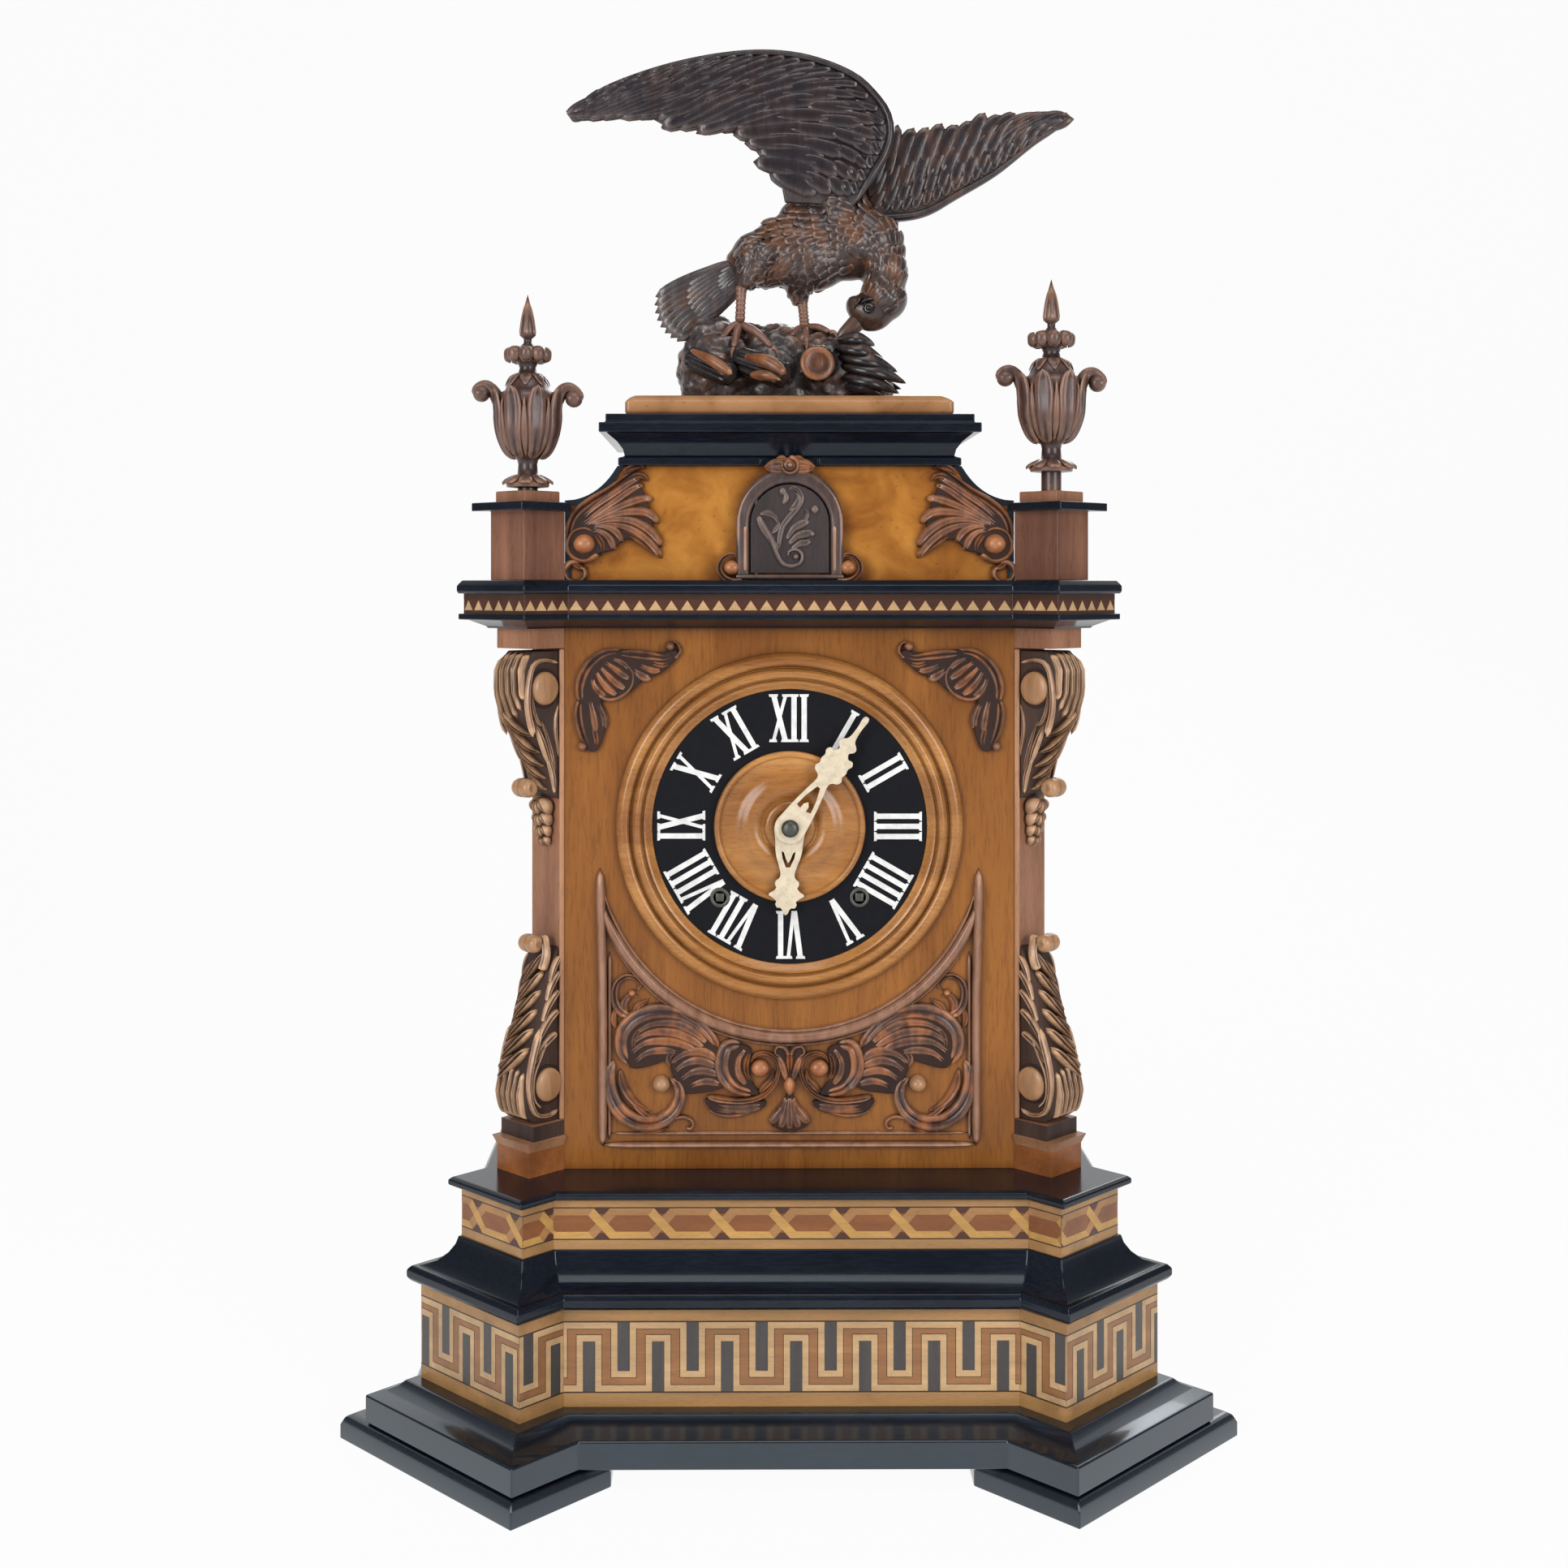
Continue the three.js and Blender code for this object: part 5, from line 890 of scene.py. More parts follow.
def grown(outline, by):
    """The outline moved outwards all round, for the dark line that shows beside a veneer."""
    result, count = [], len(outline)
    for i in range(count):
        before, here, after = (Vector(outline[(i + k) % count]) for k in (-1, 0, 1))
        e0, e1 = (here - before).normalized(), (after - here).normalized()
        n0, n1 = Vector((e0.y, -e0.x)), Vector((e1.y, -e1.x))
        bisector = n0 + n1
        result.append(tuple(here + bisector * (by / max(bisector.dot(n0), 0.2))))
    return result


# %% [markdown]
# The lower frieze is a Greek key. Dark bars hang and rise in turn, and a pale line runs round each row of
# bars, so that between the two pale lines a brown band winds up and down.

# %% Greek key
KEY_STEP = 36.6
KEY_LOW, KEY_HIGH = 36.7, 89.9
LINE = 3.3
BAR_HALF = 3.2


def key_on(inlay, face, first):
    length = inlay.length(face)
    low, high = KEY_LOW + 8.1, KEY_HIGH - 8.5
    everywhere = (-20, length + 20)
    inlay.lay(face, bar_shape(*everywhere, KEY_LOW, KEY_LOW + 7.3), border_strip, 0.1)
    inlay.lay(face, bar_shape(*everywhere, KEY_HIGH - 7.7, KEY_HIGH), border_strip, 0.1)
    for z in (KEY_LOW + 7.3, KEY_HIGH - 8.5):
        inlay.lay(face, bar_shape(*everywhere, z, z + 0.8), line_strip, 0.1)
    for step in range(-1, int(length / KEY_STEP) + 2):
        for base, tip, centre in ((low, low + 26.6, first + step * KEY_STEP),
                                  (high, high - 25.8, first + (step + 0.5) * KEY_STEP)):
            way = 1 if tip > base else -1
            levels = lambda a, b: (min(a, b), max(a, b))
            pale = [bar_shape(centre - 2 * LINE, centre - LINE, *levels(base, tip + way * LINE)),
                    bar_shape(centre + LINE, centre + 2 * LINE, *levels(base, tip + way * LINE)),
                    bar_shape(centre - LINE, centre + LINE, *levels(tip, tip + way * LINE)),
                    bar_shape(centre + 2 * LINE, centre + KEY_STEP - 2 * LINE,
                              *levels(base, base + way * LINE))]
            for outline in pale:
                inlay.lay(face, grown(outline, 0.35), line_strip, 0.04)
                inlay.lay(face, outline, pale_strip, 0.09)
            inlay.lay(face, bar_shape(centre - BAR_HALF, centre + BAR_HALF, *levels(base, tip)), slate_strip,
                      0.09)


dressed("key_frieze", brown_strip, 0.3)
key = Inlay((202.8, 65.8, 44.7))
for face, first in {"side_left": 6, "back_left": 8, "chamfer_left": 4.3, "return_left": 24.4, "front": 13.6,
                    "return_right": 7.6, "chamfer_right": 12.4, "back_right": 20, "side_right": 14}.items():
    key_on(key, face, first)
key.join("greek-key")


# %% [markdown]
# The frieze above is a chain of long hexagons: two gold strands that cross every 32 mm, with a small dark
# wedge above and below each crossing.

# %% Chain
CHAIN_STEP = 32.2
CHAIN_LOW, CHAIN_HIGH = 116.6, 143.8
STRAND = 3.7
INNER, OUTER = 4.4, 7.4
brown_gold_strip = strip("brown_gold_strip", (0.5, 0.25, 0.09))


def chain_on(inlay, face, first):
    length = inlay.length(face)
    everywhere = (-20, length + 20)
    low, high = CHAIN_LOW + 5.7, CHAIN_HIGH - 5.3
    inlay.lay(face, bar_shape(*everywhere, CHAIN_LOW, CHAIN_LOW + 5), border_strip, 0.1)
    inlay.lay(face, bar_shape(*everywhere, CHAIN_HIGH - 4.6, CHAIN_HIGH), border_strip, 0.1)
    for z in (CHAIN_LOW + 5, CHAIN_HIGH - 5.3):
        inlay.lay(face, bar_shape(*everywhere, z, z + 0.7), line_strip, 0.1)
    for step in range(-1, int(length / CHAIN_STEP) + 2):
        c = first + step * CHAIN_STEP
        far = c + CHAIN_STEP
        top, bottom = high - STRAND, low + STRAND
        upper = [(c + INNER, high), (c + OUTER, top), (far - OUTER, top), (far - INNER, high)]
        lower = [(c + OUTER, bottom), (c + INNER, low), (far - INNER, low), (far - OUTER, bottom)]
        rising = [(c - OUTER, bottom), (c - INNER, low), (c + OUTER, top), (c + INNER, high)]
        falling = [(c - INNER, high), (c - OUTER, top), (c + INNER, low), (c + OUTER, bottom)]
        for outline, finish, proud in ((upper, brown_gold_strip, 0.08), (lower, gold_strip, 0.08),
                                       (rising, brown_gold_strip, 0.11), (falling, gold_strip, 0.16)):
            inlay.lay(face, grown(outline[::-1], 0.3), line_strip, proud - 0.03)
            inlay.lay(face, outline[::-1], finish, proud)
        for base, way in ((high, -1), (low, 1)):
            wedge = [(c - 3.9, base), (c + 3.9, base), (c + 1.3, base + way * 3), (c - 1.3, base + way * 3)]
            inlay.lay(face, wedge[::way], maroon_strip, 0.18)


dressed("chain_frieze", orange_strip, 0.3)
chain = Inlay((179.6, 49.1, 34.3))
for face, first in {"side_left": 10, "back_left": 8, "chamfer_left": 14.1, "return_left": 18.6, "front": 26,
                    "return_right": -6.5, "chamfer_right": 30, "back_right": 8, "side_right": 12}.items():
    chain_on(chain, face, first)
chain.join("chain")

# %% [markdown]
# The cornice has a band of small gold triangles on dark veneer, with a brown strip above and below.

# %% Triangles in the cornice
BAND_LOW, BAND_HIGH = 456.5, 467.5
TRIANGLE_HALF = 3.6


def triangles_on(inlay, face, count):
    length = inlay.length(face)
    step = length / count
    foot, tip = BAND_LOW + 2.0, BAND_HIGH - 3.6
    inlay.lay(face, bar_shape(-5, length + 5, BAND_HIGH - 3, BAND_HIGH), cornice_strip, 0.08)
    inlay.lay(face, bar_shape(-5, length + 5, BAND_LOW, BAND_LOW + 1.5), cornice_strip, 0.08)
    for i in range(count):
        middle = (i + 0.5) * step
        triangle = [(middle - TRIANGLE_HALF, foot), (middle + TRIANGLE_HALF, foot), (middle, tip)]
        inlay.lay(face, triangle, pale_strip, 0.1)


dressed("cornice_inlay_band", maroon_strip, 0.2)
band = Inlay((179.9, 39.5, 18.2))
for face, count in {"side_left": 17, "back_left": 3, "chamfer_left": 6, "return_left": 4, "front": 28,
                    "return_right": 4, "chamfer_right": 6, "back_right": 3, "side_right": 17}.items():
    triangles_on(band, face, count)
band.join("cornice-triangles")

# %% [markdown]
# ## Consoles on the corner piers
# Each pier carries two scrolled consoles that face the corner of the room. The body of a console is sawn to
# an S, and the leaves are cut on its outer edge and on its two sides. Places are measured out from the pier,
# across the edge, and up from the console's foot.

# %% Frame of a console
PIER_X, PIER_BEHIND = 134.5, 9.9
HALF_EDGE = 11.4
UPPER_S = [(1.5, 0), (1.8, 12), (2.4, 24), (5.2, 29), (8, 40), (14, 56), (22.5, 71), (26, 84), (25.5, 97),
           (20, 107)]
LOWER_S = [(18, 0.2), (23.5, 5), (25.8, 17), (23.2, 34), (16.5, 54), (10.5, 74), (7.5, 88), (6, 98), (3, 106)]
LOWER_BODY_S = LOWER_S[:6] + [(7.2, 84), (4.2, 91), (1.0, 94.5)]


def console_frame(side, low):
    foot = at(side * PIER_X, PIER_BEHIND, low)
    out = Vector((side, -1, 0)).normalized()
    inward = Vector((-side, -1, 0)).normalized()
    return foot, out, inward


def edge_lay(side, low, edge):
    """On the sawn edge: across, up, and out from it."""
    foot, out, inward = console_frame(side, low)
    reach, up = [p[0] for p in edge], [p[1] for p in edge]

    def place(u, v, w):
        return foot + out * mm(float(np.interp(v, up, reach)) + w) + inward * mm(u) + Vector((0, 0, mm(v)))
    return place


def side_lay(side, low, face):
    """On a side: out from the pier, up, and out from the side. face is 1 on the side nearer the dial."""
    foot, out, inward = console_frame(side, low)
    return lambda u, v, w: foot + out * mm(u) + inward * mm(face * (HALF_EDGE + w)) + Vector((0, 0, mm(v)))


def console_body(side, low, edge, foot_up):
    foot, out, inward = console_frame(side, low)
    curve = smooth_line(edge, 5)
    root = 0.2
    outline = [(root, foot_up)] + [(u, v) for u, v in curve if v > foot_up] + [(root, edge[-1][1])]
    place = wall_place(foot + inward * mm(HALF_EDGE), out)
    if place.to_3x3().col[2].dot(inward) > 0:
        place = wall_place(foot - inward * mm(HALF_EDGE), out)
    return board(outline, 2 * HALF_EDGE, place, 1.4, 2)


# %% [markdown]
# Both consoles have the same three things besides their leaves: smooth discs at the heart of the large
# scroll, one on each side, thin dark discs behind them as painted shade round their rims, and a round
# button that lies across the edge.

# %% Discs, painted shade discs and button
def scroll_disc(side, low, face, out_by, up, profile):
    """A turned disc at the heart of a scroll, on the side of the console."""
    foot, out, inward = console_frame(side, low)
    centre = foot + out * mm(out_by) + inward * mm(face * (HALF_EDGE - 0.4)) + Vector((0, 0, mm(up)))
    return turned(profile, centre, inward * face, 40)


def button(side, low, across, up, out_by, r):
    """A round button that lies across the edge, with a hollow turned in each end."""
    foot, out, inward = console_frame(side, low)
    half = 7.2
    centre = foot + out * mm(out_by) + inward * mm(across) + Vector((0, 0, mm(up)))
    profile = [(0, -half + 0.6), (r * 0.3, -half + 0.3), (r * 0.6, -half), (r * 0.86, -half + 1.2),
               (r, -half + 3), (r * 1.04, -1.4), (r * 0.9, 0), (r * 1.04, 1.4), (r, half - 3),
               (r * 0.86, half - 1.2), (r * 0.6, half), (r * 0.3, half - 0.3), (0, half - 0.6)]
    return turned(profile, centre, inward, 32)


def finish_console(kind, side, low, edge, foot_up, cuts, disc_at, shade_disc_r, button_at):
    name = "console-%s-%s" % (kind, "left" if side < 0 else "right")
    finished(console_body(side, low, edge, foot_up), name + "-body", console_side_wood, body="case")
    whole_carving(cuts, name, console_wood, name.replace("-", "_"))
    r = 9.2
    domed = [(0, 0), (r, 0), (r, 1.6), (r - 0.5, 2.6), (r - 1.8, 3.3), (r * 0.5, 3.9), (0, 4.1)]
    discs = [scroll_disc(side, low, face, *disc_at, domed) for face in (1, -1)]
    whole_carving(discs + [button(side, low, *button_at)], name + "-buttons", button_wood, body="case")
    # Painted shade: thin dark discs behind the scroll discs stand for the shade round their rims.
    r = shade_disc_r
    flat = [(0, 0), (r, 0), (r, 0.7), (r - 0.8, 0.9), (0, 0.9)]
    shade_discs = [scroll_disc(side, low, face, *disc_at, flat) for face in (1, -1)]
    finished(joined(shade_discs), name + "-hollows", shade_ground_wood, body="case")


def edge_cutter(side, low, edge):
    lay = edge_lay(side, low, edge)
    return lambda line, wide, high, kind="leaf", **more: cut(line, wide, high, kind, lay, 12, 16, **more)


# %% [markdown]
# The upper console ends in a large scroll under the cornice. Long leaves sweep across its edge from the
# outer corner to the inner one, and a row of small bellflowers hangs below the button at its foot.

# %% Upper consoles
def upper_console(side, low=329.0):
    on_edge = edge_cutter(side, low, UPPER_S)
    cuts = [
        on_edge([(-10.2, 106), (-10.2, 88), (-9.6, 70), (-8, 54), (-5, 42), (-1, 31)], 2.2, 4.6, "stem",
                vein=0.3),
        on_edge([(-5.4, 107), (-5.4, 90), (-4.6, 76), (-3.4, 64)], 2.1, 4.8, "stem", vein=0.35),
        on_edge([(-0.6, 107), (-0.6, 92), (0.4, 80), (1.8, 70)], 2.1, 5.0, "stem", vein=0.35),
        on_edge([(4, 107), (4.4, 95), (5.2, 84), (7, 74)], 2.1, 4.8, "stem", vein=0.3),
        on_edge([(8.8, 106), (9.4, 98), (10, 88), (10.4, 80)], 1.9, 4.0, "stem"),
        on_edge([(-8.4, 74), (-3, 67), (3, 62), (10, 60)], 2.3, 6.4, vein=0.5),
        on_edge([(-8, 66), (-3, 59), (3, 53), (10.2, 51)], 2.4, 6.4, vein=0.5),
        on_edge([(-8, 57), (-3, 50), (3, 45), (9.6, 43)], 2.3, 6.0, vein=0.5),
        on_edge([(-7, 49), (-2, 42), (3, 38), (8.6, 36)], 2.1, 5.4, vein=0.5),
        on_edge([(-6, 41), (-1, 35), (3, 31), (7, 30)], 1.9, 4.8, vein=0.4),
    ]
    for face in (1, -1):
        lay = side_lay(side, low, face)
        cuts += [
            cut([(20, 60), (24, 74), (24, 87), (20.5, 99), (12.5, 102), (2, 100)], 1.9, 3.0, "stem", lay,
                vein=0.2),
            cut([(12, 66), (17.4, 68), (21, 76), (21.4, 86)], 1.5, 2.6, "leaf", lay, vein=0.3),
            cut([(9, 44), (13, 54), (17, 63), (21, 70)], 1.9, 3.0, "leaf", lay, vein=0.4),
            cut([(5, 40), (8.6, 52), (12, 62), (15, 70)], 1.6, 2.4, "leaf", lay, vein=0.4),
            cut([(5, 28), (6.6, 38), (9.6, 47), (12, 54)], 1.6, 2.4, "leaf", lay, vein=0.4),
            cut([(2, 48), (4.4, 60), (4.4, 70), (2, 78)], 1.3, 1.8, "leaf", lay, vein=0.3),
        ]
    for r, high, up in [(5.4, 8.5, 19.5), (4.8, 7.2, 12.6), (4.1, 6.0, 6.2), (3.2, 4.8, 0.6)]:
        cuts += [on_edge([(-0.8, up + r), (-r * 0.8, up + 1), (-r * 0.9, up - r * 0.7)], r * 0.5, high,
                         vein=0.3),
                 on_edge([(0.8, up + r), (r * 0.8, up + 1), (r * 0.9, up - r * 0.7)], r * 0.5, high,
                         vein=0.3),
                 on_edge([(0, up + r * 0.9), (0, up), (0, up - r)], r * 0.42, high + 1.4, vein=0.3)]
    finish_console("upper", side, low, UPPER_S, 25, cuts, (12.6, 86.5), 11.2, (-4, 30.8, 13.5, 5.2))


# %% [markdown]
# The lower console is the other way up: a button at the top, six rows of long lobes on the edge that point up
# and inwards, five on each side, and a large scroll at the foot with flutes that run down over it.

# %% Lower consoles
def lower_console(side, low=177.1):
    on_edge = edge_cutter(side, low, LOWER_S)
    cuts = []
    for k in range(5):
        u = -9.0 + 4.5 * k
        cuts.append(on_edge([(u, 35 - 1.5 * k), (u, 26), (u, 14), (u * 0.94, 2.4)], 2.1, 4.6, "tongue",
                            vein=0.25))
    for row, up in enumerate((30, 40, 50, 60, 70, 80)):
        shrink = 1 - 0.06 * row
        line = [(u * shrink, up + v) for u, v in [(-10.4, -7), (-4.6, -1.5), (2, 4), (9.8, 12)]]
        cuts.append(on_edge(line, 3.3 * shrink, 7.0 * shrink, "tongue", vein=0.45, lift=0.2))
        line = [(u * shrink, up + v) for u, v in [(-10.6, -2), (-6.4, 2), (-2, 7)]]
        cuts.append(on_edge(line, 2.0 * shrink, 5.2 * shrink, vein=0.3, lift=0.2))
    cuts.append(on_edge([(7, 82), (8.6, 91), (5.6, 98.6), (1, 99.4)], 2.6, 4.6, "stem", vein=0.3))
    for face in (1, -1):
        lay = side_lay(side, low, face)
        cuts += [
            cut([(15.5, 52), (21, 36), (23.4, 21), (19.6, 7), (11, 3.4), (2, 5.5)], 2.1, 3.4, "stem", lay,
                vein=0.25),
            cut([(11, 46), (15.4, 37), (20.4, 26), (20, 14), (14, 7.6)], 1.3, 2.6, "stem", lay),
            cut([(20, 33), (16, 40), (10, 45), (3.4, 48)], 2.7, 3.4, "tongue", lay, vein=0.4),
            cut([(17.4, 44), (13.6, 51), (8.6, 57), (2.4, 60.4)], 2.8, 3.6, "tongue", lay, vein=0.4),
            cut([(14, 55), (11, 62), (7, 67.6), (2, 71.4)], 2.6, 3.4, "tongue", lay, vein=0.4),
            cut([(11, 66), (8.6, 73), (5.4, 78), (1.6, 82)], 2.4, 3.2, "tongue", lay, vein=0.4),
            cut([(8.4, 76), (6.8, 82), (4.2, 87), (1.2, 90)], 2.0, 3.0, "tongue", lay, vein=0.4),
        ]
    finish_console("lower", side, low, LOWER_BODY_S, 0.1, cuts, (10.2, 20.5), 11.0, (-1, 96.6, 11.5, 4.9))


for side in SIDES.values():
    upper_console(side)
    lower_console(side)
print("consoles carved")

# %% [markdown]
# ## The carved panel under the dial
# A moulded rim encloses big acanthus leaves, C-scrolls and a small palmette. The cuts were drawn on a sheet
# at about seven times full size. Half of the drawing is carved, then mirrored for the other half. Straps
# have a hollow along the middle, so their two edges catch the light. Where flutes lie close together they
# stand on a thin dark board, painted shade for the narrow gaps between them.

# %% From the drawing to the clock
HOLLOW = {"vein": 0.5, "vein_wide": 0.45}
FLUTED = {"vein": 0.2, "vein_wide": 0.3}
VEINED = {"vein": 0.3}


def sheet(scale, left, top):
    """Turns places on the drawing, counted right and down, into millimetres on the clock."""
    return lambda points: [(left + scale * p[0], top - scale * p[1]) for p in points]


WIDER_TONGUE = 1.22


def carve(drawing, cuts, mirrored=False, **common):
    side = -1 if mirrored else 1
    made = []
    for kind, wide, high, points, *more in cuts:
        options = dict(common)
        for extra in more:
            options.update(extra)
        if kind == "tongue":
            wide *= WIDER_TONGUE
        made.append(cut(drawing(points), wide, high, kind, lambda u, v, w: on_front(side * u, v, w),
                        **options))
    return made


def both_halves(drawing, cuts, **common):
    return carve(drawing, cuts, **common) + carve(drawing, cuts, mirrored=True, **common)


# Painted shade: a thin dark board under close cuts, for the shade between them.
def dark_ground(drawing, outline, thick, mirrored=False):
    side = -1 if mirrored else 1
    rounded = smooth_line([(side * u, v) for u, v in drawing(outline)], 3, closed=True)
    return board(anticlockwise(rounded), thick, face_place(0, 0, 0), 0.4, 1)


# %% Rim of the lower panel
RIM_CENTRE_UP = 331.5


def rim_arc(across, down, half):
    """The hollow upper edge of the panel: half is its half angle in degrees."""
    angles = [math.radians(a) for a in range(-half, half + 1, 4)]
    return [(across * math.sin(a), RIM_CENTRE_UP - down * math.cos(a)) for a in angles]


arc, lip, low_lip = rim_arc(110.4, 109.4, 72), rim_arc(107, 106.0, 76), rim_arc(113, 113.4, 62)
rim_cuts = [cut(arc, 3.4, 4.8, "rib", sides=12, rings=64), cut(lip, 1.0, 2.6, "rib", sides=8, rings=64),
            cut(low_lip, 1.0, 3.0, "rib", sides=8, rings=64)]
for side in SIDES.values():
    upright = [(side * 103.2, 161.5), (side * 103.2, 240), (side * 104.8, 316)]
    rim_cuts.append(cut(upright, 2.8, 5.2, "rib", sides=12, rings=32))
    rim_cuts.append(cut([(side * 99.6, 165), (side * 99.4, 270)], 1.1, 3.0, "rib", sides=8, rings=24))
rim_cuts.append(cut([(-105, 163.0), (105, 163.0)], 1.8, 4.6, "rib", sides=12, rings=32))
rim_cuts.append(cut([(-100, 169.2), (100, 169.2)], 0.9, 2.2, "rib", sides=8, rings=32))
# The rim takes the lighter rim finish, a painted highlight.
whole_carving(rim_cuts, "lower-panel-rim", rim_wood, body="case")

# %% Leaves and scrolls of the lower panel
panel_drawing = sheet(0.1403, -106.7, 267.8)
leaf_cuts = [
    # curl in the upper corner
    ("scroll", 2.9, 4.2, [(134, 244), (90, 216), (70, 165), (80, 112), (120, 84), (160, 96), (172, 126),
                          (150, 142)], HOLLOW),
    ("leaf", 2.5, 3.4, [(122, 248), (108, 196), (130, 162), (166, 166)], VEINED),
    ("leaf", 2.2, 3.0, [(146, 244), (160, 206), (184, 190), (208, 172)], VEINED),
    ("leaf", 2.2, 3.0, [(78, 292), (66, 252), (76, 216), (96, 198)], VEINED),
    # strap over the big leaf, and the flutes under it
    ("strap", 4.6, 5.4, [(132, 436), (99, 374), (104, 304), (150, 250), (228, 222), (318, 228), (398, 268),
                         (458, 330), (484, 382)], HOLLOW, {"rings": 30}),
    ("tongue", 3.1, 5.0, [(142, 316), (215, 272), (310, 268), (388, 304), (442, 354)], FLUTED),
    ("tongue", 3.2, 4.8, [(124, 356), (205, 306), (305, 304), (380, 334), (432, 372)], FLUTED),
    ("tongue", 3.1, 4.6, [(118, 400), (192, 345), (280, 338), (350, 354), (408, 386)], FLUTED),
    ("tongue", 2.7, 4.2, [(128, 446), (190, 388), (262, 374), (330, 384)], FLUTED),
    ("leaf", 2.2, 3.6, [(148, 386), (148, 332), (174, 290), (216, 264)], VEINED),
    # C-scroll in the lower corner, with its ball
    ("strap", 4.9, 5.8, [(70, 410), (48, 480), (62, 560), (104, 624), (170, 660), (246, 656), (302, 618),
                         (328, 560), (318, 508), (284, 484)], HOLLOW, {"rings": 32}),
    ("leaf", 2.7, 4.0, [(92, 446), (106, 520), (150, 582), (216, 620)], VEINED),
    ("leaf", 2.1, 3.4, [(122, 540), (160, 600), (214, 642), (272, 642)], VEINED),
    ("stem", 1.6, 3.4, [(238, 674), (300, 646), (345, 638), (378, 656), (374, 682), (348, 680)]),
    ("leaf", 1.9, 2.8, [(150, 676), (190, 692), (240, 692), (292, 678)], VEINED),
    # leaf between the scroll and the volute
    ("tongue", 3.1, 4.8, [(288, 434), (330, 396), (385, 378), (440, 388), (482, 420)], FLUTED),
    ("tongue", 3.1, 4.6, [(298, 466), (350, 426), (410, 414), (480, 442)], FLUTED),
    ("tongue", 2.9, 4.4, [(316, 502), (370, 464), (425, 454), (490, 474)], FLUTED),
    ("tongue", 2.7, 4.0, [(338, 536), (390, 506), (440, 496), (498, 512)], FLUTED),
    ("leaf", 2.5, 3.4, [(302, 446), (284, 410), (300, 384), (338, 370)], VEINED),
    # volute
    ("strap", 4.4, 5.8, [(574, 350), (516, 360), (493, 420), (505, 482), (552, 528), (622, 546)], HOLLOW,
     {"rings": 24}),
    ("tongue", 2.6, 5.2, [(590, 364), (560, 410), (560, 462), (590, 514)], FLUTED),
    ("leaf", 2.2, 4.8, [(608, 378), (590, 422), (592, 468), (618, 504)], VEINED),
    ("stem", 2.2, 5.4, [(430, 556), (500, 570), (580, 574), (650, 556), (698, 510), (718, 450), (704, 404),
                        (660, 386), (620, 398), (604, 436)], {"rings": 32, "vein": 0.25}),
    ("tongue", 3.5, 4.0, [(424, 582), (500, 600), (580, 604), (668, 590)], FLUTED),
    ("leaf", 2.7, 3.6, [(440, 608), (500, 624), (570, 622), (640, 606)], VEINED),
    ("leaf", 2.3, 4.2, [(638, 546), (662, 520), (690, 488), (694, 448)], VEINED),
    # half of the palmette
    ("stem", 1.7, 5.0, [(758, 396), (742, 366), (714, 360), (704, 384), (724, 400)]),
    ("leaf", 3.0, 5.2, [(714, 392), (730, 430), (742, 470), (750, 506)], FLUTED),
    ("tongue", 3.0, 4.6, [(750, 558), (738, 596), (716, 630), (682, 662)], FLUTED),
    ("tongue", 3.1, 5.0, [(754, 558), (747, 606), (738, 644), (722, 682)], FLUTED),
]
middle_cuts = [("tongue", 3.1, 5.4, [(760.5, 556), (760.5, 610), (760.5, 650), (760.5, 688)], FLUTED),
               ("leaf", 2.4, 5.8, [(760.5, 366), (760.5, 420), (760.5, 482)], VEINED)]
leaf_grounds = [
    [(132, 436), (104, 372), (110, 304), (156, 256), (228, 230), (310, 234), (392, 272), (450, 330),
     (478, 380), (430, 398), (330, 394), (240, 426), (170, 444)],
    [(292, 440), (330, 392), (400, 376), (468, 400), (490, 450), (496, 520), (400, 542), (344, 540),
     (312, 490)],
    [(502, 364), (560, 348), (610, 372), (598, 430), (612, 500), (640, 548), (560, 544), (502, 496),
     (486, 430)],
    [(428, 566), (560, 582), (664, 572), (650, 606), (560, 628), (470, 622)],
    [(700, 372), (760, 362), (760, 560), (760, 684), (700, 676), (690, 650), (742, 580), (738, 480)],
]
bud_cuts = [("round", 5.2, 5.6, [(606, 446), (644, 445), (682, 444)]),
            ("round", 2.0, 3.8, [(126, 152), (140, 150), (154, 148)])]
panel_cuts = both_halves(panel_drawing, leaf_cuts) + carve(panel_drawing, middle_cuts)
whole_carving(panel_cuts, "lower-carved-panel", carving, "lower_carved_panel")
buds = both_halves(panel_drawing, bud_cuts)
buds += carve(panel_drawing, [("leaf", 3.6, 5.8, [(760.5, 476), (760.5, 516), (760.5, 558)])])
whole_carving(buds, "panel-buds", bud_wood, body="case")
# Painted shade: dark boards under the flutes stand for the shade in the gaps between them.
grounds = [dark_ground(panel_drawing, shape, 2.6, mirrored)
           for shape in leaf_grounds for mirrored in (False, True)]
# Painted highlight: the balls take the lighter button finish for the sheen on them.
ball = [("round", 4.9, 6.8, [(222, 510), (256, 508), (290, 506)])]
balls = carve(panel_drawing, ball, mirrored=True) + carve(panel_drawing, ball)
whole_carving(balls, "panel-scroll-balls", button_wood, body="case")
finished(joined(grounds), "panel-leaf-grounds", shade_ground_wood, body="case")
print("panel cuts", len(panel_cuts))

# %% [markdown]
# In each upper corner of the front sits a shell with a scalloped rim and two arms that end in small balls.

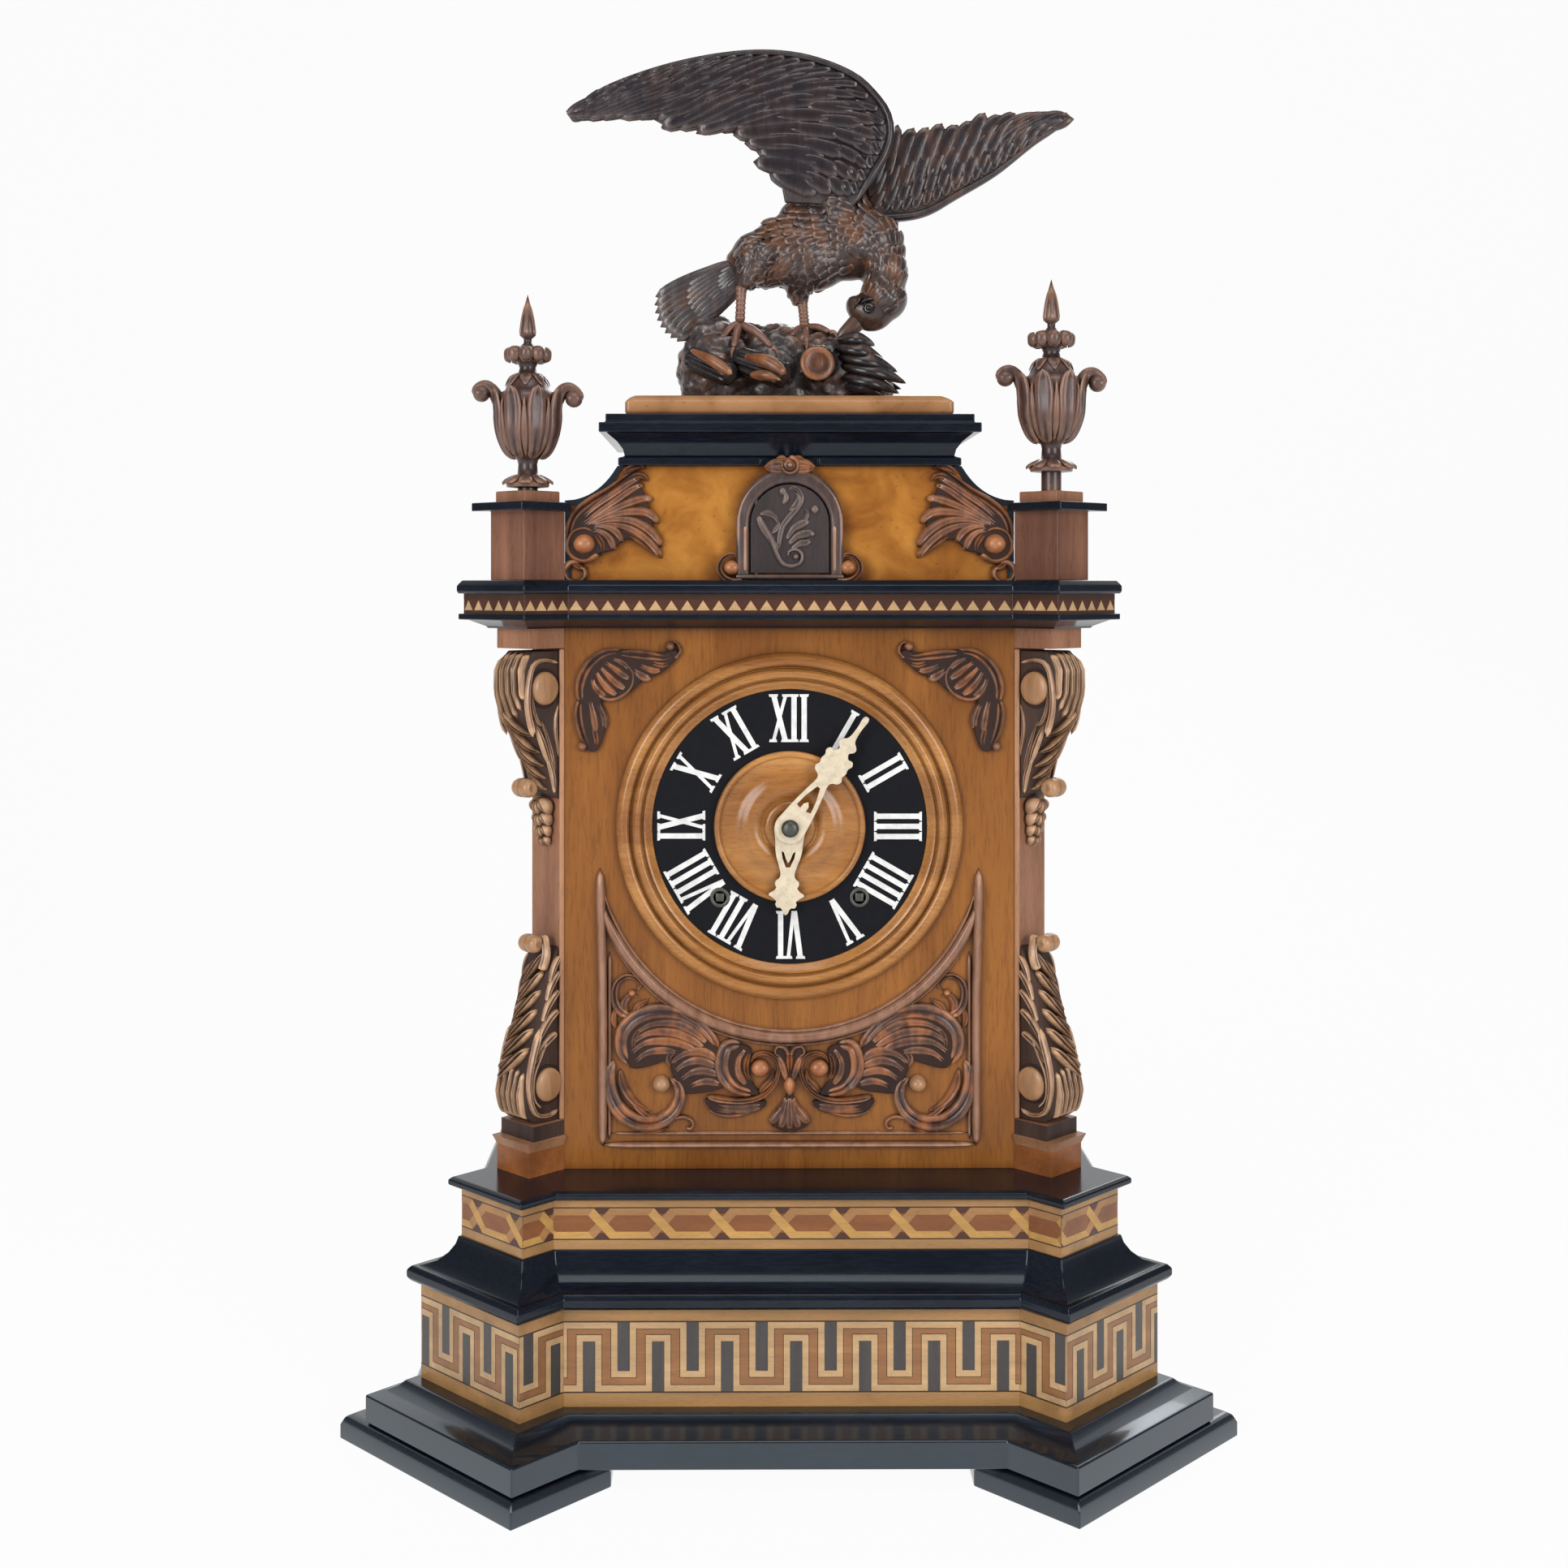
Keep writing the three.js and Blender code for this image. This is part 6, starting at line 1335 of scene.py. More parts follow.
# %% Corner shells
shell_drawing = sheet(0.1123, -167.4, 447.97)
shell_cuts = [
    ("strap", 3.0, 5.4, [(470, 372), (458, 296), (478, 220), (524, 156), (590, 116), (676, 112)], HOLLOW),
    ("tongue", 2.6, 4.8, [(520, 226), (528, 270), (552, 306), (592, 336)], FLUTED),
    ("tongue", 2.7, 5.2, [(536, 200), (562, 248), (600, 294), (646, 328)], FLUTED),
    ("tongue", 2.7, 5.2, [(552, 178), (594, 222), (640, 266), (688, 298)], FLUTED),
    ("tongue", 2.6, 5.0, [(572, 156), (620, 186), (664, 220), (708, 250)], FLUTED),
    ("tongue", 2.2, 4.6, [(594, 142), (640, 152), (680, 174), (704, 204)], FLUTED),
    ("stem", 1.6, 4.2, [(540, 312), (592, 346), (652, 336), (704, 296), (722, 240), (706, 192), (660, 152)]),
    ("strap", 2.8, 5.0, [(640, 118), (730, 124), (820, 134), (884, 140), (944, 112)], HOLLOW),
    ("tongue", 2.8, 4.4, [(700, 180), (740, 214), (776, 236), (812, 240)], FLUTED),
    ("tongue", 2.5, 4.4, [(724, 158), (780, 190), (826, 204), (868, 200)], FLUTED),
    ("leaf", 2.2, 4.0, [(800, 158), (850, 176), (890, 172), (926, 150)], VEINED),
    ("round", 2.9, 5.6, [(880, 86), (904, 85), (928, 84)]),
    ("stem", 1.3, 3.8, [(925, 146), (952, 110), (940, 74), (914, 62)]),
    ("strap", 2.7, 5.0, [(462, 344), (452, 410), (464, 490), (490, 556), (520, 600)], HOLLOW),
    ("tongue", 2.7, 4.6, [(500, 318), (520, 390), (534, 460), (536, 520)], FLUTED),
    ("tongue", 2.4, 4.4, [(530, 336), (560, 388), (578, 440), (580, 496)], FLUTED),
    ("leaf", 2.2, 4.2, [(520, 470), (536, 520), (540, 560), (528, 600)], VEINED),
    ("round", 2.9, 5.4, [(449, 577), (473, 577), (497, 577)]),
]
shell_ground = [(452, 330), (462, 250), (505, 170), (575, 112), (700, 102), (850, 116), (930, 104),
                (940, 140), (896, 184), (850, 222), (770, 250), (718, 300), (652, 342), (594, 344),
                (562, 352), (588, 440), (582, 500), (548, 592), (500, 596), (474, 520), (456, 420)]
for side, mirrored in (("left", False), ("right", True)):
    whole_carving(carve(shell_drawing, shell_cuts, mirrored), "spandrel-" + side, carving, "spandrel_" + side)
    # Painted shade: a dark board under the shell stands for the shade between its cuts.
    ground = dark_ground(shell_drawing, shell_ground, 2.9, mirrored)
    finished(ground, "spandrel-ground-" + side, shade_ground_wood, body="case")
print("corner shells carved")

# %% [markdown]
# ## Attic carvings
# On each side a fan of long flutes springs from a round boss and spreads towards the middle, under a hollow
# strap that rises with the curve of the attic's flank. A scroll curls round the boss, and a smaller one
# below.

# %% Attic leaves
attic_drawing = sheet(0.12478, -189.9, 544.5)
attic_cuts = [
    ("strap", 3.0, 6.2, [(552, 420), (547, 340), (574, 268), (640, 212), (722, 162), (796, 106), (850, 66)],
     HOLLOW, {"rings": 28}),
    ("tongue", 2.8, 6.6, [(584, 304), (660, 236), (744, 178), (820, 126), (866, 98)], FLUTED),
    ("tongue", 3.0, 6.8, [(586, 330), (668, 266), (750, 210), (822, 158), (880, 132)], FLUTED),
    ("tongue", 3.2, 7.4, [(606, 322), (700, 268), (790, 226), (866, 200), (922, 196)], FLUTED),
    ("tongue", 3.3, 7.6, [(622, 316), (718, 276), (812, 256), (892, 262), (944, 308)], FLUTED),
    ("tongue", 3.4, 7.6, [(632, 314), (730, 290), (826, 296), (906, 344), (958, 412)], FLUTED),
    ("tongue", 3.3, 7.2, [(640, 322), (738, 312), (826, 334), (900, 388), (956, 462)], FLUTED),
    ("leaf", 2.6, 6.4, [(800, 350), (846, 372), (896, 408), (944, 458)], VEINED),
    ("tongue", 3.0, 7.0, [(640, 318), (706, 320), (756, 344), (784, 392)], FLUTED),
    ("tongue", 3.0, 6.6, [(632, 332), (690, 344), (728, 376), (746, 428)], FLUTED),
    ("leaf", 2.6, 6.0, [(650, 346), (678, 372), (696, 408), (690, 450)], VEINED),
    ("stem", 2.0, 6.6, [(680, 436), (622, 472), (562, 454), (540, 402), (562, 348), (612, 328), (660, 346)],
     {"rings": 24}),
    ("stem", 2.4, 4.8, [(606, 474), (556, 478), (526, 516), (542, 556), (586, 566), (616, 538), (608, 504),
                        (580, 504)]),
    ("leaf", 2.4, 4.4, [(556, 468), (578, 490), (600, 502), (632, 502)], VEINED),
    ("leaf", 3.0, 6.0, [(786, 84), (820, 60), (856, 52), (886, 66)], VEINED),
    ("leaf", 2.6, 5.4, [(812, 108), (846, 96), (872, 98), (896, 120)], VEINED),
]
attic_ground = [(548, 470), (550, 330), (580, 262), (655, 206), (735, 158), (805, 102), (842, 80), (852, 112),
                (870, 156), (892, 212), (908, 270), (924, 340), (944, 404), (946, 452), (900, 420),
                (838, 384), (798, 376), (768, 398), (738, 426), (690, 436), (660, 450), (618, 478),
                (570, 480)]
for side, mirrored in (("left", False), ("right", True)):
    attic_leaf = carve(attic_drawing, attic_cuts, mirrored)
    whole_carving(attic_leaf, "attic-leaf-" + side, attic_carving, "attic_leaf_" + side)
    # Painted shade: a dark board under the leaves stands for the shade between them.
    ground = dark_ground(attic_drawing, attic_ground, 3.9, mirrored)
    finished(ground, "attic-ground-" + side, shade_ground_wood, body="case")
attic_bosses = [boss(side * 113.4, 494.8, 6.3, 9.0) for side in SIDES.values()]
whole_carving(attic_bosses, "attic-bosses", bud_wood, body="case")
print("attic leaves carved")

# %% [markdown]
# The flank of the attic, a hollow curve, is painted black: a thin strip follows it on each side.

# %% Black edge of the attic
ATTIC_LOW, ATTIC_SHOULDER, ATTIC_NECK = 475.0, 517.6, 538.2
for name, side in SIDES.items():
    hollow = []
    for k in range(13):
        t = k / 12
        u = (1 - t) ** 2 * 121.5 + 2 * t * (1 - t) * 104 + t ** 2 * 94
        v = (1 - t) ** 2 * ATTIC_SHOULDER + 2 * t * (1 - t) * (ATTIC_SHOULDER + 2) + t ** 2 * ATTIC_NECK
        hollow.append((u, v))
    outer = [(124.2, ATTIC_LOW), (124.2, ATTIC_SHOULDER + 1.4)]
    outer += [(u + 0.4, v + 1.4) for u, v in hollow[1:-1]] + [(95, ATTIC_NECK)]
    inner = [(120.6, ATTIC_LOW), (120.6, ATTIC_SHOULDER - 1.2)]
    inner += [(u - 1.6, v - 1.6) for u, v in hollow[1:-1]] + [(92, ATTIC_NECK)]
    outline = [(side * u, v) for u, v in outer + inner[::-1]]
    ribbon = board(anticlockwise(outline), 10.8, face_place(0, 10, 0))
    finished(ribbon, "attic-edge-" + name, black, body="case", slot="ebonised_black")
print("attic edges laid")

# %% [markdown]
# ## Cuckoo door
# The door is a grey-brown plaque with a curled sprig and berries. Its frame is a dark arch with rounded
# edges. A bead follows its crown and a straight rib runs down each side, both in a lighter finish that is a
# painted highlight. The crest is a rosette between pointed leaves, and each foot has a small scroll with a
# bud. The sprig rides on the door, all the rest on the case.

# %% Door and frame
def arch_line(half, low, spring, steps=18):
    angles = [math.pi * k / steps for k in range(steps + 1)]
    crown = [(-half * math.cos(a), spring + half * math.sin(a)) for a in angles]
    return [(-half, low)] + crown + [(half, low)]


door_drawing = sheet(0.07487, -41.6, 549.0)
dressed("cuckoo_door", plaque_wood, 0.3)
outer = arch_line(29.6, 476.2, 507.2)
inner = arch_line(22.1, 476.2, 506)
frame_arch = board((outer + inner[::-1])[::-1], 8.2, face_place(0, 0, 0), 2.4, 4)
sill = board([(-29.6, 475.6), (29.6, 475.6), (29.6, 478.0), (-29.6, 478.0)], 8.6, face_place(0, 0, 0), 0.8, 2)
finished(joined([frame_arch, sill]), "door-frame", frame_wood, "cuckoo_door_frame")
# The beads and ribs take the lighter rim finish, a painted highlight.
side_ribs = [cut([(side * 24.6, 479.5), (side * 24.6, 505)], 1.1, 1.2, "rib", sides=8, rings=20, lift=7.8)
             for side in SIDES.values()]
arch_bead = [cut(arch_line(28.3, 490, 506), 0.9, 1.2, "rib", sides=8, rings=72, lift=7.0)]
whole_carving(arch_bead + side_ribs, "door-frame-beads", rim_wood, body="case")
scroll_foot = [
    ("scroll", 2.6, 4.2, [(226, 988), (150, 1004), (74, 974), (36, 904), (66, 830), (134, 800), (190, 830)],
     HOLLOW),
    ("leaf", 1.9, 2.8, [(176, 790), (206, 846), (216, 910), (206, 966)], VEINED),
]
crest = [("leaf", 3.2, 3.8, [(530, 142), (476, 136), (424, 142), (366, 158)], VEINED),
         ("leaf", 2.8, 3.4, [(520, 186), (470, 180), (424, 176), (376, 172)], VEINED),
         ("leaf", 2.0, 3.2, [(536, 110), (500, 96), (470, 104), (440, 124)], VEINED)]
frame_cuts = []
for mirrored in (False, True):
    frame_cuts += carve(door_drawing, scroll_foot, mirrored, lift=5.6)
    frame_cuts += carve(door_drawing, crest, mirrored, lift=6.4)
crown_angles = [math.radians(a) for a in range(-100, 230, 15)]
crown = [(555.6 + 58 * math.cos(a), 146 + 58 * math.sin(a)) for a in crown_angles]
frame_cuts += carve(door_drawing, [("stem", 1.7, 4.6, crown, {"rings": 30})], lift=6.4)
frame_cuts += [boss(0, 538.1, 4.6, 2.6, lift=6.4), boss(0, 538.1, 2.0, 5.0, lift=6.4)]
whole_carving(frame_cuts, "door-frame-carving", carving, body="case")
foot_buds = [boss(side * 32.0, 481.6, 4.3, 4.6, lift=5.4) for side in SIDES.values()]
whole_carving(foot_buds, "door-frame-buds", bud_wood, body="case")
sprig = [
    ("stem", 1.9, 2.6, [(326, 512), (356, 580), (408, 668), (452, 770), (494, 856), (560, 886), (630, 862),
                        (644, 800), (600, 764), (548, 780), (544, 824)], {"rings": 34}),
    ("tongue", 2.4, 2.4, [(470, 780), (420, 690), (366, 610), (318, 520)], FLUTED),
    ("leaf", 2.2, 2.2, [(332, 505), (396, 500), (446, 530), (470, 584)], VEINED),
    ("leaf", 1.8, 2.0, [(418, 650), (456, 612), (474, 578), (468, 540)], VEINED),
    ("strap", 1.9, 2.4, [(472, 770), (480, 684), (500, 602), (540, 540), (600, 470), (640, 400), (626, 342),
                         (582, 310), (542, 330)], HOLLOW, {"rings": 30}),
    ("leaf", 2.4, 2.2, [(548, 480), (600, 440), (618, 390), (598, 342)], VEINED),
    ("leaf", 2.0, 2.0, [(500, 430), (528, 390), (520, 350), (490, 330)]),
    ("tongue", 2.4, 2.4, [(530, 690), (580, 614), (634, 580), (700, 556)], FLUTED),
    ("tongue", 2.5, 2.5, [(548, 726), (606, 668), (668, 650), (730, 640)], FLUTED),
    ("tongue", 2.2, 2.3, [(566, 764), (626, 722), (672, 716), (710, 694)], FLUTED),
    ("leaf", 1.6, 2.0, [(640, 570), (676, 534), (684, 492), (660, 462)], VEINED),
    ("round", 2.5, 2.4, [(708, 472), (738, 470), (768, 468)]),
    ("round", 2.3, 2.2, [(476, 338), (504, 336), (532, 334)]),
    ("round", 1.8, 2.8, [(694, 652), (718, 650), (742, 648)]),
    ("round", 1.8, 2.8, [(578, 818), (600, 818), (622, 818)]),
]
whole_carving(carve(door_drawing, sprig, lift=7.3), "door-sprig", sprig_wood, body="cuckoo_door")
print("door and frame carved")

# %% [markdown]
# ## The dial
# The bezel and the middle of the dial are turned from the panel's own wood: beads, a hollow and a raised
# ring. Each is one closed profile of radius and height, spun about the dial's centre.

# %% Bezel and dial centre
DIAL_CENTRE = Vector((0, PANEL_Y, DIAL_Z))
TOWARDS_VIEWER = (0, -1, 0)
bezel_profile = [(95.8, 0), (95.9, 1.6), (95.3, 3.4), (93.9, 4.9), (92, 5.7), (90, 5.4), (88.6, 4.3),
                 (88.1, 3.2), (87.6, 3.1), (87.2, 4.2), (86.6, 5.9), (85.3, 7.3), (83.9, 7.9), (82.6, 7.4),
                 (82, 6.2), (81.6, 5.2), (81.2, 5.1), (80.8, 5.8), (80.2, 6.3), (79.4, 6), (78.2, 5),
                 (77.2, 4.1), (76.4, 3.6), (75.9, 3.3), (75.8, 2.8), (80.4, 2.8), (80.4, 0)]
bezel = turned(bezel_profile, DIAL_CENTRE, TOWARDS_VIEWER, 128)
finished(bezel, "dial-bezel", turned_wood, "dial_bezel", smooth=50)

centre_profile = [(41.7, 2.5), (41.8, 4.6), (41.3, 6.2), (40.1, 6.9), (38.9, 6.5), (38.3, 5.4), (38, 4.7),
                  (37, 4.5), (34, 4.1), (31, 4.1), (28.8, 4.5), (26.8, 5.4), (24.6, 6.5), (21.8, 7),
                  (19, 6.5), (17, 5.4), (15.6, 4.4), (15, 3.9), (14.4, 3.9), (14, 4.7), (12.9, 5.5),
                  (11.2, 5.8), (9.4, 5.7), (8.2, 5.2), (8.2, 2.5)]
dial_middle = turned(centre_profile, DIAL_CENTRE, TOWARDS_VIEWER, 96)
finished(dial_middle, "dial-centre", turned_wood, "dial_centre", smooth=50)
dressed("chapter_plate", dial_black, 0.2)
print("dial turned, faces", len(bezel.data.polygons) + len(dial_middle.data.polygons))

# %% [markdown]
# Two black rings line the winding holes, in front of the square ends of the winding arbors.

# %% Rings round the winding holes
WINDING_X, WINDING_UP = 38.5, 299.8
ring_profile = [(3.6, 2.3), (3.6, 3.3), (4.1, 3.7), (5.1, 3.7), (5.6, 3.2), (5.6, 2.3)]
rings_made = [turned(ring_profile, at(x, 0, WINDING_UP), TOWARDS_VIEWER, 32) for x in (WINDING_X, -WINDING_X)]
finished(joined(rings_made), "winding-hole-rings", nut_steel, body="case", slot="ebonised_black", smooth=50)

# %% [markdown]
# The Roman numerals are white strokes with square serifs, set with their feet towards the centre. Each letter
# is drawn once as a few straight strokes: a thick one, a thin one and their serifs. The thin stroke is the
# upstroke of a pen, and four is written IIII, as usual on dials.

# %% Numerals
NUMERAL_IN, NUMERAL_OUT = 46.6, 73.0
THICK_HALF, THIN_HALF = 1.45, 0.95


def slanted(x0, v0, x1, v1, half):
    """A straight stroke between two heights; its ends are level."""
    return [(x0 - half, v0), (x0 + half, v0), (x1 + half, v1), (x1 - half, v1)]


def foot(x, v, way, half=2.6):
    return [(x - half, v), (x + half, v), (x + half * 0.86, v + way * 1.5), (x - half * 0.86, v + way * 1.5)]


def letter(kind):
    low, high = NUMERAL_IN, NUMERAL_OUT
    if kind == "I":
        return 5.6, [slanted(0, low, 0, high, THICK_HALF), foot(0, low, 1), foot(0, high, -1)]
    if kind == "V":
        return 10.0, [slanted(-3.2, high, 0.2, low, THICK_HALF), slanted(3.6, high, 0.8, low, THIN_HALF),
                      foot(-3.2, high, -1), foot(3.5, high, -1, 2.2), foot(0.3, low, 1, 1.6)]
    return 10.4, [slanted(-3.4, high, 3.4, low, 1.5), slanted(3.5, high, -3.5, low, THIN_HALF),
                  foot(-3.4, high, -1), foot(3.5, high, -1, 2.2), foot(-3.5, low, 1, 2.2), foot(3.4, low, 1)]


numerals = ["XII", "I", "II", "III", "IIII", "V", "VI", "VII", "VIII", "IX", "X", "XI"]
strokes = []
for hour, numeral in enumerate(numerals):
    letters = [letter(kind) for kind in numeral]
    start = -sum(width for width, _ in letters) / 2
    turn = Matrix.Rotation(math.radians(30 * hour), 4, "Y")
    for width, shapes in letters:
        for k, shape in enumerate(shapes):
            moved = [(x + start + width / 2, v) for x, v in shape]
            proud = Vector((0, -mm(2.4 + 0.02 * k), 0))
            place = Matrix.Translation(DIAL_CENTRE) @ turn @ wall_place(proud, (1, 0, 0))
            strokes.append(veneer(moved, 0.75, place))
        start += width
finished(joined(strokes), "numerals", numeral_white, body="case", slot="bone")
print("numeral strokes", len(strokes))

# %% [markdown]
# The hands are sawn from bone sheet. Half of each outline is drawn and mirrored; the openings are cut out
# with a boolean, and the edges are rounded as a file would.

# %% Hands
def hand(half, openings, dots, back, thick, turn, name, node):
    outline = half + [(-x, y) for x, y in half[::-1] if x > 0.01]
    blank = board(smooth_corners(outline), thick)
    for opening in openings:
        cutter = board(opening, thick + 4)
        cutter.data.transform(Matrix.Translation((0, 0, -mm(2))))
        only(blank)
        hole = blank.modifiers.new("opening", "BOOLEAN")
        hole.object, hole.solver = cutter, "EXACT"
        bpy.ops.object.modifier_apply(modifier="opening")
        bpy.data.objects.remove(cutter)
    soften(blank, 0.28, 2, 40)
    pointing = Matrix.Rotation(math.radians(turn), 4, "Y")
    place = Matrix.Translation(DIAL_CENTRE) @ pointing @ wall_place(Vector((0, -mm(back), 0)), (1, 0, 0))
    blank.data.transform(place)
    lay = lambda u, v, w: place @ Vector((mm(u), mm(v), mm(w)))
    bosses = [boss(u, v, r, 0.45, lay, 10, 6, lift=thick - 0.05) for u, v, r in dots]
    return finished(joined([blank] + bosses), name, bone, node, smooth=40)


def smooth_corners(outline):
    """Rounds a drawn outline: each corner gives way to two points beside it."""
    result, count = [], len(outline)
    for i in range(count):
        before, here, after = (np.array(outline[(i + k) % count]) for k in (-1, 0, 1))
        result += [tuple(here + (before - here) * 0.22), tuple(here + (after - here) * 0.22)]
    return result


def round_hole(r, count=24):
    angles = [2 * math.pi * i / count for i in range(count)]
    return [(r * math.cos(angle), r * math.sin(angle)) for angle in angles]


hub = [(0, -8.6), (3.3, -8), (6.2, -6), (8.1, -3), (8.7, 0.6), (8.2, 4)]
hour_half = hub + [(7.6, 8), (7.4, 12.5), (6.6, 16.5), (5, 21), (3.7, 25.6), (4.4, 28), (6.6, 29.6),
                   (6.5, 31.8), (5.6, 33), (6.8, 34.8), (10.4, 37), (6.8, 39.2), (5.2, 40.6), (6, 42.2),
                   (4.9, 44.2), (3, 44), (1.9, 45.2), (1.3, 47), (0, 48.2)]
hour_slots = [round_hole(2.35), [(-3.9, 13), (-2.6, 13.6), (-1.4, 17), (0, 19.4), (1.4, 17), (2.6, 13.6),
                                 (3.9, 13), (3.2, 17), (1.2, 21.8), (-1.2, 21.8), (-3.2, 17)]]
minute_half = hub + [(7.8, 7), (7.2, 12), (6.2, 18), (4.8, 25), (3.5, 31), (4.6, 33.2), (7.6, 34.4),
                     (8.8, 36.8), (7.3, 39), (8.3, 41.8), (7.4, 44.4), (8.9, 47), (7.4, 49.4), (4.8, 48.8),
                     (3.4, 50.4), (3, 52), (4.9, 53.4), (5.6, 55.4), (4, 57.4), (2.5, 58.4), (1.6, 61),
                     (1.35, 67), (1.9, 72), (1.2, 74), (0, 74.2)]
minute_slots = [round_hole(2.35), [(-4.6, 13), (-1.9, 12.4), (-1.7, 15.4), (0, 17.6), (1.7, 15.4),
                                   (1.9, 12.4), (4.6, 13), (3.4, 20), (0.9, 27.4), (-0.9, 27.4), (-3.4, 20)]]
hour_dots = [(0, 37, 1.3), (-3.6, 37, 0.8), (3.6, 37, 0.8), (0, 33.4, 0.8), (0, 40.6, 0.8)]
minute_dots = [(0, 42, 1.2), (-4.2, 38, 0.8), (4.2, 38, 0.8), (-4.2, 46, 0.8), (4.2, 46, 0.8), (0, 55.3, 0.9)]
hand(hour_half, hour_slots, hour_dots, 8.0, 1.2, 183, "hour-hand", "hour_hand")
hand(minute_half, minute_slots, minute_dots, 10.4, 1.2, 35, "minute-hand", "minute_hand")
print("hands sawn")

nut_profile = [(0, 11.6), (4.5, 11.6), (4.8, 12), (4.8, 13.4), (4.2, 14.4), (3.2, 15.2), (1.4, 15.6),
               (0, 15.6)]
nut = turned(nut_profile, DIAL_CENTRE, TOWARDS_VIEWER, 24)
finished(nut, "hand-nut", nut_steel, body="minute_hand_arbor", slot="steel", smooth=50)

# %% [markdown]
# The square ends of the two winding arbors show in their holes. Each has a bevelled end, as the key wears it.

# %% Winding squares
SQUARE_HALF = 2.3
square_outline = [(SQUARE_HALF * x, SQUARE_HALF * y) for x, y in [(-1, -1), (1, -1), (1, 1), (-1, 1)]]
for name, node, x in [("going", "going_winding_arbor", WINDING_X), ("strike", "strike_barrel", -WINDING_X)]:
    square = board(square_outline, 1.6, face_place(x, -1.2, WINDING_UP), 0.5, 2)
    finished(square, name + "-winding-square", nut_steel, body=BODY_OF[node], slot="steel")
print("winding squares made")

# %% [markdown]
# ## Urns
# Each urn was turned on a lathe, then its cup was carved into petals. Two leaves curl out of the rim and
# end in balls, and eight round lobes ring the neck. Petals and lobes are cuts set around the urn's axis.
# The right urn stands higher on its peg than the left one.

# %% Places round an urn
URN_AXIS_X, URN_BEHIND, URN_SEAT = 144.3, -4.5, 523.9
LEFT_PEG, RIGHT_PEG = 0.8, 9.5
PETALS = 8


def ring_place(side, angle, r, up):
    """A place round the urn: angle in degrees from the front."""
    a = math.radians(angle)
    return side * URN_AXIS_X + r * math.sin(a), up, -URN_BEHIND + r * math.cos(a)


def ring_cut(side, angle, line, wide, high, kind, **more):
    a = math.radians(angle)
    places = [ring_place(side, angle + (p[2] if len(p) > 2 else 0), p[0], p[1]) for p in line]
    return cut(places, wide, high, kind, normal=(math.sin(a), 0.0, math.cos(a)), **more)


def urn_profile(lift):
    shape = [(0, 0), (5.5, 0), (5.5, 0.8), (11.5, 1.4), (12, 3.4), (8.6, 6.4), (5.6, 8.4), (5.2, 14),
             (5.8, 16.4), (9.4, 19), (13.8, 25), (16, 32), (16.8, 40), (16.4, 50), (15, 53.4), (12.4, 54.6),
             (11.2, 58), (8.8, 62), (5.2, 64.4), (4.4, 67), (5.4, 69.4), (8, 71.4), (9.2, 74), (8, 76.6),
             (4.4, 78.6), (2.2, 80.8), (2.2, 83), (4.4, 84.8), (4.6, 87), (3.4, 94), (1.9, 101), (0, 107.6)]
    return [(r, up + (lift if k > 1 else 0)) for k, (r, up) in enumerate(shape)]


# %% Carve the two urns
def make_urn(side, lift):
    seat = URN_SEAT + lift
    axis = at(side * URN_AXIS_X, URN_BEHIND, URN_SEAT)
    cuts = [turned(urn_profile(lift), axis, steps=48)]
    round_cup = [
        # radius and height of each place, half width, height, kind, sides, rings, turn and other wishes
        ([(7.5, 16.6), (12.8, 22), (16.2, 32), (16.8, 43), (18.2, 52.5), (20.2, 56)], 6.0, 2.6, "tongue", 16,
         20, 22.5, {"vein": 0.55}),
        ([(8, 18), (14, 26), (17.2, 38), (17.6, 50)], 2.3, 2.0, "leaf", 10, 14, 45, {}),
        ([(3.5, 74), (8.5, 74.2), (13.2, 74)], 4.4, 4.6, "round", 14, 12, 0, {"under": 1.0}),
        ([(5.8, 7.6), (10, 5.4), (14, 2.6)], 4.2, 2.0, "tongue", 12, 12, 0, {"vein": 0.2}),
        ([(5.0, 64), (9.4, 61.5), (12.4, 56.5)], 3.2, 1.0, "leaf", 10, 10, 0, {"vein": 0.3}),
    ]
    for k in range(PETALS):
        for line, wide, high, kind, sides, rings, turn, more in round_cup:
            raised = [(r, seat + up) for r, up in line]
            more = {"sides": sides, "rings": rings, **more}
            cuts.append(ring_cut(side, 45 * k + turn, raised, wide, high, kind, **more))
    for k in range(6):
        flute = [(4.3, seat + 85), (3.3, seat + 94), (1.6, seat + 102)]
        cuts.append(ring_cut(side, 60 * k, flute, 1.1, 0.9, "flute", sides=8, rings=12))
    for way, tip in ((-1, 2.0), (1, -1.0)):
        u, w = side * URN_AXIS_X, -URN_BEHIND
        curl = [(u + way * 15, seat + 47, w), (u + way * 19, seat + 54.5, w),
                (u + way * 23.5, seat + 56.5 + tip / 2, w), (u + way * 28, seat + 53.5 + tip, w),
                (u + way * 28.4, seat + 49.6 + tip, w)]
        cuts.append(cut(curl, 4.2, 2.4, "stem", sides=12, rings=18, under=1.0, normal=(0, 0, 1)))
        ball = [(u + way * 25.4, seat + 51 + tip, w + across) for across in (-5, 0, 5)]
        cuts.append(cut(ball, 4.8, 4.8, "round", sides=16, rings=14, under=1.0, normal=(1, 0, 0)))
    half = 12.6
    quarter = Matrix.Rotation(math.pi / 4, 4, "Z")
    seat_place = Matrix.Translation(at(side * URN_AXIS_X, URN_BEHIND, 517.5)) @ quarter
    plate = board([(-half, -half), (half, -half), (half, half), (-half, half)], 6.3, seat_place, 0.8, 2)
    name = "urn-" + ("left" if side < 0 else "right")
    whole_carving(cuts, name, urn_wood, name.replace("-", "_"))
    finished(plate, name + "-plate", pier_wood, body="case")


make_urn(SIDES["left"], LEFT_PEG)
make_urn(SIDES["right"], RIGHT_PEG)
print("urns turned and carved")

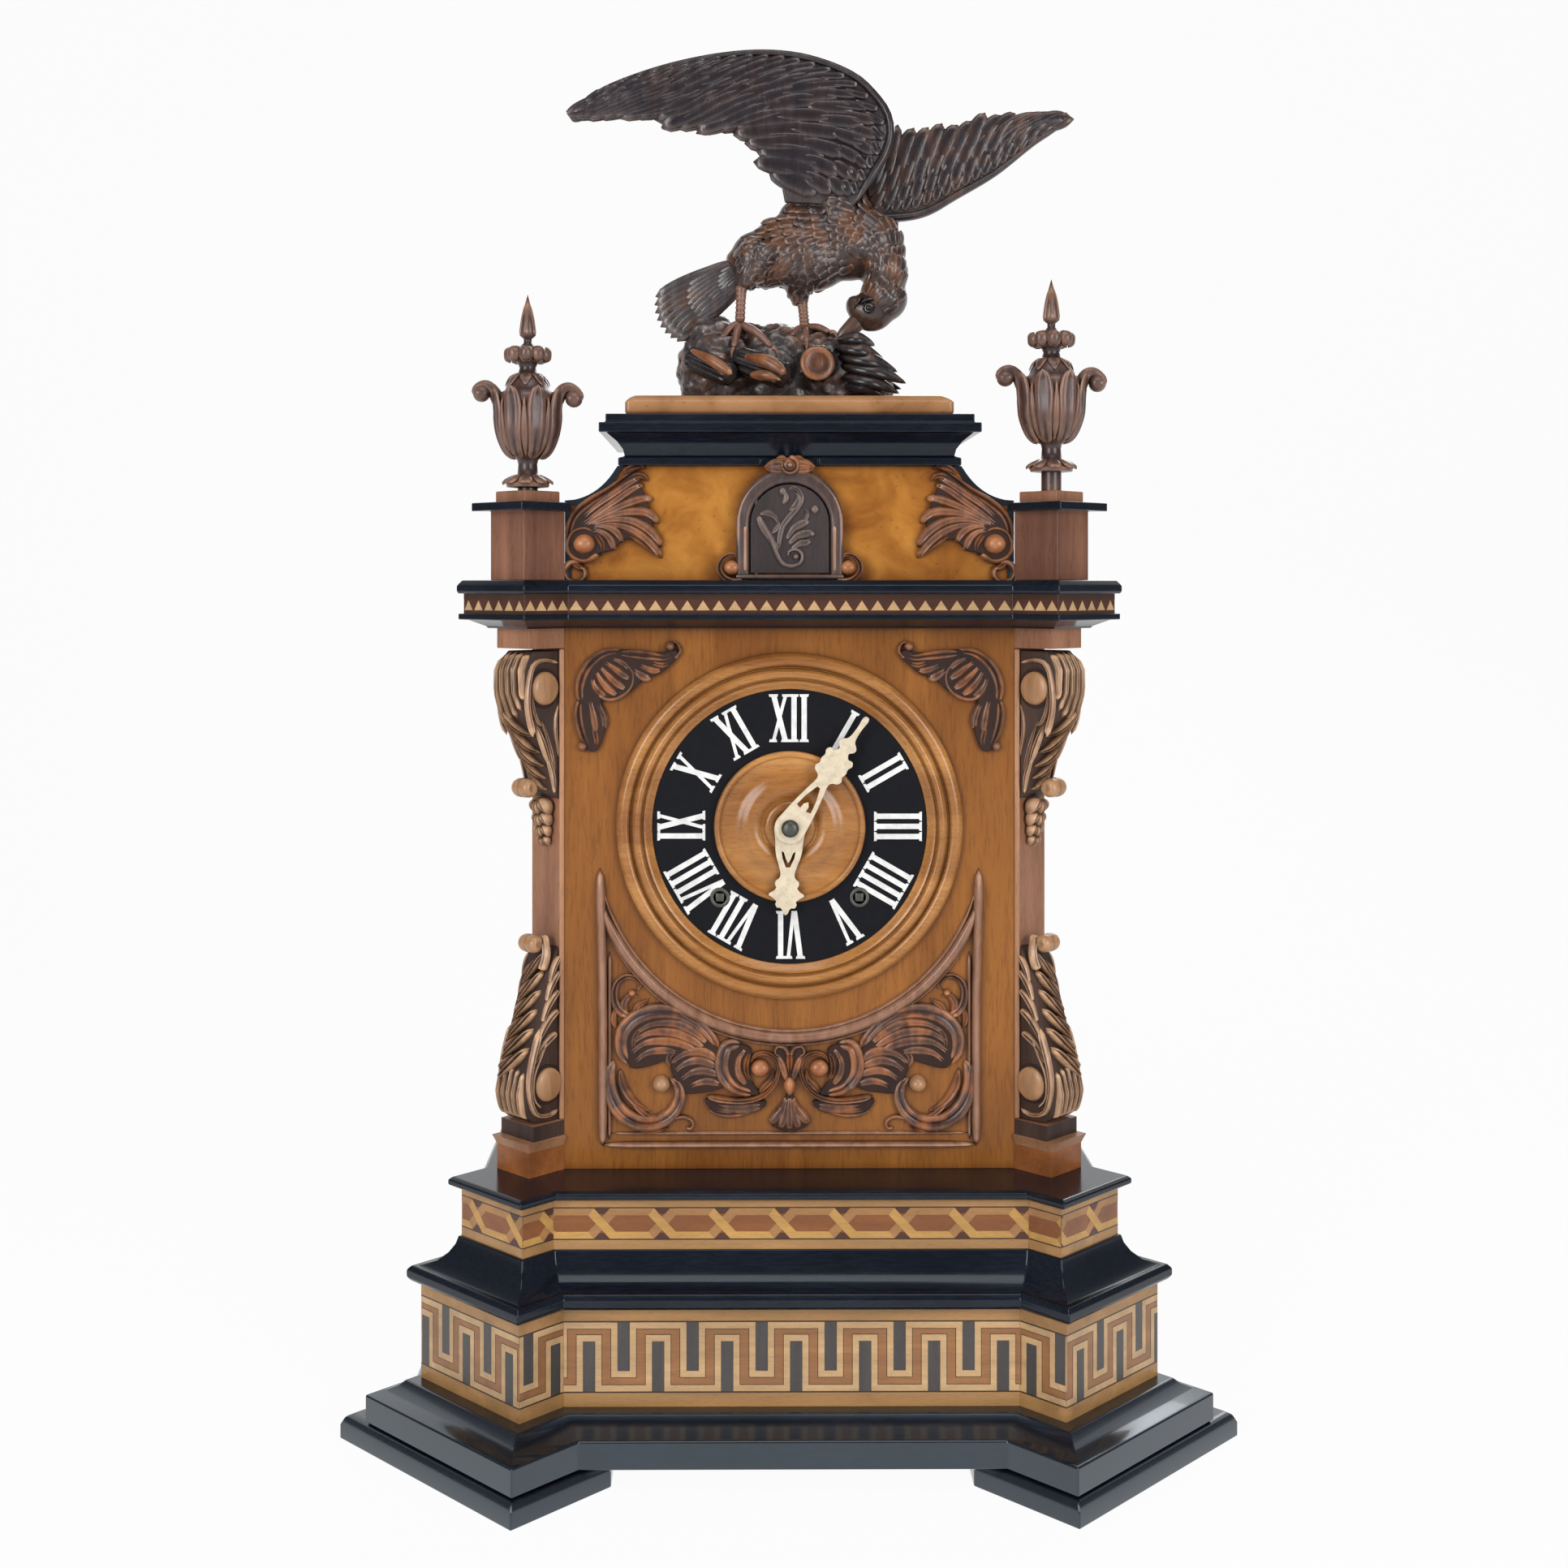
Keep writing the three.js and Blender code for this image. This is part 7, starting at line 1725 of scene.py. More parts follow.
# %% [markdown]
# ## Eagle on its rock
# The bird stands on a rock of split logs with its head bent down to the right, one wing raised to the left
# and the other to the right. The body is built as a carver would rough it out: a few eggs and tapered bars,
# fused into one skin and smoothed. The feathers are laid on that skin afterwards, in rows from the tail to
# the head. Skin, feathers and tail stay separate pieces, because each has its own shade of stain.

# %% Roughing out
EAGLE_BEHIND, ROCK_SEAT = 55, 577.3


def perch(u, v, w):
    """Right of the middle, up from the top plate and forward of the bird's middle line."""
    return at(u, EAGLE_BEHIND - w, ROCK_SEAT + v)


def egg_at(centre, radii, turn, sides, rings):
    bpy.ops.object.select_all(action="DESELECT")
    bpy.ops.mesh.primitive_uv_sphere_add(segments=sides, ring_count=rings, radius=1)
    piece = bpy.context.object
    shape = Matrix.Diagonal((mm(radii[0]), mm(radii[1]), mm(radii[2]), 1))
    piece.data.transform(Matrix.Translation(centre) @ turn @ shape)
    return piece


def egg(place, radii, tilt=0.0):
    return egg_at(perch(*place), radii, Matrix.Rotation(math.radians(-tilt), 4, "Y"), 28, 18)


def limb(line, widths, deep=1.0, sides=18, rings=26):
    """A round bar along a line of places, with a half width at each of them."""
    model, along, around = sphere_mesh(sides, rings)
    path = np.array(smooth_line([tuple(p) for p in line], 8), dtype=float)
    wide = np.array(smooth_line([(w, 0) for w in widths], 8), dtype=float)[:, 0]
    run = np.concatenate([[0], np.cumsum(np.linalg.norm(np.diff(path, axis=0), axis=1))])
    run /= run[-1]
    spot = np.column_stack([np.interp(along, run, path[:, k]) for k in range(3)])
    way = np.column_stack([np.interp(np.clip(along + 0.02, 0, 1), run, path[:, k])
                           - np.interp(np.clip(along - 0.02, 0, 1), run, path[:, k]) for k in range(3)])
    way /= np.linalg.norm(way, axis=1)[:, None]
    front = np.array((0.0, 0.0, 1.0))
    across = np.cross(front, way)
    across /= np.maximum(np.linalg.norm(across, axis=1), 1e-9)[:, None]
    face = np.cross(way, across)
    ends = np.clip(np.sin(math.pi * along) / 0.25, 0, 1) ** 0.6
    r = np.interp(along, run, wide) * ends
    places = spot + across * (np.cos(around) * r)[:, None] + face * (np.sin(around) * r * deep)[:, None]
    return moved_sphere(model, places, perch)


def fused(pieces, grain, passes):
    """One skin over several solids, then sanded smooth."""
    piece = joined(pieces)
    only(piece)
    remesh = piece.modifiers.new("skin", "REMESH")
    remesh.mode, remesh.voxel_size = "VOXEL", mm(grain)
    bpy.ops.object.modifier_apply(modifier=remesh.name)
    sanding = piece.modifiers.new("sanding", "SMOOTH")
    sanding.factor, sanding.iterations = 0.5, passes
    bpy.ops.object.modifier_apply(modifier=sanding.name)
    return piece


# %% [markdown]
# The trunk is slung low between the legs. The neck comes down in front of the breast and ends in a flat
# crown, a heavy brow and a hooked beak that nearly touches the rock.

# %% Body, neck and head
body_skin = fused([
    egg((8, 88, 0), (30, 21, 22), -14), egg((34, 95, 0), (27, 20, 23), -10),
    egg((18, 104, -2), (24, 14, 17), -18), egg((-14, 84, 0), (19, 15, 16), -30),
    egg((50, 92, 1), (18, 21, 19), 8), egg((57, 76, 2), (13.5, 20, 15), 4),
    egg((56, 61, 3), (14, 16, 13.5), 0), egg((50, 53.5, 4), (13, 11.5, 11.5), 22),
    egg((41, 55, 4), (6.5, 9, 8.5), 30), limb([(24, 100, 0), (-10, 89, -1), (-33, 74, -1)], [16, 15.5, 10.5]),
    limb([(-14, 92, 12), (-20, 80, 13), (-26, 64, 13)], [11, 9.5, 4.0]),
    limb([(8, 84, -4), (6.5, 71, -5), (8.6, 57, -5)], [11, 8.5, 4.0]),
    limb([(20, 106, 6), (34, 114, 4), (44, 124, 2)], [14, 11, 6], 0.9),
    limb([(36, 104, -12), (54, 112, -16), (70, 118, -18)], [13, 11, 5], 0.9),
], 1.5, 5)
beak = fused([
    limb([(43, 50, 5), (38, 45, 6), (32.6, 40, 6.4), (29.6, 36.4, 6.4), (29.2, 33.4, 6.4)],
         [5.4, 4.8, 3.8, 2.3, 0.8], 0.8),
    limb([(43, 47, 5.4), (38.6, 42.6, 6.2), (35, 39.4, 6.4)], [3.8, 3.0, 1.2], 0.8),
], 0.6, 3)
print("body skin", len(body_skin.data.polygons), "faces")

# %% [markdown]
# A ray from the front, or from the back, finds the skin under each feather. The root of a feather sinks a
# little into the skin and its tip stands off, so every row covers the roots of the row behind it.

# %% Feathers laid on the skin
STEEPEST = -0.16


def skin_tree(piece):
    return BVHTree.FromPolygons([v.co.copy() for v in piece.data.vertices],
                                [tuple(p.vertices) for p in piece.data.polygons])


def laid(tree, points, face, sink, raise_tip):
    """Places on the skin, in the bird's own measures, with the skin's direction at the middle one."""
    found, facing = [], None
    for k, (u, v) in enumerate(points):
        start = perch(u, v, face * 90)
        hit, normal, _, _ = tree.ray_cast(start, Vector((0, face, 0)))
        if hit is None or normal.y * face > STEEPEST:
            return None, None
        t = k / (len(points) - 1)
        spot = hit + normal * mm(-sink * (1 - t) + raise_tip * t)
        found.append((spot.x * 1000, spot.z * 1000 - ROCK_SEAT, -(spot.y - PANEL_Y) * 1000 + EAGLE_BEHIND))
        if k == len(points) // 2:
            facing = (normal.x, normal.z, -normal.y)
    return found, facing


def measured(points):
    """A smooth line through the points, and the way walked along it at each of its places."""
    line = np.array(smooth_line(points, 10), dtype=float)
    return line, np.concatenate([[0], np.cumsum(np.linalg.norm(np.diff(line, axis=0), axis=1))])


def plumage(tree, spine, widths, rows, per_row, long, wide, seed, high=1.5):
    """Rows of feathers along a spine, from its end back to its start, on the front and on the back."""
    chance = random.Random(seed)
    line, run = measured(spine)
    half = np.interp(run / run[-1], np.linspace(0, 1, len(widths)), widths)
    made = []
    for row in range(rows, 0, -1):
        s = run[-1] * (row - 0.5) / rows
        k = int(np.searchsorted(run, s)) - 1
        way = line[min(k + 2, len(line) - 1)] - line[max(k - 1, 0)]
        way /= np.linalg.norm(way)
        across = np.array((-way[1], way[0]))
        middle = line[k]
        for i in range(per_row):
            q = (i + 0.5 + 0.5 * (row % 2)) / per_row * 2 - 1
            if abs(q) > 1:
                continue
            root = middle + across * q * half[k] * 0.96
            splay = way + across * q * 0.28
            size = long * chance.uniform(0.85, 1.15)
            points = [root + splay * size * t for t in (0, 0.5, 1.0)]
            for face in (1, -1):
                places, facing = laid(tree, points, face, 0.7, 1.0)
                if places:
                    made.append(cut(places, wide * chance.uniform(0.88, 1.1), high, "feather", perch,
                                    sides=10, rings=9, vein=0.35, under=0.5, normal=facing))
    return made


body_tree = skin_tree(body_skin)
back_line = [(48, 54), (56, 64), (59, 78), (55, 92), (42, 101), (22, 101), (0, 94), (-20, 84), (-34, 77)]
feathers = plumage(body_tree, back_line, [10, 12, 14, 18, 21, 23, 20, 14, 9], 21, 9, 10.5, 3.1, 4)
feathers += plumage(body_tree, [(40, 84), (22, 80), (2, 76), (-14, 78)], [8, 9, 9, 8], 8, 5, 9.5, 3.0, 7)
feathers += plumage(body_tree, [(-15, 92), (-21, 80), (-26, 66)], [9, 8, 3.8], 6, 5, 8, 2.4, 9, 1.3)
feathers += plumage(body_tree, [(8, 80), (6.8, 70), (8.6, 59)], [8, 7, 3.6], 5, 5, 7.5, 2.3, 12, 1.3)
print("body feathers", len(feathers))

# %% [markdown]
# The tail is a fan of long feathers with rounded ends. It points down to the left.

# %% Tail
TAIL_LEAN = 212
TAIL_LAYERS = [(8, 12, 61, 6.2, 0), (7, 10, 44, 5.4, 2.0), (6, 8, 28, 4.4, 3.4)]
tail_feathers = []
for layer, (count, spread, long, wide, drop) in enumerate(TAIL_LAYERS):
    for k in range(count):
        share = (k / (count - 1)) * 2 - 1
        angle = math.radians(TAIL_LEAN + spread * share)
        root = np.array((-23.0 + 1.0 * layer, 79.0 - share * 3.0, 0))
        tip = root + np.array((math.cos(angle), math.sin(angle), 0)) * (long - 4 * abs(share) ** 2)
        for face in (1, -1):
            deep = face * (1.2 + drop)
            middle = tuple((root + tip) / 2 + np.array((0, 0, deep)))
            line = [(root[0], root[1], deep), middle, (tip[0], tip[1], deep * 0.4)]
            tail_feathers.append(cut(line, wide, 2.4, "feather", perch, sides=12, rings=14, vein=0.45,
                                     under=0.7, normal=(0, 0, face)))
print("tail feathers", len(tail_feathers))

# %% [markdown]
# ## Wings
# Each wing is a thin board that follows the wing's outline, thicker along its leading edge. Long quills run
# to the ragged trailing edge; rows of ever shorter coverts lie over their roots. A row is written as its
# number of feathers, start and end between the two edges, sweep towards the tip, half width, height, and
# where along the wing it begins and ends.

# %% Wing boards and quills
def wing_line(points, share):
    line, run = measured(points)
    share = min(max(share, 0.0), 1.0)
    return np.array([np.interp(share * run[-1], run, line[:, k]) for k in range(2)])


def wing(lead, trail, w, thick, rows, lead_wide, finish, name, node, seed):
    chance = random.Random(seed)
    mix = lambda s, a: wing_line(lead, s) * (1 - a) + wing_line(trail, s) * a
    inner = [tuple(mix(s, 0.93)) for s in np.linspace(0.02, 0.97, 30)]
    outer = [tuple(mix(s, 0.015)) for s in np.linspace(0.0, 0.985, 40)]
    place = wall_place(perch(0, 0, w - thick / 2), (1, 0, 0))
    cuts = [board(outer + inner[::-1], thick, place, 0.8, 2)]
    for face in (1, -1):
        level = w + face * (thick / 2 - 0.3)
        for count, start, end, sweep, wide, high, first, last in rows:
            for k in range(count):
                s = first + (last - first) * (k + 0.5) / count
                reach = end + chance.uniform(-0.035, 0.02) + (0.07 if end > 1 and k % 3 == 1 else 0)
                root, tip = mix(s, start), mix(min(s + sweep, 1.0), reach)
                middle = mix(s + sweep * 0.42, (start + end) / 2)
                line = [(root[0], root[1], level), (middle[0], middle[1], level + face * high * 0.25),
                        (tip[0], tip[1], level + face * high * 0.2)]
                cuts.append(cut(line, wide * chance.uniform(0.92, 1.08), high, "feather", perch, sides=10,
                                rings=12, vein=0.45, under=0.6, normal=(0, 0, face)))
    rim = [tuple(mix(s, 0.03)) + (w,) for s in np.linspace(0.0, 0.97, 22)]
    cuts.append(cut(rim, lead_wide, thick * 0.5 + 2.6, "stem", perch, sides=14, rings=48, under=1.0))
    return whole_carving(cuts, name, finish, node)


LEFT_LEAD = [(39, 113), (47.4, 126.7), (58, 143.2), (61.5, 159.7), (56.8, 171.5), (42.6, 186.9), (19, 197.5),
             (-4.6, 201.8), (-30.6, 201.1), (-61.2, 195.6), (-89.6, 186.9), (-113.2, 176.3), (-125, 166)]
LEFT_TRAIL = [(-4, 112), (-8.1, 126.7), (-11.7, 138.5), (-21.1, 149.1), (-27, 158), (-44, 158.4),
              (-62.4, 159.7), (-78, 164.6), (-95, 166), (-112, 164.6), (-124.6, 164.6)]
RIGHT_LEAD = [(44, 110), (66.2, 109.4), (82.8, 112.5), (99.3, 122), (122.9, 136.1), (146.5, 155), (166, 167)]
RIGHT_TRAIL = [(40, 138), (62, 157), (75.7, 161.6), (91, 161.6), (111.1, 166.8), (130, 170.6), (150, 171),
               (165.6, 169.4)]
LEFT_ROWS = [(12, 0.52, 1.03, 0.10, 6.6, 3.0, 0.02, 0.60), (9, 0.45, 1.05, 0.22, 5.2, 2.8, 0.52, 0.93),
             (16, 0.36, 0.74, 0.08, 5.0, 2.9, 0.01, 0.90), (20, 0.20, 0.50, 0.06, 4.4, 2.7, 0.01, 0.92),
             (24, 0.12, 0.34, 0.05, 3.6, 2.4, 0.01, 0.9), (24, 0.07, 0.2, 0.04, 2.8, 2.1, 0.01, 0.86)]
RIGHT_ROWS = [(10, 0.50, 1.03, 0.14, 5.4, 2.9, 0.02, 0.66), (7, 0.42, 1.0, 0.26, 4.4, 2.7, 0.58, 0.92),
              (12, 0.34, 0.74, 0.10, 4.6, 2.7, 0.02, 0.84), (14, 0.18, 0.50, 0.08, 4.0, 2.5, 0.02, 0.88),
              (18, 0.09, 0.30, 0.06, 2.8, 1.7, 0.02, 0.86)]
wing(LEFT_LEAD, LEFT_TRAIL, 12, 4.4, LEFT_ROWS, 3.0, wing_wood, "eagle-wing-left", "eagle_wing_left", 21)
wing(RIGHT_LEAD, RIGHT_TRAIL, -10, 4.4, RIGHT_ROWS, 2.8, right_wing_wood, "eagle-wing-right",
     "eagle_wing_right", 33)
print("wings feathered")

# %% [markdown]
# Bare shanks with a ring of scales, three toes spread on the rock in front and one behind, each with a claw.

# %% Legs and feet
def leg(top, heel, toes, w):
    knee = ((top[0] + heel[0]) / 2, (top[1] + heel[1]) / 2, w + 0.5)
    parts = [limb([(*top, w), knee, (*heel, w)], [3.6, 2.7, 3.0], sides=14, rings=18)]
    for k in range(7):
        share = 0.12 + 0.12 * k
        u, v = top[0] + (heel[0] - top[0]) * share, top[1] + (heel[1] - top[1]) * share
        scale = [(u - 3.0, v, w + 1.6), (u, v - 0.6, w + 2.6), (u + 3.0, v, w + 1.6)]
        parts.append(cut(scale, 1.2, 0.9, "round", perch, sides=8, rings=10))
    for u, v, depth in toes:
        knuckle = ((heel[0] + u) / 2, (heel[1] + v) / 2 + 2.0, (w + depth) / 2)
        parts.append(limb([(*heel, w), knuckle, (u, v, depth)], [2.6, 2.3, 1.7], sides=12, rings=14))
        way = np.array((u - heel[0], v - heel[1], depth - w), dtype=float)
        way /= np.linalg.norm(way)
        end = np.array((u, v, depth))
        claw = [(u, v, depth), tuple(end + way * 3 + (0, 0.4, 0)),
                tuple(end + way * 4.5 + np.array((0, -2.6, 0)))]
        parts.append(limb(claw, [1.7, 1.3, 0.3], sides=10, rings=10))
    return parts


legs = leg((-26.4, 68), (-27.4, 45), [(-31, 30, 22), (-9, 30, 24), (-38, 36, 16), (-22, 40, -2)], 13)
legs += leg((8.8, 63), (10.6, 44.5), [(11, 34, 12), (25, 41, 6), (2, 38, 8), (12, 40, -16)], -4)
whole_carving(legs, "eagle-legs", leg_wood, body="case")
print("legs made")

# %% [markdown]
# The eye sits under the brow, in a ring of lids, with a fold of skin behind it and one before it. The line of
# the mouth is cut into the beak.

# %% Face
def flank_cuts(face):
    lids = []
    r = 2.9
    for k in range(10):
        a, b = 2 * math.pi * k / 10, 2 * math.pi * (k + 1.4) / 10
        middle = (a + b) / 2
        points = [(46.6 + r * math.cos(t), 54.2 + r * math.sin(t)) for t in (a, middle, b)]
        places, facing = laid(body_tree, points, face, 0.3, -0.3)
        if places:
            lids.append(cut(places, 0.8, 1.5, "round", perch, sides=8, rings=8, under=0.5, normal=facing))
    for points, wide in (([(50.5, 58.5), (46, 59), (41.5, 56)], 1.6),
                         ([(43.5, 60.5), (40.4, 57.5), (38.4, 53.4)], 1.3)):
        places, facing = laid(body_tree, points, face, 0.2, 0.2)
        if places:
            lids.append(cut(places, wide, 2.2, "leaf", perch, sides=10, rings=12, under=0.4, normal=facing))
    return lids


def eyeball(face):
    places, facing = laid(body_tree, [(44.9, 54.2), (46.6, 54.2), (48.3, 54.2)], face, 0.3, -0.3)
    if not places:
        return []
    return [cut(places, 1.9, 1.5, "round", perch, sides=14, rings=10, under=0.4, normal=facing)]


mouth = []
for face in (1, -1):
    line = [(42.5, 47.6, 5 + face * 4.4), (38, 43.4, 6 + face * 3.7), (34, 39.6, 6.4 + face * 2.9)]
    mouth.append(cut(line, 0.5, 0.8, "leaf", perch, sides=8, rings=12, under=0.5, normal=(0, 0, face)))
eagle_body = joined([body_skin] + flank_cuts(1) + flank_cuts(-1))
finished(eagle_body, "eagle-body", eagle_skin_wood, "eagle_on_rock", smooth=60)
whole_carving(feathers, "eagle-feathers", eagle_wood, body="case")
whole_carving(tail_feathers, "eagle-tail", tail_wood, body="case")
whole_carving([beak] + mouth, "eagle-beak", beak_wood, body="case")
whole_carving(eyeball(1) + eyeball(-1), "eagle-eyes", eye_black, body="case")
print("eagle body", len(eagle_body.data.polygons), "faces")

# %% [markdown]
# ## Rock
# A stony mound carries three split logs whose cut ends are left light. The mound is eggs fused like the body,
# cut flat where it stands, and roughened by a Displace modifier with a cloud texture. Long leaves point down
# to the right.

# %% Mound, logs and leaves
mound = fused([
    egg((-38, 18, 0), (27, 24, 26), 8), egg((-42, 34, 0), (18, 15, 18), 10),
    egg((-6, 20, -2), (32, 20, 28), 0), egg((26, 18, 0), (28, 20, 24), -10),
    egg((8, 30, -4), (22, 11, 16), 0), egg((40, 14, -2), (24, 11, 20), -14),
    egg((-20, 30, -6), (22, 14, 18), 0), egg((-4, 4, 0), (58, 8, 30), 0),
], 1.8, 3)
edit(mound, lambda: bpy.ops.mesh.bisect(plane_co=perch(0, 0.15, 0), plane_no=(0, 0, 1), use_fill=True,
                                        clear_inner=True))
rough_stone = bpy.data.textures.new("rough_stone", "CLOUDS")
rough_stone.noise_scale, rough_stone.noise_depth = mm(9), 3
only(mound)
chisel = mound.modifiers.new("chiselled", "DISPLACE")
chisel.texture, chisel.texture_coords = rough_stone, "LOCAL"
chisel.strength, chisel.mid_level = mm(7), 0.6
bpy.ops.object.modifier_apply(modifier=chisel.name)
for vertex in mound.data.vertices:
    vertex.co.z = max(vertex.co.z, mm(ROCK_SEAT + 0.1))

RIDGES = 10
log_lines = [((-58, 26, 18), (-30, 12, 34), 6.4), ((-30, 24, 22), (0, 11.6, 40), 7.6),
             ((16.5, 20, 34), (20, 24, -10), 10.6)]
bark, ends = [], []
for start, end, r in log_lines:
    middle = tuple((np.array(start) + np.array(end)) / 2 + (0, 0.8, 0))
    bark.append(limb([start, middle, end], [r, r * 1.02, r * 0.94], 0.95))
    way = np.array(end, dtype=float) - np.array(start, dtype=float)
    way /= np.linalg.norm(way)
    for k in range(RIDGES):
        angle = 2 * math.pi * k / RIDGES
        side = np.cross(way, (0, 0, 1)) if abs(way[2]) < 0.8 else np.array((1.0, 0, 0))
        side /= np.linalg.norm(side)
        up = np.cross(side, way)
        off = side * math.cos(angle) * r * 0.93 + up * math.sin(angle) * r * 0.93
        a, b = np.array(start) + way * 2.4 + off, np.array(end) - way * 2.4 + off
        bark.append(cut([tuple(a), tuple((a + b) / 2), tuple(b)], 1.6, 1.2, "rib", perch, sides=8, rings=14,
                        under=0.4, normal=tuple(off / np.linalg.norm(off))))
cut_face = [(0, -1.2), (9.6, -1.2), (9.8, 0.2), (9.0, 1.0), (6.4, 1.3), (5.8, 1.0), (2.6, 1.4), (0, 1.5)]
ends.append(turned(cut_face, perch(16.2, 20, 35.2), Vector((0.12, -1, 0.1)), 36))
ends.append(cut([(-55.5, 28.6, 24), (-44, 22, 34), (-31.6, 13.4, 39)], 3.6, 3.2, "tongue", perch, sides=12,
                rings=18))
ends.append(cut([(-25, 24, 30), (-14, 21, 40), (-1.6, 12.8, 45)], 4.4, 4.0, "tongue", perch, sides=12,
                rings=18))
ends.append(cut([(-22, 13, 38), (-12, 12, 44), (-4, 9, 46)], 3.0, 3.0, "leaf", perch, sides=12, rings=14))

leaves = []
for start, end, wide in [((26, 31), (55, 24), 4.8), ((28, 26), (63, 17), 5.0), ((29, 21), (68, 10.4), 5.2),
                         ((30, 14), (64, 4.6), 4.8), ((28, 35), (50, 32), 4.0), ((32, 8), (56, 2.2), 3.6)]:
    start, end = np.array(start, dtype=float), np.array(end, dtype=float)
    middle = (start + end) / 2 + (0, 2.0)
    line = [(start[0], start[1], 17), (middle[0], middle[1], 25), (end[0], end[1], 17)]
    leaves.append(cut(line, wide, 3.0, "leaf", perch, sides=12, rings=18, vein=0.4, under=0.8,
                      normal=(0.1, 0.5, 1)))
    behind = [(u, v, -w + 2) for u, v, w in line]
    leaves.append(cut(behind, wide, 2.4, "leaf", perch, sides=12, rings=18, vein=0.6, under=0.8,
                      normal=(0.1, 0.5, -1)))
rock = joined([mound] + bark + leaves)
finished(rock, "eagle-rock", rock_wood, body="case", smooth=60)
whole_carving(ends, "log-ends", split_wood, body="case")
print("rock", len(rock.data.polygons), "faces")

# %% [markdown]
# ## Movement, bellows and gong
# Behind the dial sit two brass plates with the train between them. The wheels have the right teeth and places
# in the CAD model, so they are only softened and given their metal. Thin parts get a very small softening.

# %% Brass and steel pieces of the movement
for node in ("movement_front_plate", "movement_back_plate", "going_barrel", "strike_barrel"):
    dressed(node, brass, 0.25, 2)
for node in ("centre_wheel", "third_wheel", "escape_wheel", "minute_wheel", "hour_wheel"):
    dressed(node, brass, 0.12, 1)
dressed("anchor", steel, 0.15, 2)
BARREL_R = 28.4
BACKWARDS = (0, 1, 0)
r = BARREL_R
rim_profile = [(r - 3, 0), (r, 0), (r + 0.4, 0.5), (r + 0.4, 1.6), (r, 2.1), (r - 3, 2.1)]
for body in ("strike_barrel", "going_barrel"):
    low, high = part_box(body)
    for behind in (72.6, 52.0):
        centre = at((low.x + high.x) * 500, behind, (low.z + high.z) * 500)
        band = turned(rim_profile, centre, BACKWARDS, 48)
        finished(band, "%s-rim-%d" % (body.replace("_", "-"), int(behind)), brass, body=body,
                 slot=SLOT_OF[body])
print("movement dressed")

# %% [markdown]
# The pendulum is a brass rod with an eye and a lens-shaped bob, turned with a raised rim and a middle boss.

# %% Pendulum
rod_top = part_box("pendulum")[1].z * 1000 - 4
bob_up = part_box("pendulum")[0].z * 1000 + 21
rod_behind = 95.7
half_lens = [(0, -4.0), (3.0, -4.0), (4.0, -3.5), (12.6, -3.0), (17.6, -2.1), (19.0, -2.4), (20.6, -1.6)]
lens_profile = half_lens + [(20.9, 0)] + [(r, -along) for r, along in half_lens[::-1]]
lens = turned(lens_profile, at(0, rod_behind, bob_up), TOWARDS_VIEWER, 64)
rod_profile = [(0, 0), (1.5, 0.3), (1.5, 60), (2.3, 61), (2.3, 66), (1.5, 67), (1.5, rod_top - bob_up - 4),
               (0, rod_top - bob_up - 3.6)]
rod = turned(rod_profile, at(0, rod_behind, bob_up), (0, 0, 1), 20)
ring_profile = [(1.5, -2.2), (3.4, -2.2), (4, -1.6), (4, 1.6), (3.4, 2.2), (1.5, 2.2)]
eye_ring = turned(ring_profile, at(0, rod_behind, rod_top), BACKWARDS, 32)
finished(joined([lens, rod, eye_ring]), "pendulum-turned", brass, "pendulum")
print("pendulum turned")

# %% [markdown]
# ## The cuckoo
# The bird sits on a slide behind the door. Its body is an egg with a smaller one for the head, fused and
# sanded like the eagle's; the feathers lie in rings round it, each row over the roots of the row behind.

# %% Bird and slide
BIRD_BEHIND, BIRD_UP = 38, 499


def bird_place(u, v, w):
    """Sideways, towards the tail and up, from the middle of the bird's body."""
    return at(u, BIRD_BEHIND + v, BIRD_UP + w)


def bird_egg(place, radii, tilt=0.0):
    return egg_at(bird_place(*place), radii, Matrix.Rotation(math.radians(tilt), 4, "X"), 24, 16)


bird = [fused([bird_egg((0, 0, 0), (7.6, 16, 9), 10), bird_egg((0, -9, 5), (6.4, 8, 7)),
               bird_egg((0, -14.5, 8.6), (5.8, 6.6, 5.8)),
               bird_egg((0, 20, 3.2), (4.0, 11, 2.4), 12)], 0.9, 3)]
for row in range(7):
    along = 0.8 - 0.25 * row
    ring = math.sqrt(max(1 - along ** 2, 0.05))
    count = 6 + int(7 * ring)
    for k in range(count):
        turn = 2 * math.pi * (k + 0.5 * (row % 2)) / count
        spots = []
        for step in (0, 0.16, 0.32):
            here = along + step
            size = math.sqrt(max(1 - min(here, 0.98) ** 2, 0.06))
            spots.append((7.9 * size * math.cos(turn), 16.4 * here,
                          9.3 * size * math.sin(turn) + 0.16 * 16 * here))
        bird.append(cut(spots, 2.1, 0.9, "feather", bird_place, sides=8, rings=8, vein=0.3, under=0.5,
                        normal=(math.cos(turn), 0.0, math.sin(turn))))
for side in SIDES.values():
    for k in range(5):
        quill = [(side * 7.2, -8 + 2 * k, 4.5 - 1.6 * k), (side * 8.0, 4 + 2 * k, 3.4 - 1.2 * k),
                 (side * 5.2, 20 + k, 4.4 - 0.8 * k)]
        bird.append(cut(quill, 2.0, 1.0, "feather", bird_place, sides=8, rings=12, vein=0.35, under=0.5,
                        normal=(side, 0, 0.2)))
for k in range(5):
    across = (k - 2) * 1.6
    quill = [(across * 0.5, 12, 3.6), (across, 22, 5.4), (across * 1.4, 30.4, 6.6)]
    bird.append(cut(quill, 1.7, 0.8, "feather", bird_place, sides=8, rings=10, vein=0.35, under=0.6))
cuckoo_body = joined(bird)
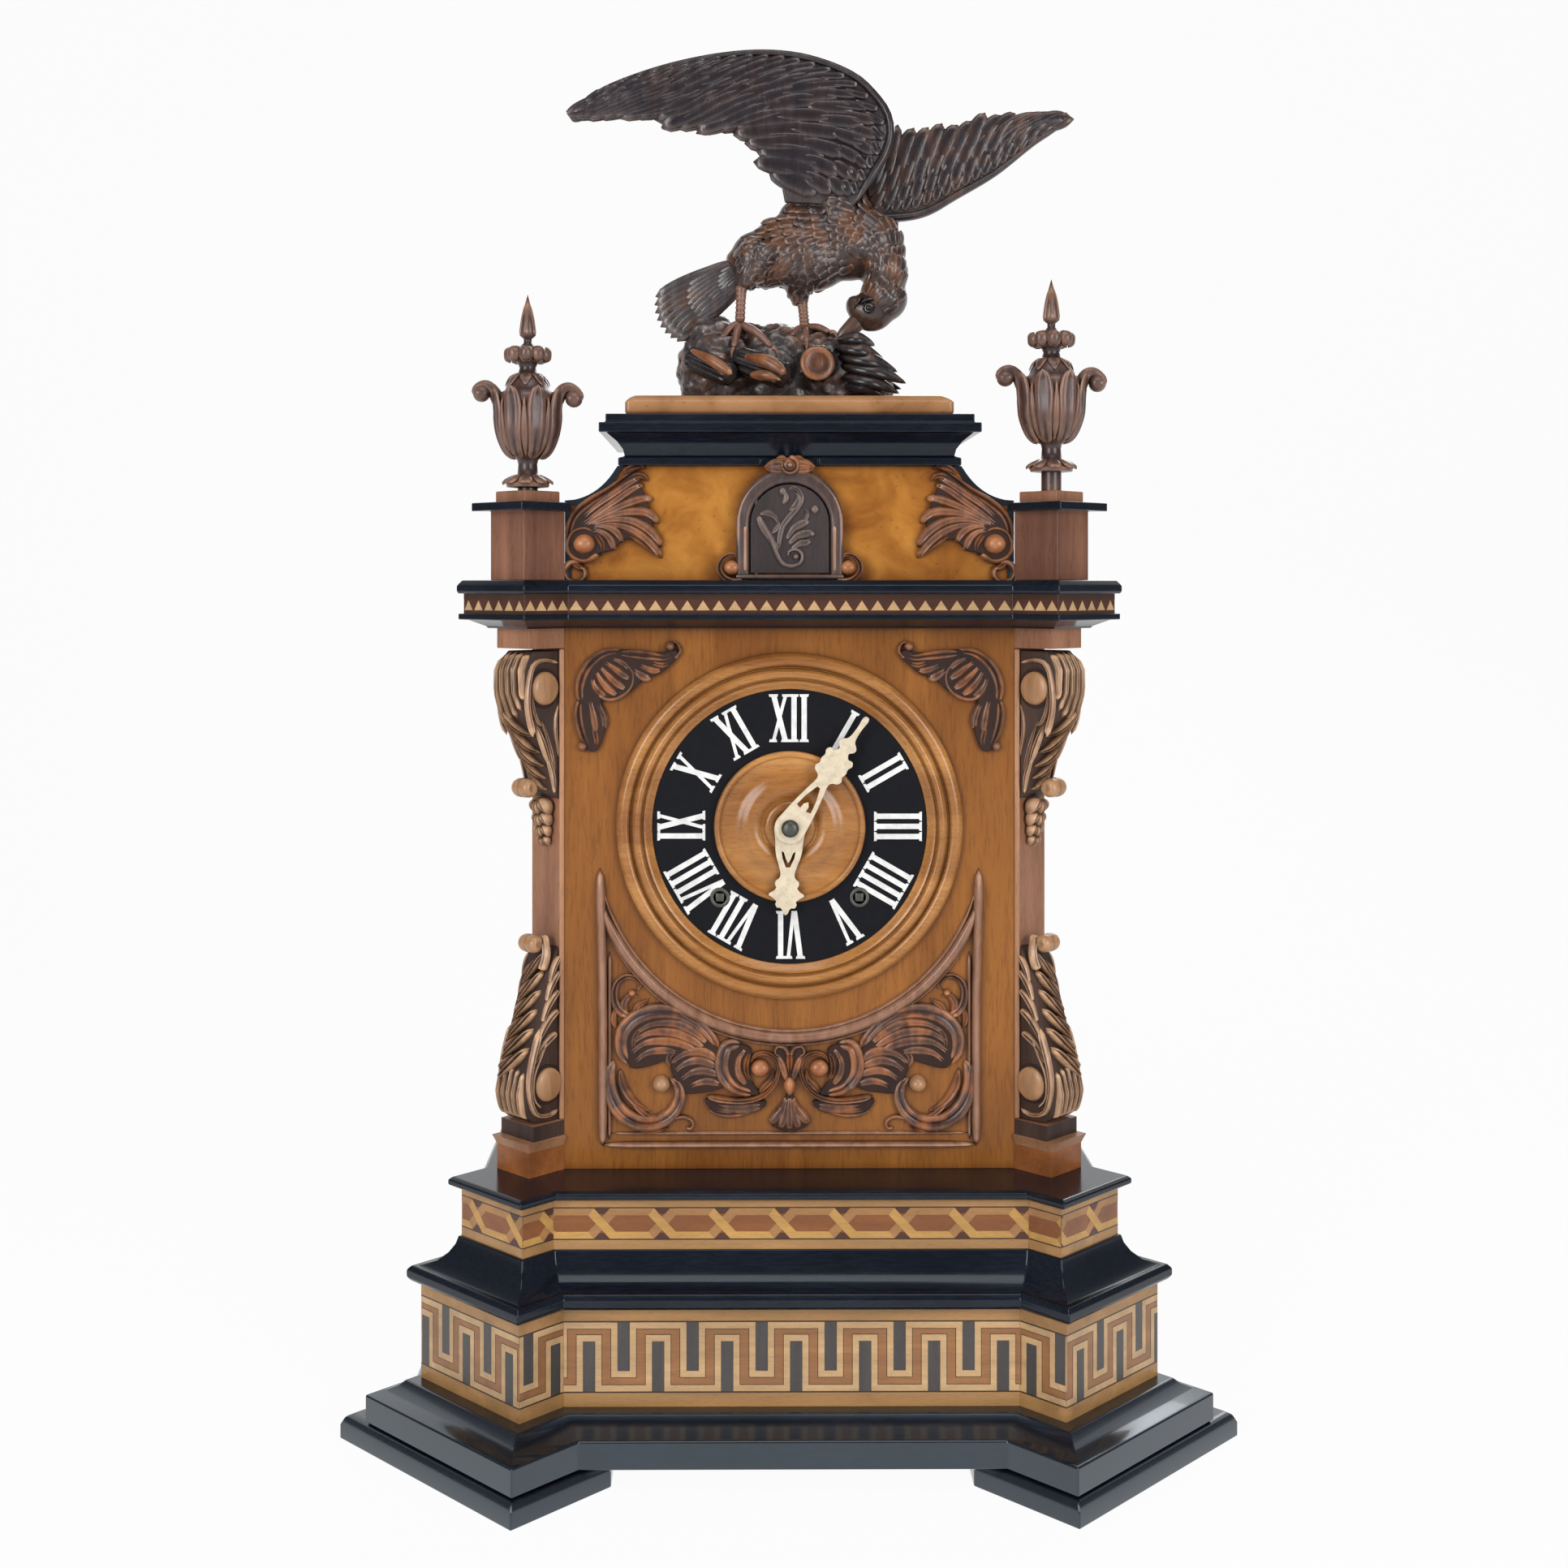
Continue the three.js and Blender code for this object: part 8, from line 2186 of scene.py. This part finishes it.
finished(cuckoo_body, "cuckoo-bird", carving, "cuckoo", smooth=60)
bill = [cut([(0, -19, 9.4), (0, -22.5, 8.8), (0, -25.2, 8.0)], 1.9, 1.5, "leaf", bird_place, sides=10,
            rings=12, under=1.0)]
whole_carving(bill, "cuckoo-bill", beak_wood, body="cuckoo")
sight = []
for side in SIDES.values():
    line = [(side * 5.0, -17.6, 10.2), (side * 5.4, -16.4, 10.2), (side * 5.4, -15.2, 10.2)]
    sight.append(cut(line, 1.2, 1.1, "round", bird_place, sides=10, rings=8, under=0.5,
                     normal=(side, 0, 0.1)))
whole_carving(sight, "cuckoo-eyes", eye_black, body="cuckoo")
carriage = board([(-6, 475.3), (6, 475.3), (6, 481), (-6, 481)], 28, face_place(0, 88, 0), 0.7, 2)
upright = board([(-3, 480), (3, 480), (3, 489.2), (-3, 489.2)], 8, face_place(0, 88, 0), 0.6, 2)
rail_profile = [(0, 0), (1.7, 0.2), (2.2, 0.8), (2.2, 57.2), (1.7, 57.8), (0, 58)]
rail = turned(rail_profile, at(0, 30, 487), BACKWARDS, 20)
post_profile = [(0, 0), (2.5, 0), (2.1, 3), (2.1, 7), (2.7, 9), (2.7, 12), (0, 12)]
post = turned(post_profile, at(0, 38, 487), (0, 0, 1), 20)
finished(joined([carriage, upright, rail, post]), "cuckoo-slide", plain_wood, body="cuckoo",
         slot="carved_walnut")
print("cuckoo", len(cuckoo_body.data.polygons), "faces")

# %% [markdown]
# Each bellows is a whistle pipe under a small board, folds of thin leather, and a top board that the movement
# lifts. The folds are kept with the lower board, so they stay down when the top board lifts.

# %% Bellows
BELLOWS_FRONT, BELLOWS_BACK = 93.4, 150.6
FOLDS = 3
for side in SIDES:
    low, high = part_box("bellows_" + side)
    top_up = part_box("bellows_top_" + side)[0].z * 1000
    dressed("bellows_" + side, plain_wood, 0.5, 2)
    dressed("bellows_top_" + side, plain_wood, 0.7, 2)
    folds = []
    for layer in range(FOLDS):
        inset = 0.9 * (layer % 2)
        near, far = low.x * 1000 + 1.6 + inset, high.x * 1000 - 1.6 - inset
        front, back = BELLOWS_FRONT + inset, BELLOWS_BACK - inset
        place = wall_place(at(0, 0, top_up - 5.2 + 1.7 * layer), (1, 0, 0), (0, 1, 0))
        folds.append(board([(near, front), (far, front), (far, back), (near, back)], 1.66, place, 0.7, 3))
    leather_folds = joined(folds)
    finished(leather_folds, "bellows-folds-" + side, leather, body="case", slot=SLOT_OF["bellows_" + side])
print("bellows made")

# %% [markdown]
# The gong is a coil of thick steel wire, screwed to an iron post on the floor of the case. A wire arm swings
# the hammer against its outer turn.

# %% Gong and hammer
GONG_BEHIND, GONG_UP = 118, 195
COIL_IN, COIL_OUT, COIL_TURNS = 8, 36, 3
gong_lay = lambda u, v, w: at(u, GONG_BEHIND - w, v)
spiral = []
for k in range(73):
    t = k / 72
    r, turn = COIL_IN + (COIL_OUT - COIL_IN) * t, 2 * math.pi * COIL_TURNS * t
    spiral.append((r * math.cos(turn), GONG_UP + r * math.sin(turn), 0))
coil = cut(spiral, 1.6, 1.6, "rib", gong_lay, sides=10, rings=260, under=1.0)
post_outline = [(-8, 149.3), (8, 149.3), (8, 197), (6.4, 201.4), (3.4, 203), (-3.4, 203), (-6.4, 201.4),
                (-8, 197)]
post = board(post_outline, 10, face_place(0, 134, 0), 0.8, 3)
stub = turned([(0, 0), (4.2, 0), (5, 0.8), (5, 4.2), (3.6, 5), (3.6, 11), (0, 11)], at(0, 114, GONG_UP),
              BACKWARDS, 32)
clamp_outline = [(3, GONG_UP - 2.5), (10, GONG_UP - 2.5), (10, GONG_UP + 2.5), (3, GONG_UP + 2.5)]
clamp = board(clamp_outline, 5, face_place(0, 120.5, 0), 0.6, 2)
finished(joined([coil, stub, clamp]), "gong-coil", steel, "gong")
finished(post, "gong-post", nut_steel, body="case", slot=SLOT_OF["gong"])
arbor = turned([(0, 0), (1.4, 0.1), (1.8, 0.5), (1.8, 37.8), (1.4, 38.3), (0, 38.4)], at(52, 83.6, 262),
               BACKWARDS, 16)
arm = cut([(52, 262, 0), (46, 240, 0), (39.4, 217, 0)], 1.3, 1.3, "rib", gong_lay, sides=10, rings=24,
          under=1.0)
mallet = turned([(0, -4), (2.0, -4), (3.0, -3), (3.9, -1.4), (3.9, 1.4), (3.0, 3), (2.0, 4), (0, 4)],
                at(38.5, GONG_BEHIND, 213.7), (1, 0, 0), 28)
finished(joined([arbor, arm]), "gong-hammer-arm", steel, "gong_hammer")
finished(mallet, "gong-hammer-head", leather, body="gong_hammer", slot=SLOT_OF["gong_hammer"])
print("gong and hammer made")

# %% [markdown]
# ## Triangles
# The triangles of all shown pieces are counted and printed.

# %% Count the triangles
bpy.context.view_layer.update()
triangles = 0
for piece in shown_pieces():
    if piece.type == "MESH" and not piece.hide_render:
        triangles += sum(len(face.vertices) - 2 for face in piece.data.polygons)
print("triangles", triangles)
